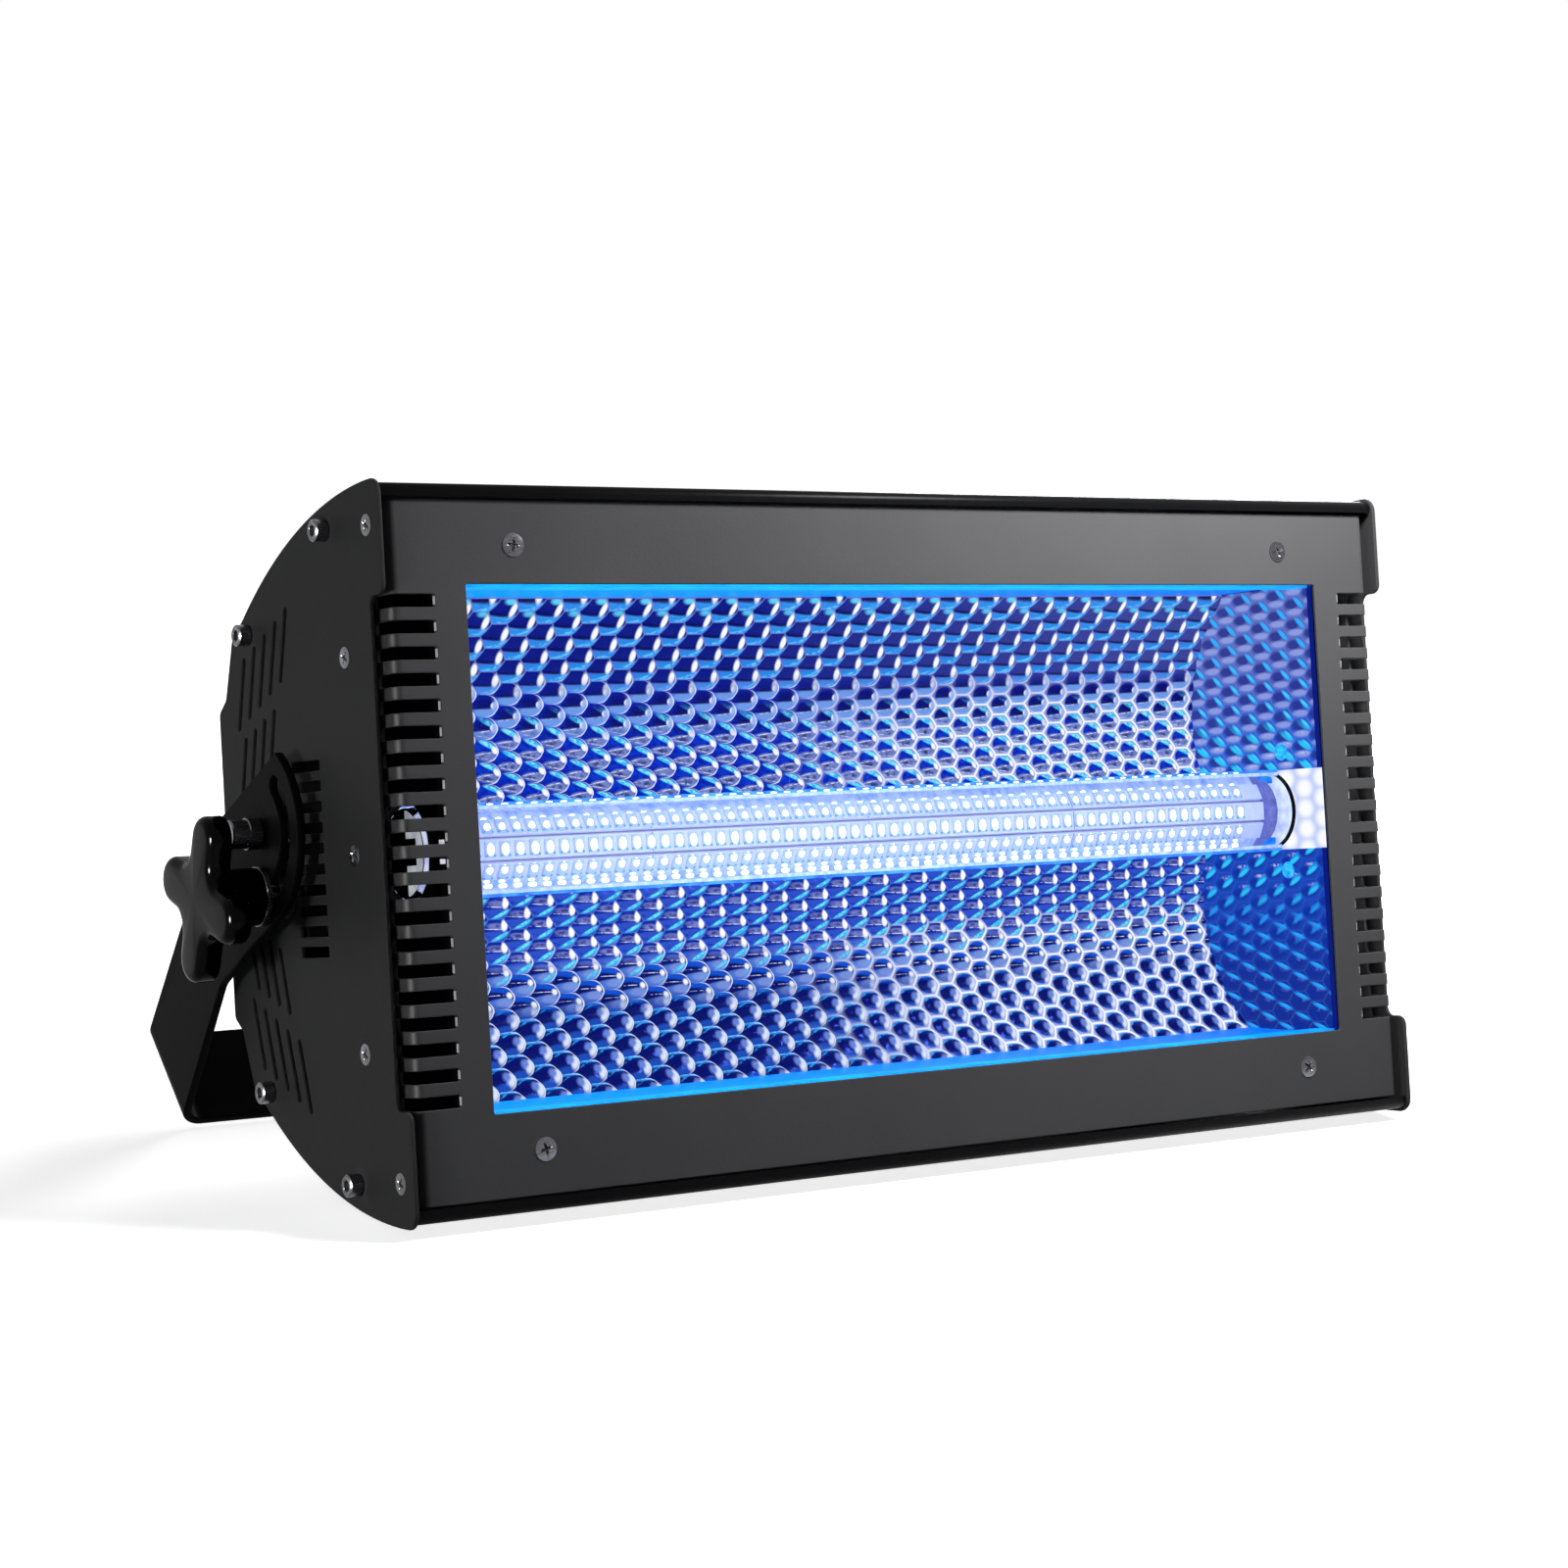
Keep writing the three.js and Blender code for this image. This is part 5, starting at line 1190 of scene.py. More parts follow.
# End sheets: flat dimples with painted reflections that repeat both troughs,
# with the tube's painted white band between them.
UPPER_END = until(0.41, 0.412)
LOWER_END = since(0.588, 0.59)
END_BAND = (0.41, 0.412, 0.588, 0.59)
END_PANEL = DimpledMirror(
    "vacuum_metallised_dimpled_end_sheet",
    "bright_reflector",
    "#3448b0",
    "#4c5cb8",
    (
        Glint("#666eb4", rows=until(0.1, 0.3), weight=0.7),
        Glint("#1c5cd4", rows=(0.2, 0.42, 0.5, 0.51), weight=0.8),
        Glint("#1a44b4", rows=since(0.5, 0.51)),
        Glint("#182c84", rows=since(0.66, 0.95), weight=0.9),
        Glint("#243088", (-0.1, 0.1), (0.32, 0.24), soft=0.3, rows=UPPER_END, weight=0.85),
        Glint("#98a6e6", (0.05, -0.3), (0.4, 0.16), soft=0.4, rows=UPPER_END, weight=0.8),
        Glint("#0c2c98", (-0.1, -0.1), (0.36, 0.26), soft=0.3, rows=LOWER_END, weight=0.8),
        Glint("#5068c4", (0.16, 0.12), (0.2, 0.14), soft=0.5, rows=LOWER_END, weight=0.8, streak_mm=2.5),
        Glint(
            "#b4bce8", (0.1, -0.26), (0.22, 0.08), soft=0.6, rows=(0.3, 0.36, 0.41, 0.412), streak_mm=1.6667
        ),
        Glint(
            "#b4bce8", (0.1, 0.26), (0.22, 0.08), soft=0.6, rows=(0.588, 0.59, 0.64, 0.7), streak_mm=1.6667
        ),
        Glint("#30b0ff", (0.26, 0.14), (0.32, 0.1), turn=-52, soft=0.4, rows=UPPER_END),
        Glint("#58d8fc", (0.24, 0.18), (0.2, 0.05), turn=-48, soft=0.6, rows=(0.1, 0.3, 0.41, 0.412)),
        Glint("#2cc4f8", (0.12, 0.12), (0.34, 0.12), turn=-40, soft=0.4, rows=(0.28, 0.36, 0.41, 0.412)),
        Glint("#1a90ec", (0.16, 0.1), (0.34, 0.1), turn=46, soft=0.4, rows=(0.588, 0.59, 0.74, 0.84)),
        Glint("#30c8f8", (0.14, -0.04), (0.32, 0.1), turn=38, soft=0.4, rows=(0.588, 0.59, 0.66, 0.74)),
        Glint("#2094f8", (0.1, 0.26), (0.38, 0.1), turn=-26, soft=0.4, rows=since(0.7, 0.8)),
        Glint("#30b0f8", (0.14, 0.28), (0.24, 0.04), turn=-26, soft=0.6, rows=since(0.7, 0.8)),
        Glint("#5c84e4", half=(0.02, 0.0), soft=0.08, rows=UPPER_END, weight=0.6, form=RIM),
        Glint("#2858c8", half=(0.02, 0.0), soft=0.08, rows=LOWER_END, weight=0.6, form=RIM),
        Glint("#c4d0f6", rows=END_BAND),
        Glint("#ffffff", half=(0.36, 0.44), soft=0.5, rows=END_BAND),
        Glint("#081a78", reach=until(0.118, 0.124), rows=UPPER_END),
        Glint("#081a78", reach=until(0.118, 0.124), rows=LOWER_END),
    ),
    tiled=True,
    span=(0.1, 0.6),
)


@dataclass
class Reflectors:
    """The two dimpled troughs, each a triangular lattice whose every sixth point is the crown of a dome."""

    front: Point = (61.0, 86.0)
    valley: Point = (81.5, 15.5)
    sag: float = 11.5
    thickness: float = 2.4
    half_x: float = 186.7
    column: float = 9.0
    rows: int = 18
    fine: int = 6
    height: float = 1.7

    def trough(self, share: float) -> tuple[Point, Point]:
        """A point of the trough's section and its outward normal; the share runs evenly down its height.

        Args:
            share: How far down its height the point lies, from 0 to 1.

        Returns:
            The point and the normal, each as (y, z).
        """
        start, end = Vector(self.front), Vector(self.valley)
        chord = end - start
        half = chord.length / 2
        radius = (half**2 + self.sag**2) / (2 * self.sag)
        side = Vector((-chord.y, chord.x)).normalized()
        centre = (start + end) / 2 + side * (self.sag - radius)
        level = start.y + (end.y - start.y) * share - centre.y
        spoke = Vector((math.sqrt(radius**2 - level**2), level))
        return tuple(centre + spoke), tuple(spoke.normalized())

    def mesh(self, name: str, flip: bool) -> Mesh:
        """Builds one trough with its dome field and two maps: the place in the dome, and on the sheet.

        Args:
            name: The mesh's name.
            flip: Whether this is the lower trough.

        Returns:
            The mesh in head millimetres.
        """
        lines = self.rows * self.fine
        step = self.column / (1.5 * self.fine)
        count = math.floor(self.half_x / step)
        points: list[Triple] = []
        places: list[Point] = []
        grid: list[list[int]] = []
        for line in range(lines + 1):
            (y, z), (out_y, out_z) = self.trough(line / lines)
            shift = 0.5 * (line % 2)
            inner = [(k + shift) * step for k in range(-count + 1, count)]
            grid.append([])
            for x in [-self.half_x, *inner, self.half_x]:
                lift = self.lift(x, line) * min(1.0, line / 2, (lines - line) / 2)
                grid[-1].append(len(points))
                points.append((x, y - out_y * lift, z - out_z * lift))
                places.append((x, line / self.fine))
        faces: list[tuple[int, ...]] = []
        for line, (upper, lower) in enumerate(zip(grid, grid[1:])):
            for k in range(len(upper) - 1):
                a, b, c, d = upper[k], upper[k + 1], lower[k], lower[k + 1]
                faces += [(a, c, d), (a, d, b)] if line % 2 else [(a, c, b), (b, c, d)]
        front_count = len(faces)
        back: list[tuple[int, int]] = []
        for line in range(0, lines + 1, self.fine):
            (y, z), (out_y, out_z) = self.trough(line / lines)
            back.append((len(points), len(points) + 1))
            for x in (-self.half_x, self.half_x):
                points.append((x, y + out_y * self.thickness, z + out_z * self.thickness))
                places.append((x, line / self.fine))
        for k, ((a, b), (c, d)) in enumerate(zip(back, back[1:])):
            rim = grid[k * self.fine : (k + 1) * self.fine + 1]
            faces += [(a, b, d, c), (a, c, *(row[0] for row in rim[::-1])), (d, b, *(row[-1] for row in rim))]
        faces += [(*back[0][::-1], *grid[0]), (*back[-1], *reversed(grid[-1]))]
        at = np.array(points)
        if flip:
            at[:, 2] *= -1
            faces = [tuple(reversed(face)) for face in faces]
        mesh = mesh_from(name, at, faces)
        self.map(mesh, np.array(places), front_count, -1 if flip else 1)
        return mesh

    def lift(self, x: float, line: int) -> float:
        """How far the domed field stands proud of the trough at one lattice point.

        Args:
            x: Where the point lies along X.
            line: Its line of the lattice.

        Returns:
            The height in millimetres.
        """
        row, centre = line / self.fine, round(x / self.column)
        best = min(
            math.hypot(x / self.column - column, (row - near) / math.sqrt(3)) * 1.5
            for column in (centre - 1, centre, centre + 1)
            for near in (math.floor(row), math.ceil(row))
            if (near + column) % 2 == 0
        )
        return self.height * max(0.0, 1 - best**2)

    def map(self, mesh: Mesh, places: np.ndarray, front_count: int, up: int) -> None:
        """Writes the two maps, face by face, so that each face belongs to one dome.

        Args:
            mesh: The trough's mesh.
            places: X and the row of dimples at each point.
            front_count: How many faces belong to the dimpled side.
            up: 1 where the rows count downwards, -1 where they count upwards.
        """
        cell, place = (mesh.uv_layers.new(name=name) for name in ("cell", "place"))
        for face in mesh.polygons:
            ids = list(face.vertices)
            x, row = places[ids].mean(axis=0)
            column, near = 0, 0
            if face.index < front_count:
                about = round(x / self.column)
                _, column, near = min(
                    (math.hypot(x / self.column - a, (row - b) / math.sqrt(3)), a, b)
                    for a in range(about - 1, about + 2)
                    for b in range(math.floor(row) - 1, math.ceil(row) + 2)
                    if (a + b) % 2 == 0
                )
            for k, index in zip(face.loop_indices, ids):
                here_x, here_row = places[index]
                beside = (here_x / self.column - column) * math.sqrt(3) / 2
                cell.data[k].uv = (beside, up * (near - here_row) / 2)
                place.data[k].uv = (here_x / 100, here_row / self.rows)

    def build(self, shop: Workshop) -> None:
        """Builds both troughs, with their plain backs painted black.

        Args:
            shop: What fits and dresses the pieces.
        """
        for word, flip, finish in (("upper", False, UPPER_MIRROR), ("lower", True, LOWER_MIRROR)):
            name = f"reflector_{word}_dimpled"
            piece = shop.fit(name, self.mesh(name, flip), finish, replaces=[f"reflector_{word}"], sharp=25.0)
            piece.data.materials.append(shop.material(INNER_BLACK_AND_SHADE))
            for face in piece.data.polygons:
                face.material_index = int(len(face.vertices) == 4)


@dataclass
class HeadProfile:
    """The head's side outline, shared by the cheeks and the covers."""

    half_height: float = 119.0
    arch_radius: float = 181.0
    arch_end: float = 107.0
    shoulder: Point = (117.3, 77.4)
    waist: Point = (125.0, 57.2)
    back: Point = (131.0, 53.0)

    def arch(self, radius: float, start_y: float) -> Outline:
        """The top arch from near the front to the shoulder, at a radius."""
        centre = (0.0, self.half_height - self.arch_radius)
        return arc(centre, radius, math.acos(start_y / radius), math.acos(self.arch_end / radius), 40)


@dataclass
class Cheeks:
    """The two side plates: arched top and bottom, a step in at the front, three groups of vents a side.

    A leaning vent group holds its count, where its first slot's top lies, the step from slot to slot and
    where the slot runs; the comb holds its count, place, length, height, pitch and top.
    """

    profile: HeadProfile = field(default_factory=HeadProfile)
    middle_x: float = 213.25
    sheet: float = 1.5
    corner: float = 5.5
    notch_half: float = 81.7
    notch_depth: float = 9.4
    notch_radius: float = 3.6
    slot_width: float = 2.4
    outer_vent: tuple[float, ...] = (5, 72.8, 83.2, 8.8, -3.5, 6.4, -22.3)
    inner_vent: tuple[float, ...] = (4, 85.6, 50.2, 8.0, -2.7, 5.4, -20.5)
    comb: tuple[float, ...] = (10, 52.6, 21.1, 3.6, 6.82, 32.5)
    screw_hole: float = 2.3
    pivot_hole: float = 3.3
    clamp_hole: float = 6.0

    def outline(self) -> Outline:
        """The whole side outline, drawn above mid height and mirrored below it.

        Returns:
            The outline, as (y, z).
        """
        upper = [
            (self.notch_depth, self.notch_half, self.notch_radius),
            (0, self.notch_half, self.notch_radius),
            (0, self.profile.half_height, self.corner),
            *self.profile.arch(self.profile.arch_radius, self.corner * 2),
            (*self.profile.shoulder, 4),
            (*self.profile.waist, 3),
            (*self.profile.back, 3),
        ]
        return rounded([*upper, *((y, -z, *radius) for y, z, *radius in reversed(upper))])

    def vents(self) -> list[Outline]:
        """The leaning slots above and below, and the comb of level ones between them.

        Returns:
            One outline for each slot, as (y, z).
        """
        found = []
        for count, y, z, step_y, step_z, run_y, run_z in (self.outer_vent, self.inner_vent):
            for k in range(int(count)):
                top = (y + k * step_y, z + k * step_z)
                upper = slot_outline(top, (top[0] + run_y, top[1] + run_z), self.slot_width)
                found += [upper, below(upper)]
        count, y, length, height, pitch, top_z = self.comb
        tops = [top_z - k * pitch for k in range(int(count))]
        return found + [rectangle((y, top - height), (y + length, top)) for top in tops]

    def build(self, shop: Workshop) -> None:
        """Builds both cheeks with their fixings' holes.

        Args:
            shop: What fits and dresses the pieces.
        """
        fixings = [circle(at, self.screw_hole, 24) for at in CAP_SCREWS]
        pivots = [circle(PIVOT, self.pivot_hole, 24), circle(CLAMP, self.clamp_hole, 32)]
        holes = [*self.vents(), *fixings, *pivots]
        for side in Side:
            name = f"cheek_plate_{side.word}"
            plate = Sheet(self.outline(), self.sheet, holes, edge=0.35).mesh(name)
            placed = Matrix.Translation((side.value * self.middle_x, 0, 0)) @ SIDE_AXES
            shop.fit(name, plate, CHEEK_POWDER, placed, [f"side_cheek_{side.word}"])


@dataclass
class Covers:
    """The top and bottom covers: one bent sheet each, with a lip turned down at the front."""

    profile: HeadProfile = field(default_factory=HeadProfile)
    proud: float = 1.5
    sheet: float = 1.5
    lip_y: float = 1.0
    lip_depth: float = 4.6
    bend: float = 3.0
    hem: float = 9.0
    half_x: float = 212.2

    def outline(self) -> Outline:
        """The section of the sheet: lip, arch and the hem along the shoulder.

        Returns:
            The outline, as (y, z).
        """
        outer = self.profile.arch_radius - self.proud
        outer_arch = self.profile.arch(outer, self.lip_y + self.bend * 2)
        inner_arch = self.profile.arch(outer - self.sheet, self.lip_y + self.bend * 2)
        top = self.profile.half_height - self.proud
        foot = top - self.lip_depth
        last = Vector(outer_arch[-1])
        shoulder = self.profile.shoulder
        slope = Vector((shoulder[0] - self.profile.arch_end, shoulder[1] - last.y)).normalized()
        end = last + slope * self.hem
        inward = Vector((slope.y, -slope.x)) * self.sheet
        inner_y = self.lip_y + self.sheet
        inside = [(inner_y, foot), (inner_y, top - self.sheet, self.bend - self.sheet), *inner_arch]
        outside = [*reversed(outer_arch), (self.lip_y, top, self.bend)]
        return rounded([(self.lip_y, foot), *inside, tuple(end + inward), tuple(end), *outside])

    def build(self, shop: Workshop) -> None:
        """Builds both covers.

        Args:
            shop: What fits and dresses the pieces.
        """
        for word, outline in (("top", self.outline()), ("bottom", below(self.outline()))):
            name = f"{word}_cover_sheet"
            sheet = Sheet(outline, self.half_x * 2, edge=0.3).mesh(name)
            shop.fit(name, sheet, GLOSS_ENAMEL, SIDE_AXES, [f"{word}_cover"])


@dataclass
class Bezel:
    """The front frame: one folded sheet whose ventilation slots run over the bend at each end."""

    face_y: float = 2.9
    sheet: float = 1.5
    half_height: float = 112.3
    fold: Fold = field(default_factory=lambda: Fold(206.6, 2.75))
    flange: float = 16.5
    window: Point = (182.6, 85.1)
    slot_count: int = 20
    slot_pitch: float = 8.4
    slot_height: float = 4.2
    slot_from: float = 194.0
    slot_to: float = 218.52

    def levels(self) -> list[float]:
        """The height of each slot's middle."""
        return [(k - (self.slot_count - 1) / 2) * self.slot_pitch for k in range(self.slot_count)]

    def blank(self) -> Sheet:
        """The flat sheet before it is folded, with the window and the two ladders of slots.

        Returns:
            The sheet.
        """
        half = self.fold.flat_to + self.fold.arc_length + self.flange
        holes = [box_outline((0, 0), self.window, 0.8)]
        middle, reach = (self.slot_from + self.slot_to) / 2, (self.slot_to - self.slot_from) / 2
        for z in self.levels():
            for side in Side:
                holes.append(box_outline((side.value * middle, z), (reach, self.slot_height / 2), 0.9))
        return Sheet(box_outline((0, 0), (half, self.half_height), 1.2), self.sheet, holes, edge=0.3)

    def lips(self, side: Side) -> Mesh:
        """Near-white strips at the inner ends of one ladder's slots: a painted highlight on the cut faces.

        Args:
            side: The ladder's end of the light.

        Returns:
            The mesh of all of them.
        """
        x = side.value * (self.slot_from + 0.04)
        half = (0.07, self.slot_height / 2 - 0.7)
        faces = [Sheet(box_outline((x, z), half, 0.03), self.sheet - 0.4).mesh("lip") for z in self.levels()]
        return joined(f"bezel_slot_lips_{side.word}", faces)

    def build(self, shop: Workshop) -> None:
        """Cuts, folds and fits the bezel.

        Args:
            shop: What fits and dresses the pieces.
        """
        blank = self.blank().mesh("bezel_folded_sheet")
        self.fold.bend(blank)
        placed = Matrix.Translation((0, self.face_y + self.sheet / 2, 0)) @ FACE_AXES
        shop.fit("bezel_folded_sheet", blank, POWDER, placed, ["front_bezel"])
        for side in Side:
            shop.fit(f"bezel_slot_lips_{side.word}", self.lips(side), SLOT_END_HIGHLIGHT, placed)


@dataclass
class YokeFrame:
    """The yoke: a strap and two shaped arms folded from one 3 mm plate, with a curved clamping slot."""

    rest: float = math.radians(-42)
    sheet: float = 3.0
    reach: float = 126.5
    bend_reach: float = 119.0
    strap_half: float = 20.0
    fold: Fold = field(default_factory=lambda: Fold(214.0, 7.5, steps=14))
    head_radius: float = 30.8
    tip: float = math.radians(164)
    arch_end: float = math.radians(290)
    neck: Triple = (33.2, -21.0, 7.0)
    waist: Triple = (62.1, -12.1, 7.0)
    heel: Triple = (28.0, 28.7, 7.0)
    slot_radius: float = 21.0
    slot_width: float = 7.0
    slot_from: float = math.radians(175.5)
    slot_to: float = math.radians(347.5)
    pivot_hole: float = 3.4
    strap_holes: tuple[Point, ...] = ((0, 6.5), (40, 5.2), (-40, 5.2))

    def arm(self) -> Outline:
        """One arm's edge in (reach, offset), from the strap's back corner round to its front one.

        Returns:
            The edge's points.
        """
        head = arc((0, 0), self.head_radius, self.tip, self.arch_end, 40)
        back, front = (self.bend_reach, self.strap_half), (self.bend_reach, -self.strap_half)
        return rounded([back, self.heel, *head, self.neck, self.waist, front])

    def slot(self) -> Outline:
        """The curved slot in (reach, offset), with round ends.

        Returns:
            The outline.
        """
        half = self.slot_width / 2

        def end(angle: float, start: float) -> Outline:
            """One round end, from an angle of its own."""
            at = (self.slot_radius * math.cos(angle), self.slot_radius * math.sin(angle))
            return arc(at, half, start, start + math.pi, 10)[1:-1]

        outer = arc((0, 0), self.slot_radius + half, self.slot_from, self.slot_to, 40)
        inner = arc((0, 0), self.slot_radius - half, self.slot_to, self.slot_from, 40)
        last = end(self.slot_from, self.slot_from + math.pi)
        return [*outer, *end(self.slot_to, self.slot_to), *inner, *last]

    def blank(self, outline: Outline, side: Side) -> Outline:
        """Lays an outline of one arm on the flat plate."""
        along = self.fold.flat_to + self.fold.arc_length + self.bend_reach
        return [(side.value * (along - reach), offset) for reach, offset in outline]

    def build(self, shop: Workshop) -> None:
        """Cuts, folds and fits the yoke.

        Args:
            shop: What fits and dresses the pieces.
        """
        edge = [*self.blank(self.arm(), Side.RIGHT), *reversed(self.blank(self.arm(), Side.LEFT))]
        holes = [circle((x, 0), radius) for x, radius in self.strap_holes]
        for side in Side:
            holes += [self.blank(hole, side) for hole in (self.slot(), circle((0, 0), self.pivot_hole))]
        plate = Sheet(edge, self.sheet, holes, edge=0.45).mesh("yoke_folded_plate")
        self.fold.bend(plate)
        cos, sin = math.cos(self.rest), math.sin(self.rest)
        across = (0, -sin, cos, PIVOT[0] + self.reach * cos)
        along = (0, cos, sin, PIVOT[1] + self.reach * sin)
        placed = Matrix(((1, 0, 0, 0), across, along, (0, 0, 0, 1)))
        shop.fit("yoke_folded_plate", plate, YOKE_POWDER, placed, ["yoke"], Body.YOKE)


@dataclass
class ClampKnobs:
    """The four-lobed clamping knobs, moulded in one with their hubs, and the washers under them.

    The turned profiles are (distance from the arm, radius).
    """

    arm_x: float = 223.0
    start: float = 15.5
    end: float = 24.5
    reach: float = 28.8
    lobe_radius: float = 8.2
    spread: float = math.radians(79)
    valley: Triple = (14.5, 0.9, math.radians(12.6))
    turn: float = math.radians(20)
    edge: Point = (3.0, 2.8)
    back_edge: float = 1.5
    crown: float = 0.3
    hub: tuple[Point, ...] = (
        *((2.2, 0), (2.2, 8.9), (2.6, 9.7), (14.0, 9.7)),
        *((15.1, 10.3), (16.6, 12), (16.6, 0)),
    )
    rim: tuple[Point, ...] = ((0.3, 0), (0.3, 9.9), (0.45, 10), (1.05, 10), (1.15, 9.5))
    rim_end: tuple[Point, ...] = ((1.35, 9.5), (1.45, 10), (2.05, 10), (2.2, 9.8), (2.2, 0))
    stud: tuple[Point, ...] = ((-16, 0), (-16, 2.4), (-15.5, 2.9), (0.3, 2.9), (0.3, 0))

    def outline(self, count: int = 240, passes: int = 6) -> np.ndarray:
        """The outline about the knob's own axis, evenly spaced and smoothed.

        Args:
            count: How many points it has.
            passes: How many times it is smoothed.

        Returns:
            The points, one to a row.
        """
        middle = self.reach - self.lobe_radius
        points: Outline = []
        for k in range(4):
            angle = self.turn + math.tau * k / 4
            tip = (middle * math.cos(angle), middle * math.sin(angle))
            points += arc(tip, self.lobe_radius, angle - self.spread, angle + self.spread, 14)
            reach, rise, spread = self.valley
            for step in (-1, 0, 1):
                turn = angle + math.pi / 4 + step * spread
                far = reach + abs(step) * rise
                points.append((far * math.cos(turn), far * math.sin(turn)))
        loop = np.array([*points, points[0]])
        run = np.concatenate([[0], np.cumsum(np.linalg.norm(np.diff(loop, axis=0), axis=1))])
        even = np.linspace(0, run[-1], count, endpoint=False)
        smooth = np.stack([np.interp(even, run, loop[:, axis]) for axis in (0, 1)], axis=1)
        for _ in range(passes):
            smooth = (np.roll(smooth, 1, 0) + smooth * 2 + np.roll(smooth, -1, 0)) / 4
        return smooth

    def grip(self, name: str) -> Mesh:
        """The lobed grip: rounded over at the front, less so at the back, slightly crowned.

        Args:
            name: The mesh's name.

        Returns:
            The mesh.
        """
        loop = self.outline()
        tangent = np.roll(loop, -1, 0) - np.roll(loop, 1, 0)
        inward = np.stack([-tangent[:, 1], tangent[:, 0]], axis=1)
        inward /= np.linalg.norm(inward, axis=1)[:, None]
        wide, deep = self.edge
        count = len(loop)

        def ring(flat: np.ndarray, height: float) -> np.ndarray:
            """A loop at a height."""
            return np.column_stack([flat, np.full(count, height)])

        rings: list[np.ndarray] = []
        for angle in (share * QUARTER for share in (0.0, 0.4, 0.75, 1.0)):
            inset = inward * self.back_edge * (1 - math.sin(angle))
            rings.append(ring(loop + inset, self.start + self.back_edge * (1 - math.cos(angle))))
        shoulder = self.end - self.crown
        for angle in (QUARTER * k / 8 for k in range(9)):
            inset = inward * wide * (1 - math.cos(angle))
            rings.append(ring(loop + inset, shoulder - deep * (1 - math.sin(angle))))
        last = rings[-1][:, :2]
        dome = ((0.72, 0.16), (0.42, 0.26), (0.16, 0.3))
        rings += [ring(last * shrink, shoulder + rise) for shrink, rise in dome]
        points = np.concatenate([*rings, [[0, 0, self.end]], [[0, 0, self.start]]])
        top, foot = len(points) - 2, len(points) - 1
        faces: list[tuple[int, ...]] = []
        for low in range(0, (len(rings) - 1) * count, count):
            for k in range(count):
                after = (k + 1) % count
                faces.append((low + k, low + after, low + count + after, low + count + k))
        base = (len(rings) - 1) * count
        faces += [(base + k, base + (k + 1) % count, top) for k in range(count)]
        faces += [((k + 1) % count, k, foot) for k in range(count)]
        return mesh_from(name, points, faces)

    def build(self, shop: Workshop) -> None:
        """Builds both knobs; each is one moulding with a turned hub, washer and stud behind it.

        Args:
            shop: What fits and dresses the pieces.
        """
        for side, body in ((Side.LEFT, Body.KNOB_LEFT), (Side.RIGHT, Body.KNOB_RIGHT)):
            name = f"clamp_knob_moulding_{side.word}"
            moulding = joined(name, [self.grip("grip"), Turning(self.hub, 48).mesh("hub")])
            placed = side.flip() @ Way.RIGHT.at(self.arm_x, *CLAMP)
            turned = placed @ Matrix.Rotation(QUARTER, 4, "Z")
            shop.fit(name, moulding, GLOSS_ABS, turned, [f"clamp_knob_{side.word}"], body, sharp=40)
            stud = Turning(self.stud, 24).mesh("stud")
            washer = Turning((*self.rim, *self.rim_end), 48).mesh("washer")
            name = f"clamp_washer_and_stud_{side.word}"
            shop.fit(name, joined(name, [washer, stud]), BLACK_OXIDE, placed, (), body)


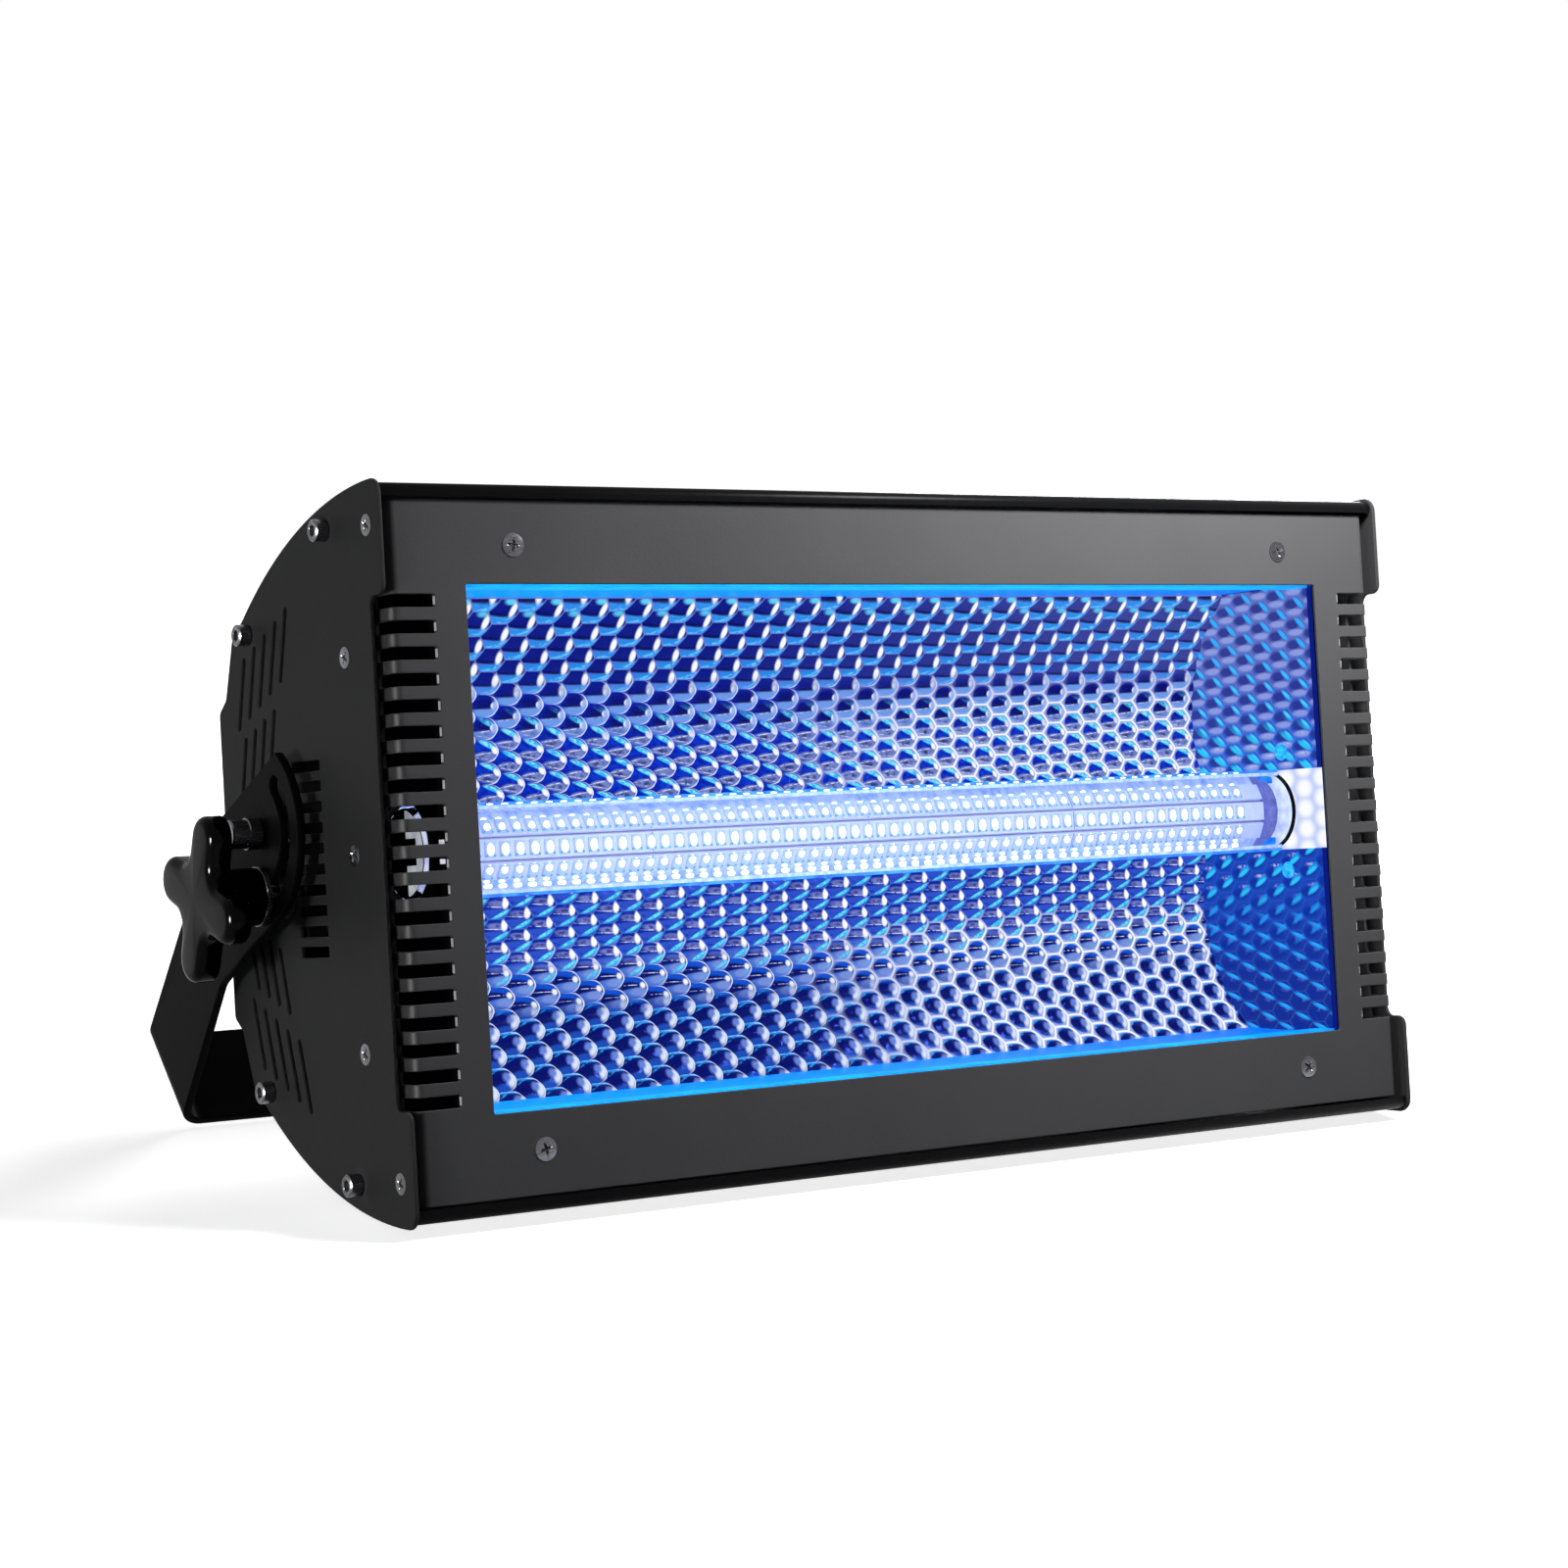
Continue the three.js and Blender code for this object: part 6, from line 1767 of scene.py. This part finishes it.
@dataclass
class Fasteners:
    """Pivot screws, socket cap screws and the small countersunk screws.

    The turned profiles are (distance from the arm or the cheek, radius).
    """

    arm_x: float = 223.3
    cheek_x: float = 214.3
    flush_x: float = 214.0
    bezel_y: float = 2.9
    cheek_screws: tuple[Point, ...] = ((8.9, 104.4), (8.9, -104.4), (29.3, 63.9), (29.3, -63.9), (29.7, 0.0))
    bezel_screws: tuple[Point, ...] = ((164.7, 97.7), (-164.7, 97.7), (164.7, -97.7), (-164.7, -97.7))
    collar: tuple[Point, ...] = ((0, 0), (0, 5.2), (0.2, 5.4), (4.3, 5.4), (4.6, 5.1), (4.6, 0))
    pivot_shank: tuple[Point, ...] = ((-16, 0), (-16, 2.6), (-15.6, 3), (0, 3), (0, 0))
    nut: tuple[Point, ...] = ((-15.4, 0), (-15.4, 6.2), (-10.6, 6.2), (-10.6, 0))
    cap_shank: tuple[Point, ...] = ((-9, 0), (-9, 1.7), (-8.7, 2), (0, 2), (0, 0))
    rings: Sequence[float] = (0.25, 0.5, 0.8, 1.1, 1.4, 1.7, 1.95, 2.2, 2.6, 3.0)
    cross_half: float = 0.46
    cross_reach: float = 2.25
    cross_depth: float = 1.2
    sunk: float = -0.9

    def socket_head(self, radius: float, height: float, socket: float, depth: float) -> Mesh:
        """Turns a head with a hexagon socket and a bevelled rim.

        Args:
            radius: The head's radius.
            height: Its height.
            socket: The socket's radius before it is drawn to a hexagon.
            depth: The socket's depth.

        Returns:
            The mesh, standing on z = 0.
        """
        floor = height - depth
        outside = [(0, 0), (0, radius - 0.15), (0.15, radius), (height - 0.45, radius)]
        rim = [(height - 0.12, radius - 0.33), (height, radius - 0.5), (height, socket + 0.25)]
        inside = [(height - 0.2, socket), (floor, socket), (floor, socket * 0.94), (floor - 0.6, 0)]
        head = Turning([*outside, *rim, *inside], 48).mesh("head")
        for vertex in head.vertices:
            away = math.hypot(vertex.co.x, vertex.co.y)
            if vertex.co.z > floor - 0.1 and 1e-4 < away <= socket + 0.01:
                turn = math.atan2(vertex.co.y, vertex.co.x) % (math.pi / 3) - math.pi / 6
                scale = math.cos(math.pi / 6) / math.cos(turn) * 1.05
                vertex.co.x *= scale
                vertex.co.y *= scale
        return head

    def cross_head(self, name: str, radius: float, proud: float, steps: int = 64) -> Mesh:
        """Draws a countersunk head on rings: a low dome with a cross recess.

        Args:
            name: The mesh's name.
            radius: The head's radius.
            proud: How far the dome stands out.
            steps: How many points a ring has.

        Returns:
            The mesh, with the sheet's face at z = 0.
        """
        radii = [*self.rings, radius - 0.25, radius]
        points = [(0.0, 0.0, proud - 1.3)]
        for away in radii:
            dome = proud * (1 - (away / radius) ** 2 * 0.55)
            for x, y in circle((0, 0), away, steps):
                side = max(0.0, min(1.0, (self.cross_half - min(abs(x), abs(y))) / 0.16))
                cut = side * max(0.0, min(1.0, (self.cross_reach - away) / 0.4))
                points.append((x, y, dome - cut * self.cross_depth * (1 - away / 3.2)))
        points += [(x, y, self.sunk) for x, y in circle((0, 0), radius, steps)]
        points.append((0.0, 0.0, self.sunk))
        faces = [(0, 1 + k, 1 + (k + 1) % steps) for k in range(steps)]
        for ring in range(len(radii)):
            for k in range(steps):
                a, b = 1 + ring * steps + k, 1 + ring * steps + (k + 1) % steps
                faces.append((a, a + steps, b + steps, b))
        base, foot = 1 + len(radii) * steps, len(points) - 1
        faces += [(base + (k + 1) % steps, base + k, foot) for k in range(steps)]
        return mesh_from(name, np.array(points), faces)

    def build(self, shop: Workshop) -> None:
        """Fits every screw.

        Args:
            shop: What fits and dresses the pieces.
        """
        for side in Side:
            parts = [self.socket_head(4.9, 10.6, 2.9, 3.6)]
            for profile, steps in ((self.collar, 40), (self.pivot_shank, 24), (self.nut, 6)):
                parts.append(Turning(profile, steps).mesh("turned"))
            name = f"pivot_screw_turned_{side.word}"
            placed = side.flip() @ Way.RIGHT.at(self.arm_x, *PIVOT)
            shop.fit(name, joined(name, parts), BLACK_OXIDE, placed, [f"pivot_screw_{side.word}"])
            for k, at in enumerate(CAP_SCREWS):
                parts = [self.socket_head(3.7, 4.6, 2.0, 2.2), Turning(self.cap_shank, 20).mesh("shank")]
                name = f"cap_screw_turned_{side.word}_{k + 1}"
                placed = side.flip() @ Way.RIGHT.at(self.cheek_x, *at)
                shop.fit(name, joined(name, parts), BLACK_OXIDE, placed, [f"cap_screw_{side.word}_{k + 1}"])
            for k, at in enumerate(self.cheek_screws):
                name = f"cheek_screw_{side.word}_{k + 1}"
                placed = side.flip() @ Way.RIGHT.at(self.flush_x, *at) @ Matrix.Rotation(0.5, 4, "Z")
                shop.fit(name, self.cross_head(name, 3.5, 0.35), SCREW_BLACK, placed)
        for k, (x, z) in enumerate(self.bezel_screws):
            name = f"bezel_screw_{k + 1}"
            placed = Way.FRONT.at(x, self.bezel_y, z) @ Matrix.Rotation(0.4 + k, 4, "Z")
            shop.fit(name, self.cross_head(name, 3.9, 0.6), SCREW_BLACK, placed)


@dataclass
class LedTube:
    """The lit tube: clear cover and rails, three boards of LED packages, wings with painted glow and the end
    collars.

    Sections are (y, z). Painted flashes are the LEDs' small painted reflections in the wings and rails:
    a name, the size of one, its shift along X from its LED, and where the row lies.
    """

    axis_y: float = 41.0
    radius: float = 15.0
    wall: float = 1.4
    half_x: float = 190.2
    inner_x: float = 174.8
    end_x: float = 186.5
    front_y: float = 33.0
    side_y: float = 34.7
    board_z: float = 6.64
    lift: float = 1.62
    tilt: float = math.radians(30)
    first: float = 162.8
    run: float = 343.4
    count: int = 62
    seams: tuple[float, ...] = (-101.0, -10.9, 81.5)
    seam: Triple = (0.3, 6.6, 0.08)
    package: Triple = (3.9, 5.2, 0.5)
    pad: Triple = (0.9, 0.8, 0.56)
    pad_at: Point = (1.5, -2.1)
    front_lens: Triple = (1.4, 2.1, 0.6)
    side_lens: Triple = (1.25, 1.75, 0.6)
    lens_drop: dict[int, float] = field(default_factory=lambda: {0: 0.0, 1: -0.5, -1: 1.2})
    lens_profile: tuple[Point, ...] = ((0, 0), (0, 1), (0.45, 0.93), (0.8, 0.7), (1, 0.35), (1.04, 0))
    wing: tuple[Point, ...] = ((36.7, 10.2), (37.0, 9.9), (40.4, 13.3), (40.1, 13.5))
    rail: tuple[Point, ...] = ((34.6, 13.35), (37.8, 13.3), (37.8, 14.7), (34.6, 14.7))
    rail_edge: tuple[Point, ...] = ((34.5, 14.75), (37.9, 14.75), (37.9, 15.75), (34.5, 15.75))
    painted_flashes: tuple[tuple[str, Triple, float, Point], ...] = (
        ("wing_facets_upper", (1.1, 0.35, 0.3), 1.0, (36.5, 10.4)),
        ("wing_facets_lower", (1.2, 0.5, 0.3), 1.0, (36.5, -10.6)),
        ("rail_facets_lower", (1.6, 1.1, 0.4), 2.4, (38.4, -12.3)),
        ("rail_facets_upper", (1.7, 0.3, 0.3), 2.4, (34.7, 15.1)),
    )
    collar_x: float = 180.0
    collar_edge_at: Point = (39.0, 11.6)
    collar_edge_half: Point = (5.0, 1.4)
    collar_edge_wide: float = 5.4
    plug_x: float = 186.0
    disc_x: float = 190.6
    cap_x: float = 191.4
    cap_radius: float = 14.6
    cap_from: float = math.radians(105.9)
    cap_notch: tuple[Point, ...] = ((37.0, -4.1), (30.0, -4.1), (30.0, 4.8), (37.0, 4.8))
    ties: tuple[Point, ...] = ((2.2, 2.5), (1.6, -3.4))
    ties_at: Triple = (-191.4, 13.4, 0.0)

    def strips(self, name: str, section: Outline, half_x: float) -> Mesh:
        """A strip along the tube above its axis and the same strip below it."""
        both = (section, below(section))
        return joined(name, [Sheet(one, half_x * 2, edge=0.08).mesh(name) for one in both])

    def repeat(self, name: str, template: Mesh, xs: Sequence[float]) -> Mesh:
        """Copies a small mesh along X and removes it.

        Args:
            name: The name of the row.
            template: One of the pieces.
            xs: Where they go.

        Returns:
            The row.
        """
        points = np.array([vertex.co for vertex in template.vertices])
        faces = [tuple(face.vertices) for face in template.polygons]
        bpy.data.meshes.remove(template)
        moved = [points + np.array([x, 0, 0]) for x in xs]
        all_faces = [tuple(v + k * len(points) for v in face) for k in range(len(moved)) for face in faces]
        return mesh_from(name, np.concatenate(moved), all_faces)

    def places(self, shift: float = 0.0) -> list[float]:
        """Where the LEDs lie along X."""
        return [self.first - k * self.run / (self.count - 1) + shift for k in range(self.count)]

    def block(self, name: str, size: Sequence[float], at: Point = (0.0, 0.0)) -> Mesh:
        """A small chamfered block that stands out along -Y from y = 0.

        Args:
            name: The mesh's name.
            size: Its width, height and depth.
            at: The x and z of its middle.

        Returns:
            The mesh.
        """
        wide, high, deep = size
        sheet = Sheet(box_outline((0, 0), (wide / 2, high / 2), 0.15), deep, edge=0.08).mesh(name)
        sheet.transform(Matrix.Translation((at[0], -deep / 2, at[1])) @ FACE_AXES)
        return sheet

    def dome(self, name: str, lens: Triple, rise: float = 0.0) -> Mesh:
        """One lit oval dome on top of its package.

        Args:
            name: The mesh's name.
            lens: Half its width, half its height, and its depth.
            rise: How far it stands off y = 0.

        Returns:
            The mesh.
        """
        wide, high, deep = lens
        turned = Turning(self.lens_profile, 20).mesh(name)
        placed = Matrix.Translation((0, -rise, 0)) @ FACE_AXES
        turned.transform(placed @ Matrix.Diagonal((wide, high, deep, 1)))
        return turned

    def build_leds(self, shop: Workshop) -> None:
        """Fits the packages, their solder and seams, and the lit domes of the three boards.

        Args:
            shop: What fits and dresses the pieces.
        """
        for word, sign in (("front", 0), ("upper", 1), ("lower", -1)):
            lean = Matrix.Rotation(-sign * self.tilt, 4, "X")
            middle = Vector((0, self.side_y if sign else self.front_y, sign * self.board_z))
            placed = Matrix.Translation(middle + lean.to_3x3() @ Vector((0, -self.lift, 0))) @ lean
            x, z = self.pad_at
            pads = joined("pads", [self.block("pad", self.pad, (side * x, z)) for side in (-1, 1)])
            for name, one, finish, xs in (
                ("led_packages", self.block("block", self.package), LED_BODY, self.places()),
                ("led_pads", pads, LED_PAD, self.places()),
                ("board_seams", self.block("seam", self.seam), COLLAR, self.seams),
            ):
                shop.fit(f"{name}_{word}", self.repeat(f"{name}_{word}", one, xs), finish, placed)
            # The glow of a side row sits towards the middle and stands upright, whatever its board's lean.
            dome = self.dome("dome", self.side_lens if sign else self.front_lens, self.package[2] * 0.6)
            domes = self.repeat(f"led_domes_{word}", dome, self.places())
            upright = Matrix.Translation(placed @ Vector((0, 0, self.lens_drop[sign])))
            shop.fit(f"led_domes_{word}", domes, LED_LENS, upright)

    def build_glow(self, shop: Workshop) -> None:
        """Fits the wings beside the boards and the rails, with painted glow, and the painted flashes of the
        LEDs in them.

        Args:
            shop: What fits and dresses the pieces.
        """
        for name, section, half_x, finish in (
            ("carrier_wings", self.wing, self.inner_x, LIT_WING),
            ("tube_rails_drawn", self.rail, self.end_x, LIT_WING),
            ("tube_rail_edges", self.rail_edge, self.end_x, RAIL_EDGE),
        ):
            shop.fit(name, self.strips(name, section, half_x), finish, SIDE_AXES)
        # Each flash is a painted reflection of an LED: a small dome that glows in the LEDs' white.
        for name, size, shift, at in self.painted_flashes:
            row = self.repeat(name, self.dome("facet", size), self.places(shift))
            shop.fit(name, row, LED_LENS, Matrix.Translation((0, *at)))

    def build_ends(self, shop: Workshop) -> None:
        """Fits the collars' edges, the plugs in the clear ends and the caps past the brackets, all with
        painted glow.

        Args:
            shop: What fits and dresses the pieces.
        """
        shop.dress(["carrier_collar_left", "carrier_collar_right"], COLLAR)
        shop.dress(["tube_bracket_left", "tube_bracket_right"], INNER_BLACK_AND_SHADE)
        y, z = self.collar_edge_at
        axis = (self.axis_y, 0)
        round_edge = arc(axis, self.cap_radius, self.cap_from, math.tau - self.cap_from, 40)
        for side in Side:
            for word, at in (("upper", (y, z)), ("lower", (y, -z))):
                bar = box_outline(at, self.collar_edge_half, 0.6)
                edge = Sheet(bar, self.collar_edge_wide, edge=0.2).mesh("edge")
                shop.fit(f"collar_edge_{word}_{side.word}", edge, COLLAR_EDGE, side.upright(self.collar_x))
            plug = Sheet(circle(axis, self.radius - self.wall - 0.1), 0.8, edge=0.2).mesh("plug")
            shop.fit(f"tube_plug_{side.word}", plug, LIT_PLUG, side.upright(self.plug_x))
            disc = Sheet(circle(axis, self.radius - 0.9, 64), 0.6, edge=0.15).mesh("disc")
            shop.fit(f"tube_end_disc_{side.word}", disc, INNER_BLACK_AND_SHADE, side.upright(self.disc_x))
            cap = Sheet([*round_edge, *self.cap_notch], 1.0, edge=0.3).mesh("cap")
            shop.fit(f"tube_cap_{side.word}", cap, STRAY_LIT_METAL, side.upright(self.cap_x))
        ties = joined("ties", [self.block("tie", (1.0, high, 2.0), (0.0, z)) for high, z in self.ties])
        shop.fit("cable_ties_left", ties, CABLE_TIE, Matrix.Translation(self.ties_at))

    def build(self, shop: Workshop) -> None:
        """Builds the tube and everything in it.

        Args:
            shop: What fits and dresses the pieces.
        """
        radii = (self.radius, self.radius - self.wall)
        outer, bore = (circle((self.axis_y, 0), radius, 72) for radius in radii)
        cover = Sheet(outer, self.half_x * 2, [bore], edge=0.15).mesh("tube_cover_drawn")
        shop.fit("tube_cover_drawn", cover, ACRYLIC, SIDE_AXES, ["tube_cover"])
        shop.dress(["led_board_front", "led_board_upper", "led_board_lower"], WHITE_BOARD, 0.1)
        shop.dress(["led_carrier"], ALUMINIUM, 0.2)
        self.build_leds(shop)
        self.build_glow(shop)
        self.build_ends(shop)


@dataclass
class LightBox:
    """What frames the tube: glass and gasket, cyan-lit ledges and boards, dimpled sheets at both ends."""

    half_x: float = 186.6
    ledge_z: float = 86.55
    ledge_from: float = 22.7
    ledge_to: float = 60.4
    lining_half: float = 0.15
    bottom_rise: float = 1.6
    panel_from: float = 9.6
    panel_to: float = 87.0
    panel_half: float = 86.2
    panel_x: float = 186.87
    panel_sheet: float = 0.24
    tube_hole: tuple[Point, float] = ((41.0, 0.0), 15.3)
    map_half: float = 86.6
    column: float = 10.0
    row: float = 3.92
    rivet_x: float = 186.7
    rivets: tuple[Point, ...] = ((32.0, 22.5), (32.0, -23.5))
    rivet: tuple[Point, ...] = (
        *((0, 0), (0, 3.3), (0.5, 3.1), (0.8, 2.4)),
        *((0.7, 2.0), (1.2, 1.6), (1.5, 0.8), (1.6, 0)),
    )

    def lining(self, sign: int, rise: float) -> Mesh:
        """A ledge's lit lining: above the tube for 1, below it for -1, thicker at its back by the rise.

        Args:
            sign: 1 or -1.
            rise: How much thicker its back is.

        Returns:
            The mesh.
        """
        outer, inner = (sign * (self.ledge_z + change) for change in (self.lining_half, -self.lining_half))
        back = [(self.ledge_to, outer), (self.ledge_to, inner - sign * rise)]
        section = [(self.ledge_from, outer), *back, (self.ledge_from, inner)]
        return Sheet(section[::-sign], self.half_x * 2, edge=0.08).mesh("lining")

    def panel(self, name: str) -> Mesh:
        """The dimpled sheet on an end mirror: its tube hole and the two maps of its painted reflections.

        Args:
            name: The mesh's name.

        Returns:
            The mesh.
        """
        outline = rectangle((self.panel_from, -self.panel_half), (self.panel_to, self.panel_half))
        mesh = Sheet(outline, self.panel_sheet, [circle(*self.tube_hole, 72)], edge=0.05).mesh(name)
        cell, place = (mesh.uv_layers.new(name=layer) for layer in ("cell", "place"))
        for loop in mesh.loops:
            y, z, _ = mesh.vertices[loop.vertex_index].co
            cell.data[loop.index].uv = (-y / self.column * math.sqrt(3) / 2, z / self.row / 2)
            place.data[loop.index].uv = (y / 100, (self.map_half - z) / (2 * self.map_half))
        return mesh

    def build(self, shop: Workshop) -> None:
        """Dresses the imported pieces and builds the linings, end sheets and reflectors.

        Args:
            shop: What fits and dresses the pieces.
        """
        shop.dress(["window_glass"], WINDOW_GLASS)
        shop.dress(["window_gasket"], RUBBER, 0.2)
        shop.dress(["light_box_top", "light_box_bottom"], INNER_BLACK_AND_SHADE)
        shop.dress(["aura_board_top", "aura_board_bottom"], BLUE_BOARD, 0.2)
        shop.dress(["end_mirror_left", "end_mirror_right"], INNER_BLACK_AND_SHADE, 0.2)
        for word, sign, rise in (("top", 1, 0.0), ("bottom", -1, self.bottom_rise)):
            shop.fit(f"ledge_lining_{word}", self.lining(sign, rise), LEDGE_GLOW, SIDE_AXES)
        for name, half_z, y, finish in (
            ("valley_lining", 17.0, 84.9, LIT_VALLEY),
            ("valley_backing", 17.4, 85.25, INNER_BLACK_AND_SHADE),
        ):
            outline = rectangle((-self.half_x, -half_z), (self.half_x, half_z))
            sheet = Sheet(outline, 0.3, edge=0.1).mesh(name)
            shop.fit(name, sheet, finish, Matrix.Translation((0, y, 0)) @ FACE_AXES)
        for side in Side:
            name = f"end_sheet_dimpled_{side.word}"
            shop.fit(name, self.panel(name), END_PANEL, side.upright(self.panel_x))
            for k, at in enumerate(self.rivets):
                name = f"end_rivet_{side.word}_{k + 1}"
                placed = side.flip() @ Way.LEFT.at(self.rivet_x, *at)
                shop.fit(name, Turning(self.rivet, 32).mesh(name), LIT_RIVET, placed)
        Reflectors().build(shop)


@dataclass
class Rear:
    """The rear panel with its connectors, display and buttons, the fans and the electronics."""

    def build(self, shop: Workshop) -> None:
        """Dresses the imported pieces.

        Args:
            shop: What fits and dresses the pieces.
        """
        ends = [side.word for side in Side]
        shop.dress(["rear_panel", "safety_eye"], CHEEK_POWDER)
        shop.dress(["display_window"], GLOSS_ABS, 0.4)
        shop.dress([f"menu_button_{k}" for k in range(1, 5)], RUBBER, 0.5)
        shop.dress(["power_inlet", "power_outlet", "data_inlet", "data_outlet", "fuse_holder"], NYLON, 0.4)
        shop.dress([f"{word}_{end}" for word in ("fan_frame", "fan_rotor") for end in ends], NYLON)
        shop.dress(["power_supply"], ALUMINIUM)
        shop.dress(["control_board"], GREEN_BOARD, 0.2)
        shop.dress([f"{word}_{end}" for word in ("pivot_spacer", "clamp_bush") for end in ends], SCREW_BLACK)


@dataclass
class Studio:
    """The white studio: floor, world, lamps and the camera at the photograph's place.

    The camera's place is in head millimetres and its axes are in the head's frame; its focal length is in
    pixels of a frame 1600 wide. A lamp holds its name, place in metres, radius, power in watts and whether it
    lights matt surfaces too, and not just the highlights on glossy ones.
    """

    focal: float = 3319.57
    frame: float = 1600.0
    sensor: float = 36.0
    place: Triple = (-673.60, -920.60, -12.27)
    right: Triple = (0.83446989, -0.54815874, -0.05640913)
    down: Triple = (-0.03263845, 0.05302093, -0.99805987)
    ahead: Triple = (0.55008611, 0.83469202, 0.02635332)
    ambient: float = 0.03
    floor_half: float = 6.0
    floor_drop: float = 0.0006
    lamps: tuple[tuple[str, Triple, float, float, bool], ...] = (
        ("key_upper_right", (0.13, -0.212, 0.42), 0.045, 10.2, True),
        ("fill_left", (-0.95, -0.26, 0.02), 0.06, 9, True),
        ("edge_light_left", (-0.95, -0.3, 0.16), 0.12, 300, False),
        ("back_right", (0.8, 0.8, 0.45), 0.22, 44, True),
    )

    def camera(self) -> None:
        """Sets the camera up from the fit to the photograph's straight edges."""
        data = bpy.data.cameras.new("camera")
        data.sensor_width = self.sensor
        data.lens = self.focal / self.frame * self.sensor
        data.clip_start, data.clip_end = 0.01, 60
        right, down, ahead = (HEAD.turn() @ Vector(row) for row in (self.right, self.down, self.ahead))
        turn = Matrix((right, -down, -ahead)).transposed()
        camera = bpy.data.objects.new("camera", data)
        camera.matrix_world = Matrix.Translation(HEAD.matrix() @ Vector(self.place)) @ turn.to_4x4()
        bpy.context.scene.collection.objects.link(camera)
        bpy.context.scene.camera = camera

    def world(self) -> None:
        """Makes a plain world: white to look at, dimmer as a light."""
        world = bpy.data.worlds.new("studio")
        world.use_nodes = True
        tree = world.node_tree
        tree.nodes.clear()
        limits = {"To Min": self.ambient, "To Max": 1.0}
        power = add_node(tree, "MapRange", limits, {"Value": seen_white(tree)})
        light = add_node(tree, "Background", {"Color": (1, 1, 1, 1)}, {"Strength": power.outputs[0]})
        add_node(tree, "OutputWorld", links={0: light.outputs[0]})
        bpy.context.scene.world = world

    def floor(self) -> None:
        """Lays the paper floor, a little under the object."""
        half = self.floor_half
        corners = np.array([(x, y, 0) for x, y in rectangle((-half, -half), (half, half))])
        mesh = mesh_from("floor", corners, [(0, 1, 2, 3)])
        mesh.materials.append(Paper("matt_paper_white", "").material())
        floor = bpy.data.objects.new("floor", mesh)
        bpy.context.scene.collection.objects.link(floor)
        floor.location.z = -self.floor_drop

    def light(self) -> None:
        """Hangs the soft round lamps, which shine all round."""
        for name, at, size, power, matt in self.lamps:
            data = bpy.data.lights.new(name, "POINT")
            data.shadow_soft_size = size
            data.energy = power
            lamp = bpy.data.objects.new(name, data)
            lamp.location = at
            lamp.visible_camera = False
            lamp.visible_diffuse = matt
            bpy.context.scene.collection.objects.link(lamp)

    def build(self) -> None:
        """Sets up the whole studio."""
        self.camera()
        self.world()
        self.floor()
        self.light()


def main() -> None:
    """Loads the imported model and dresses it, one sub-assembly after another."""
    logging.basicConfig(level=logging.INFO, format="%(message)s")
    bpy.context.scene.view_settings.view_transform = "Standard"
    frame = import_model()
    Studio().build()
    shop = Workshop(frame)
    head = (Cheeks(), Covers(), Bezel(), LightBox(), LedTube(), Rear())
    for assembly in (*head, YokeFrame(), Fasteners(), ClampKnobs()):
        assembly.build(shop)
    LOG.info("%d pieces made", shop.pieces)


if __name__ == "__main__":
    main()
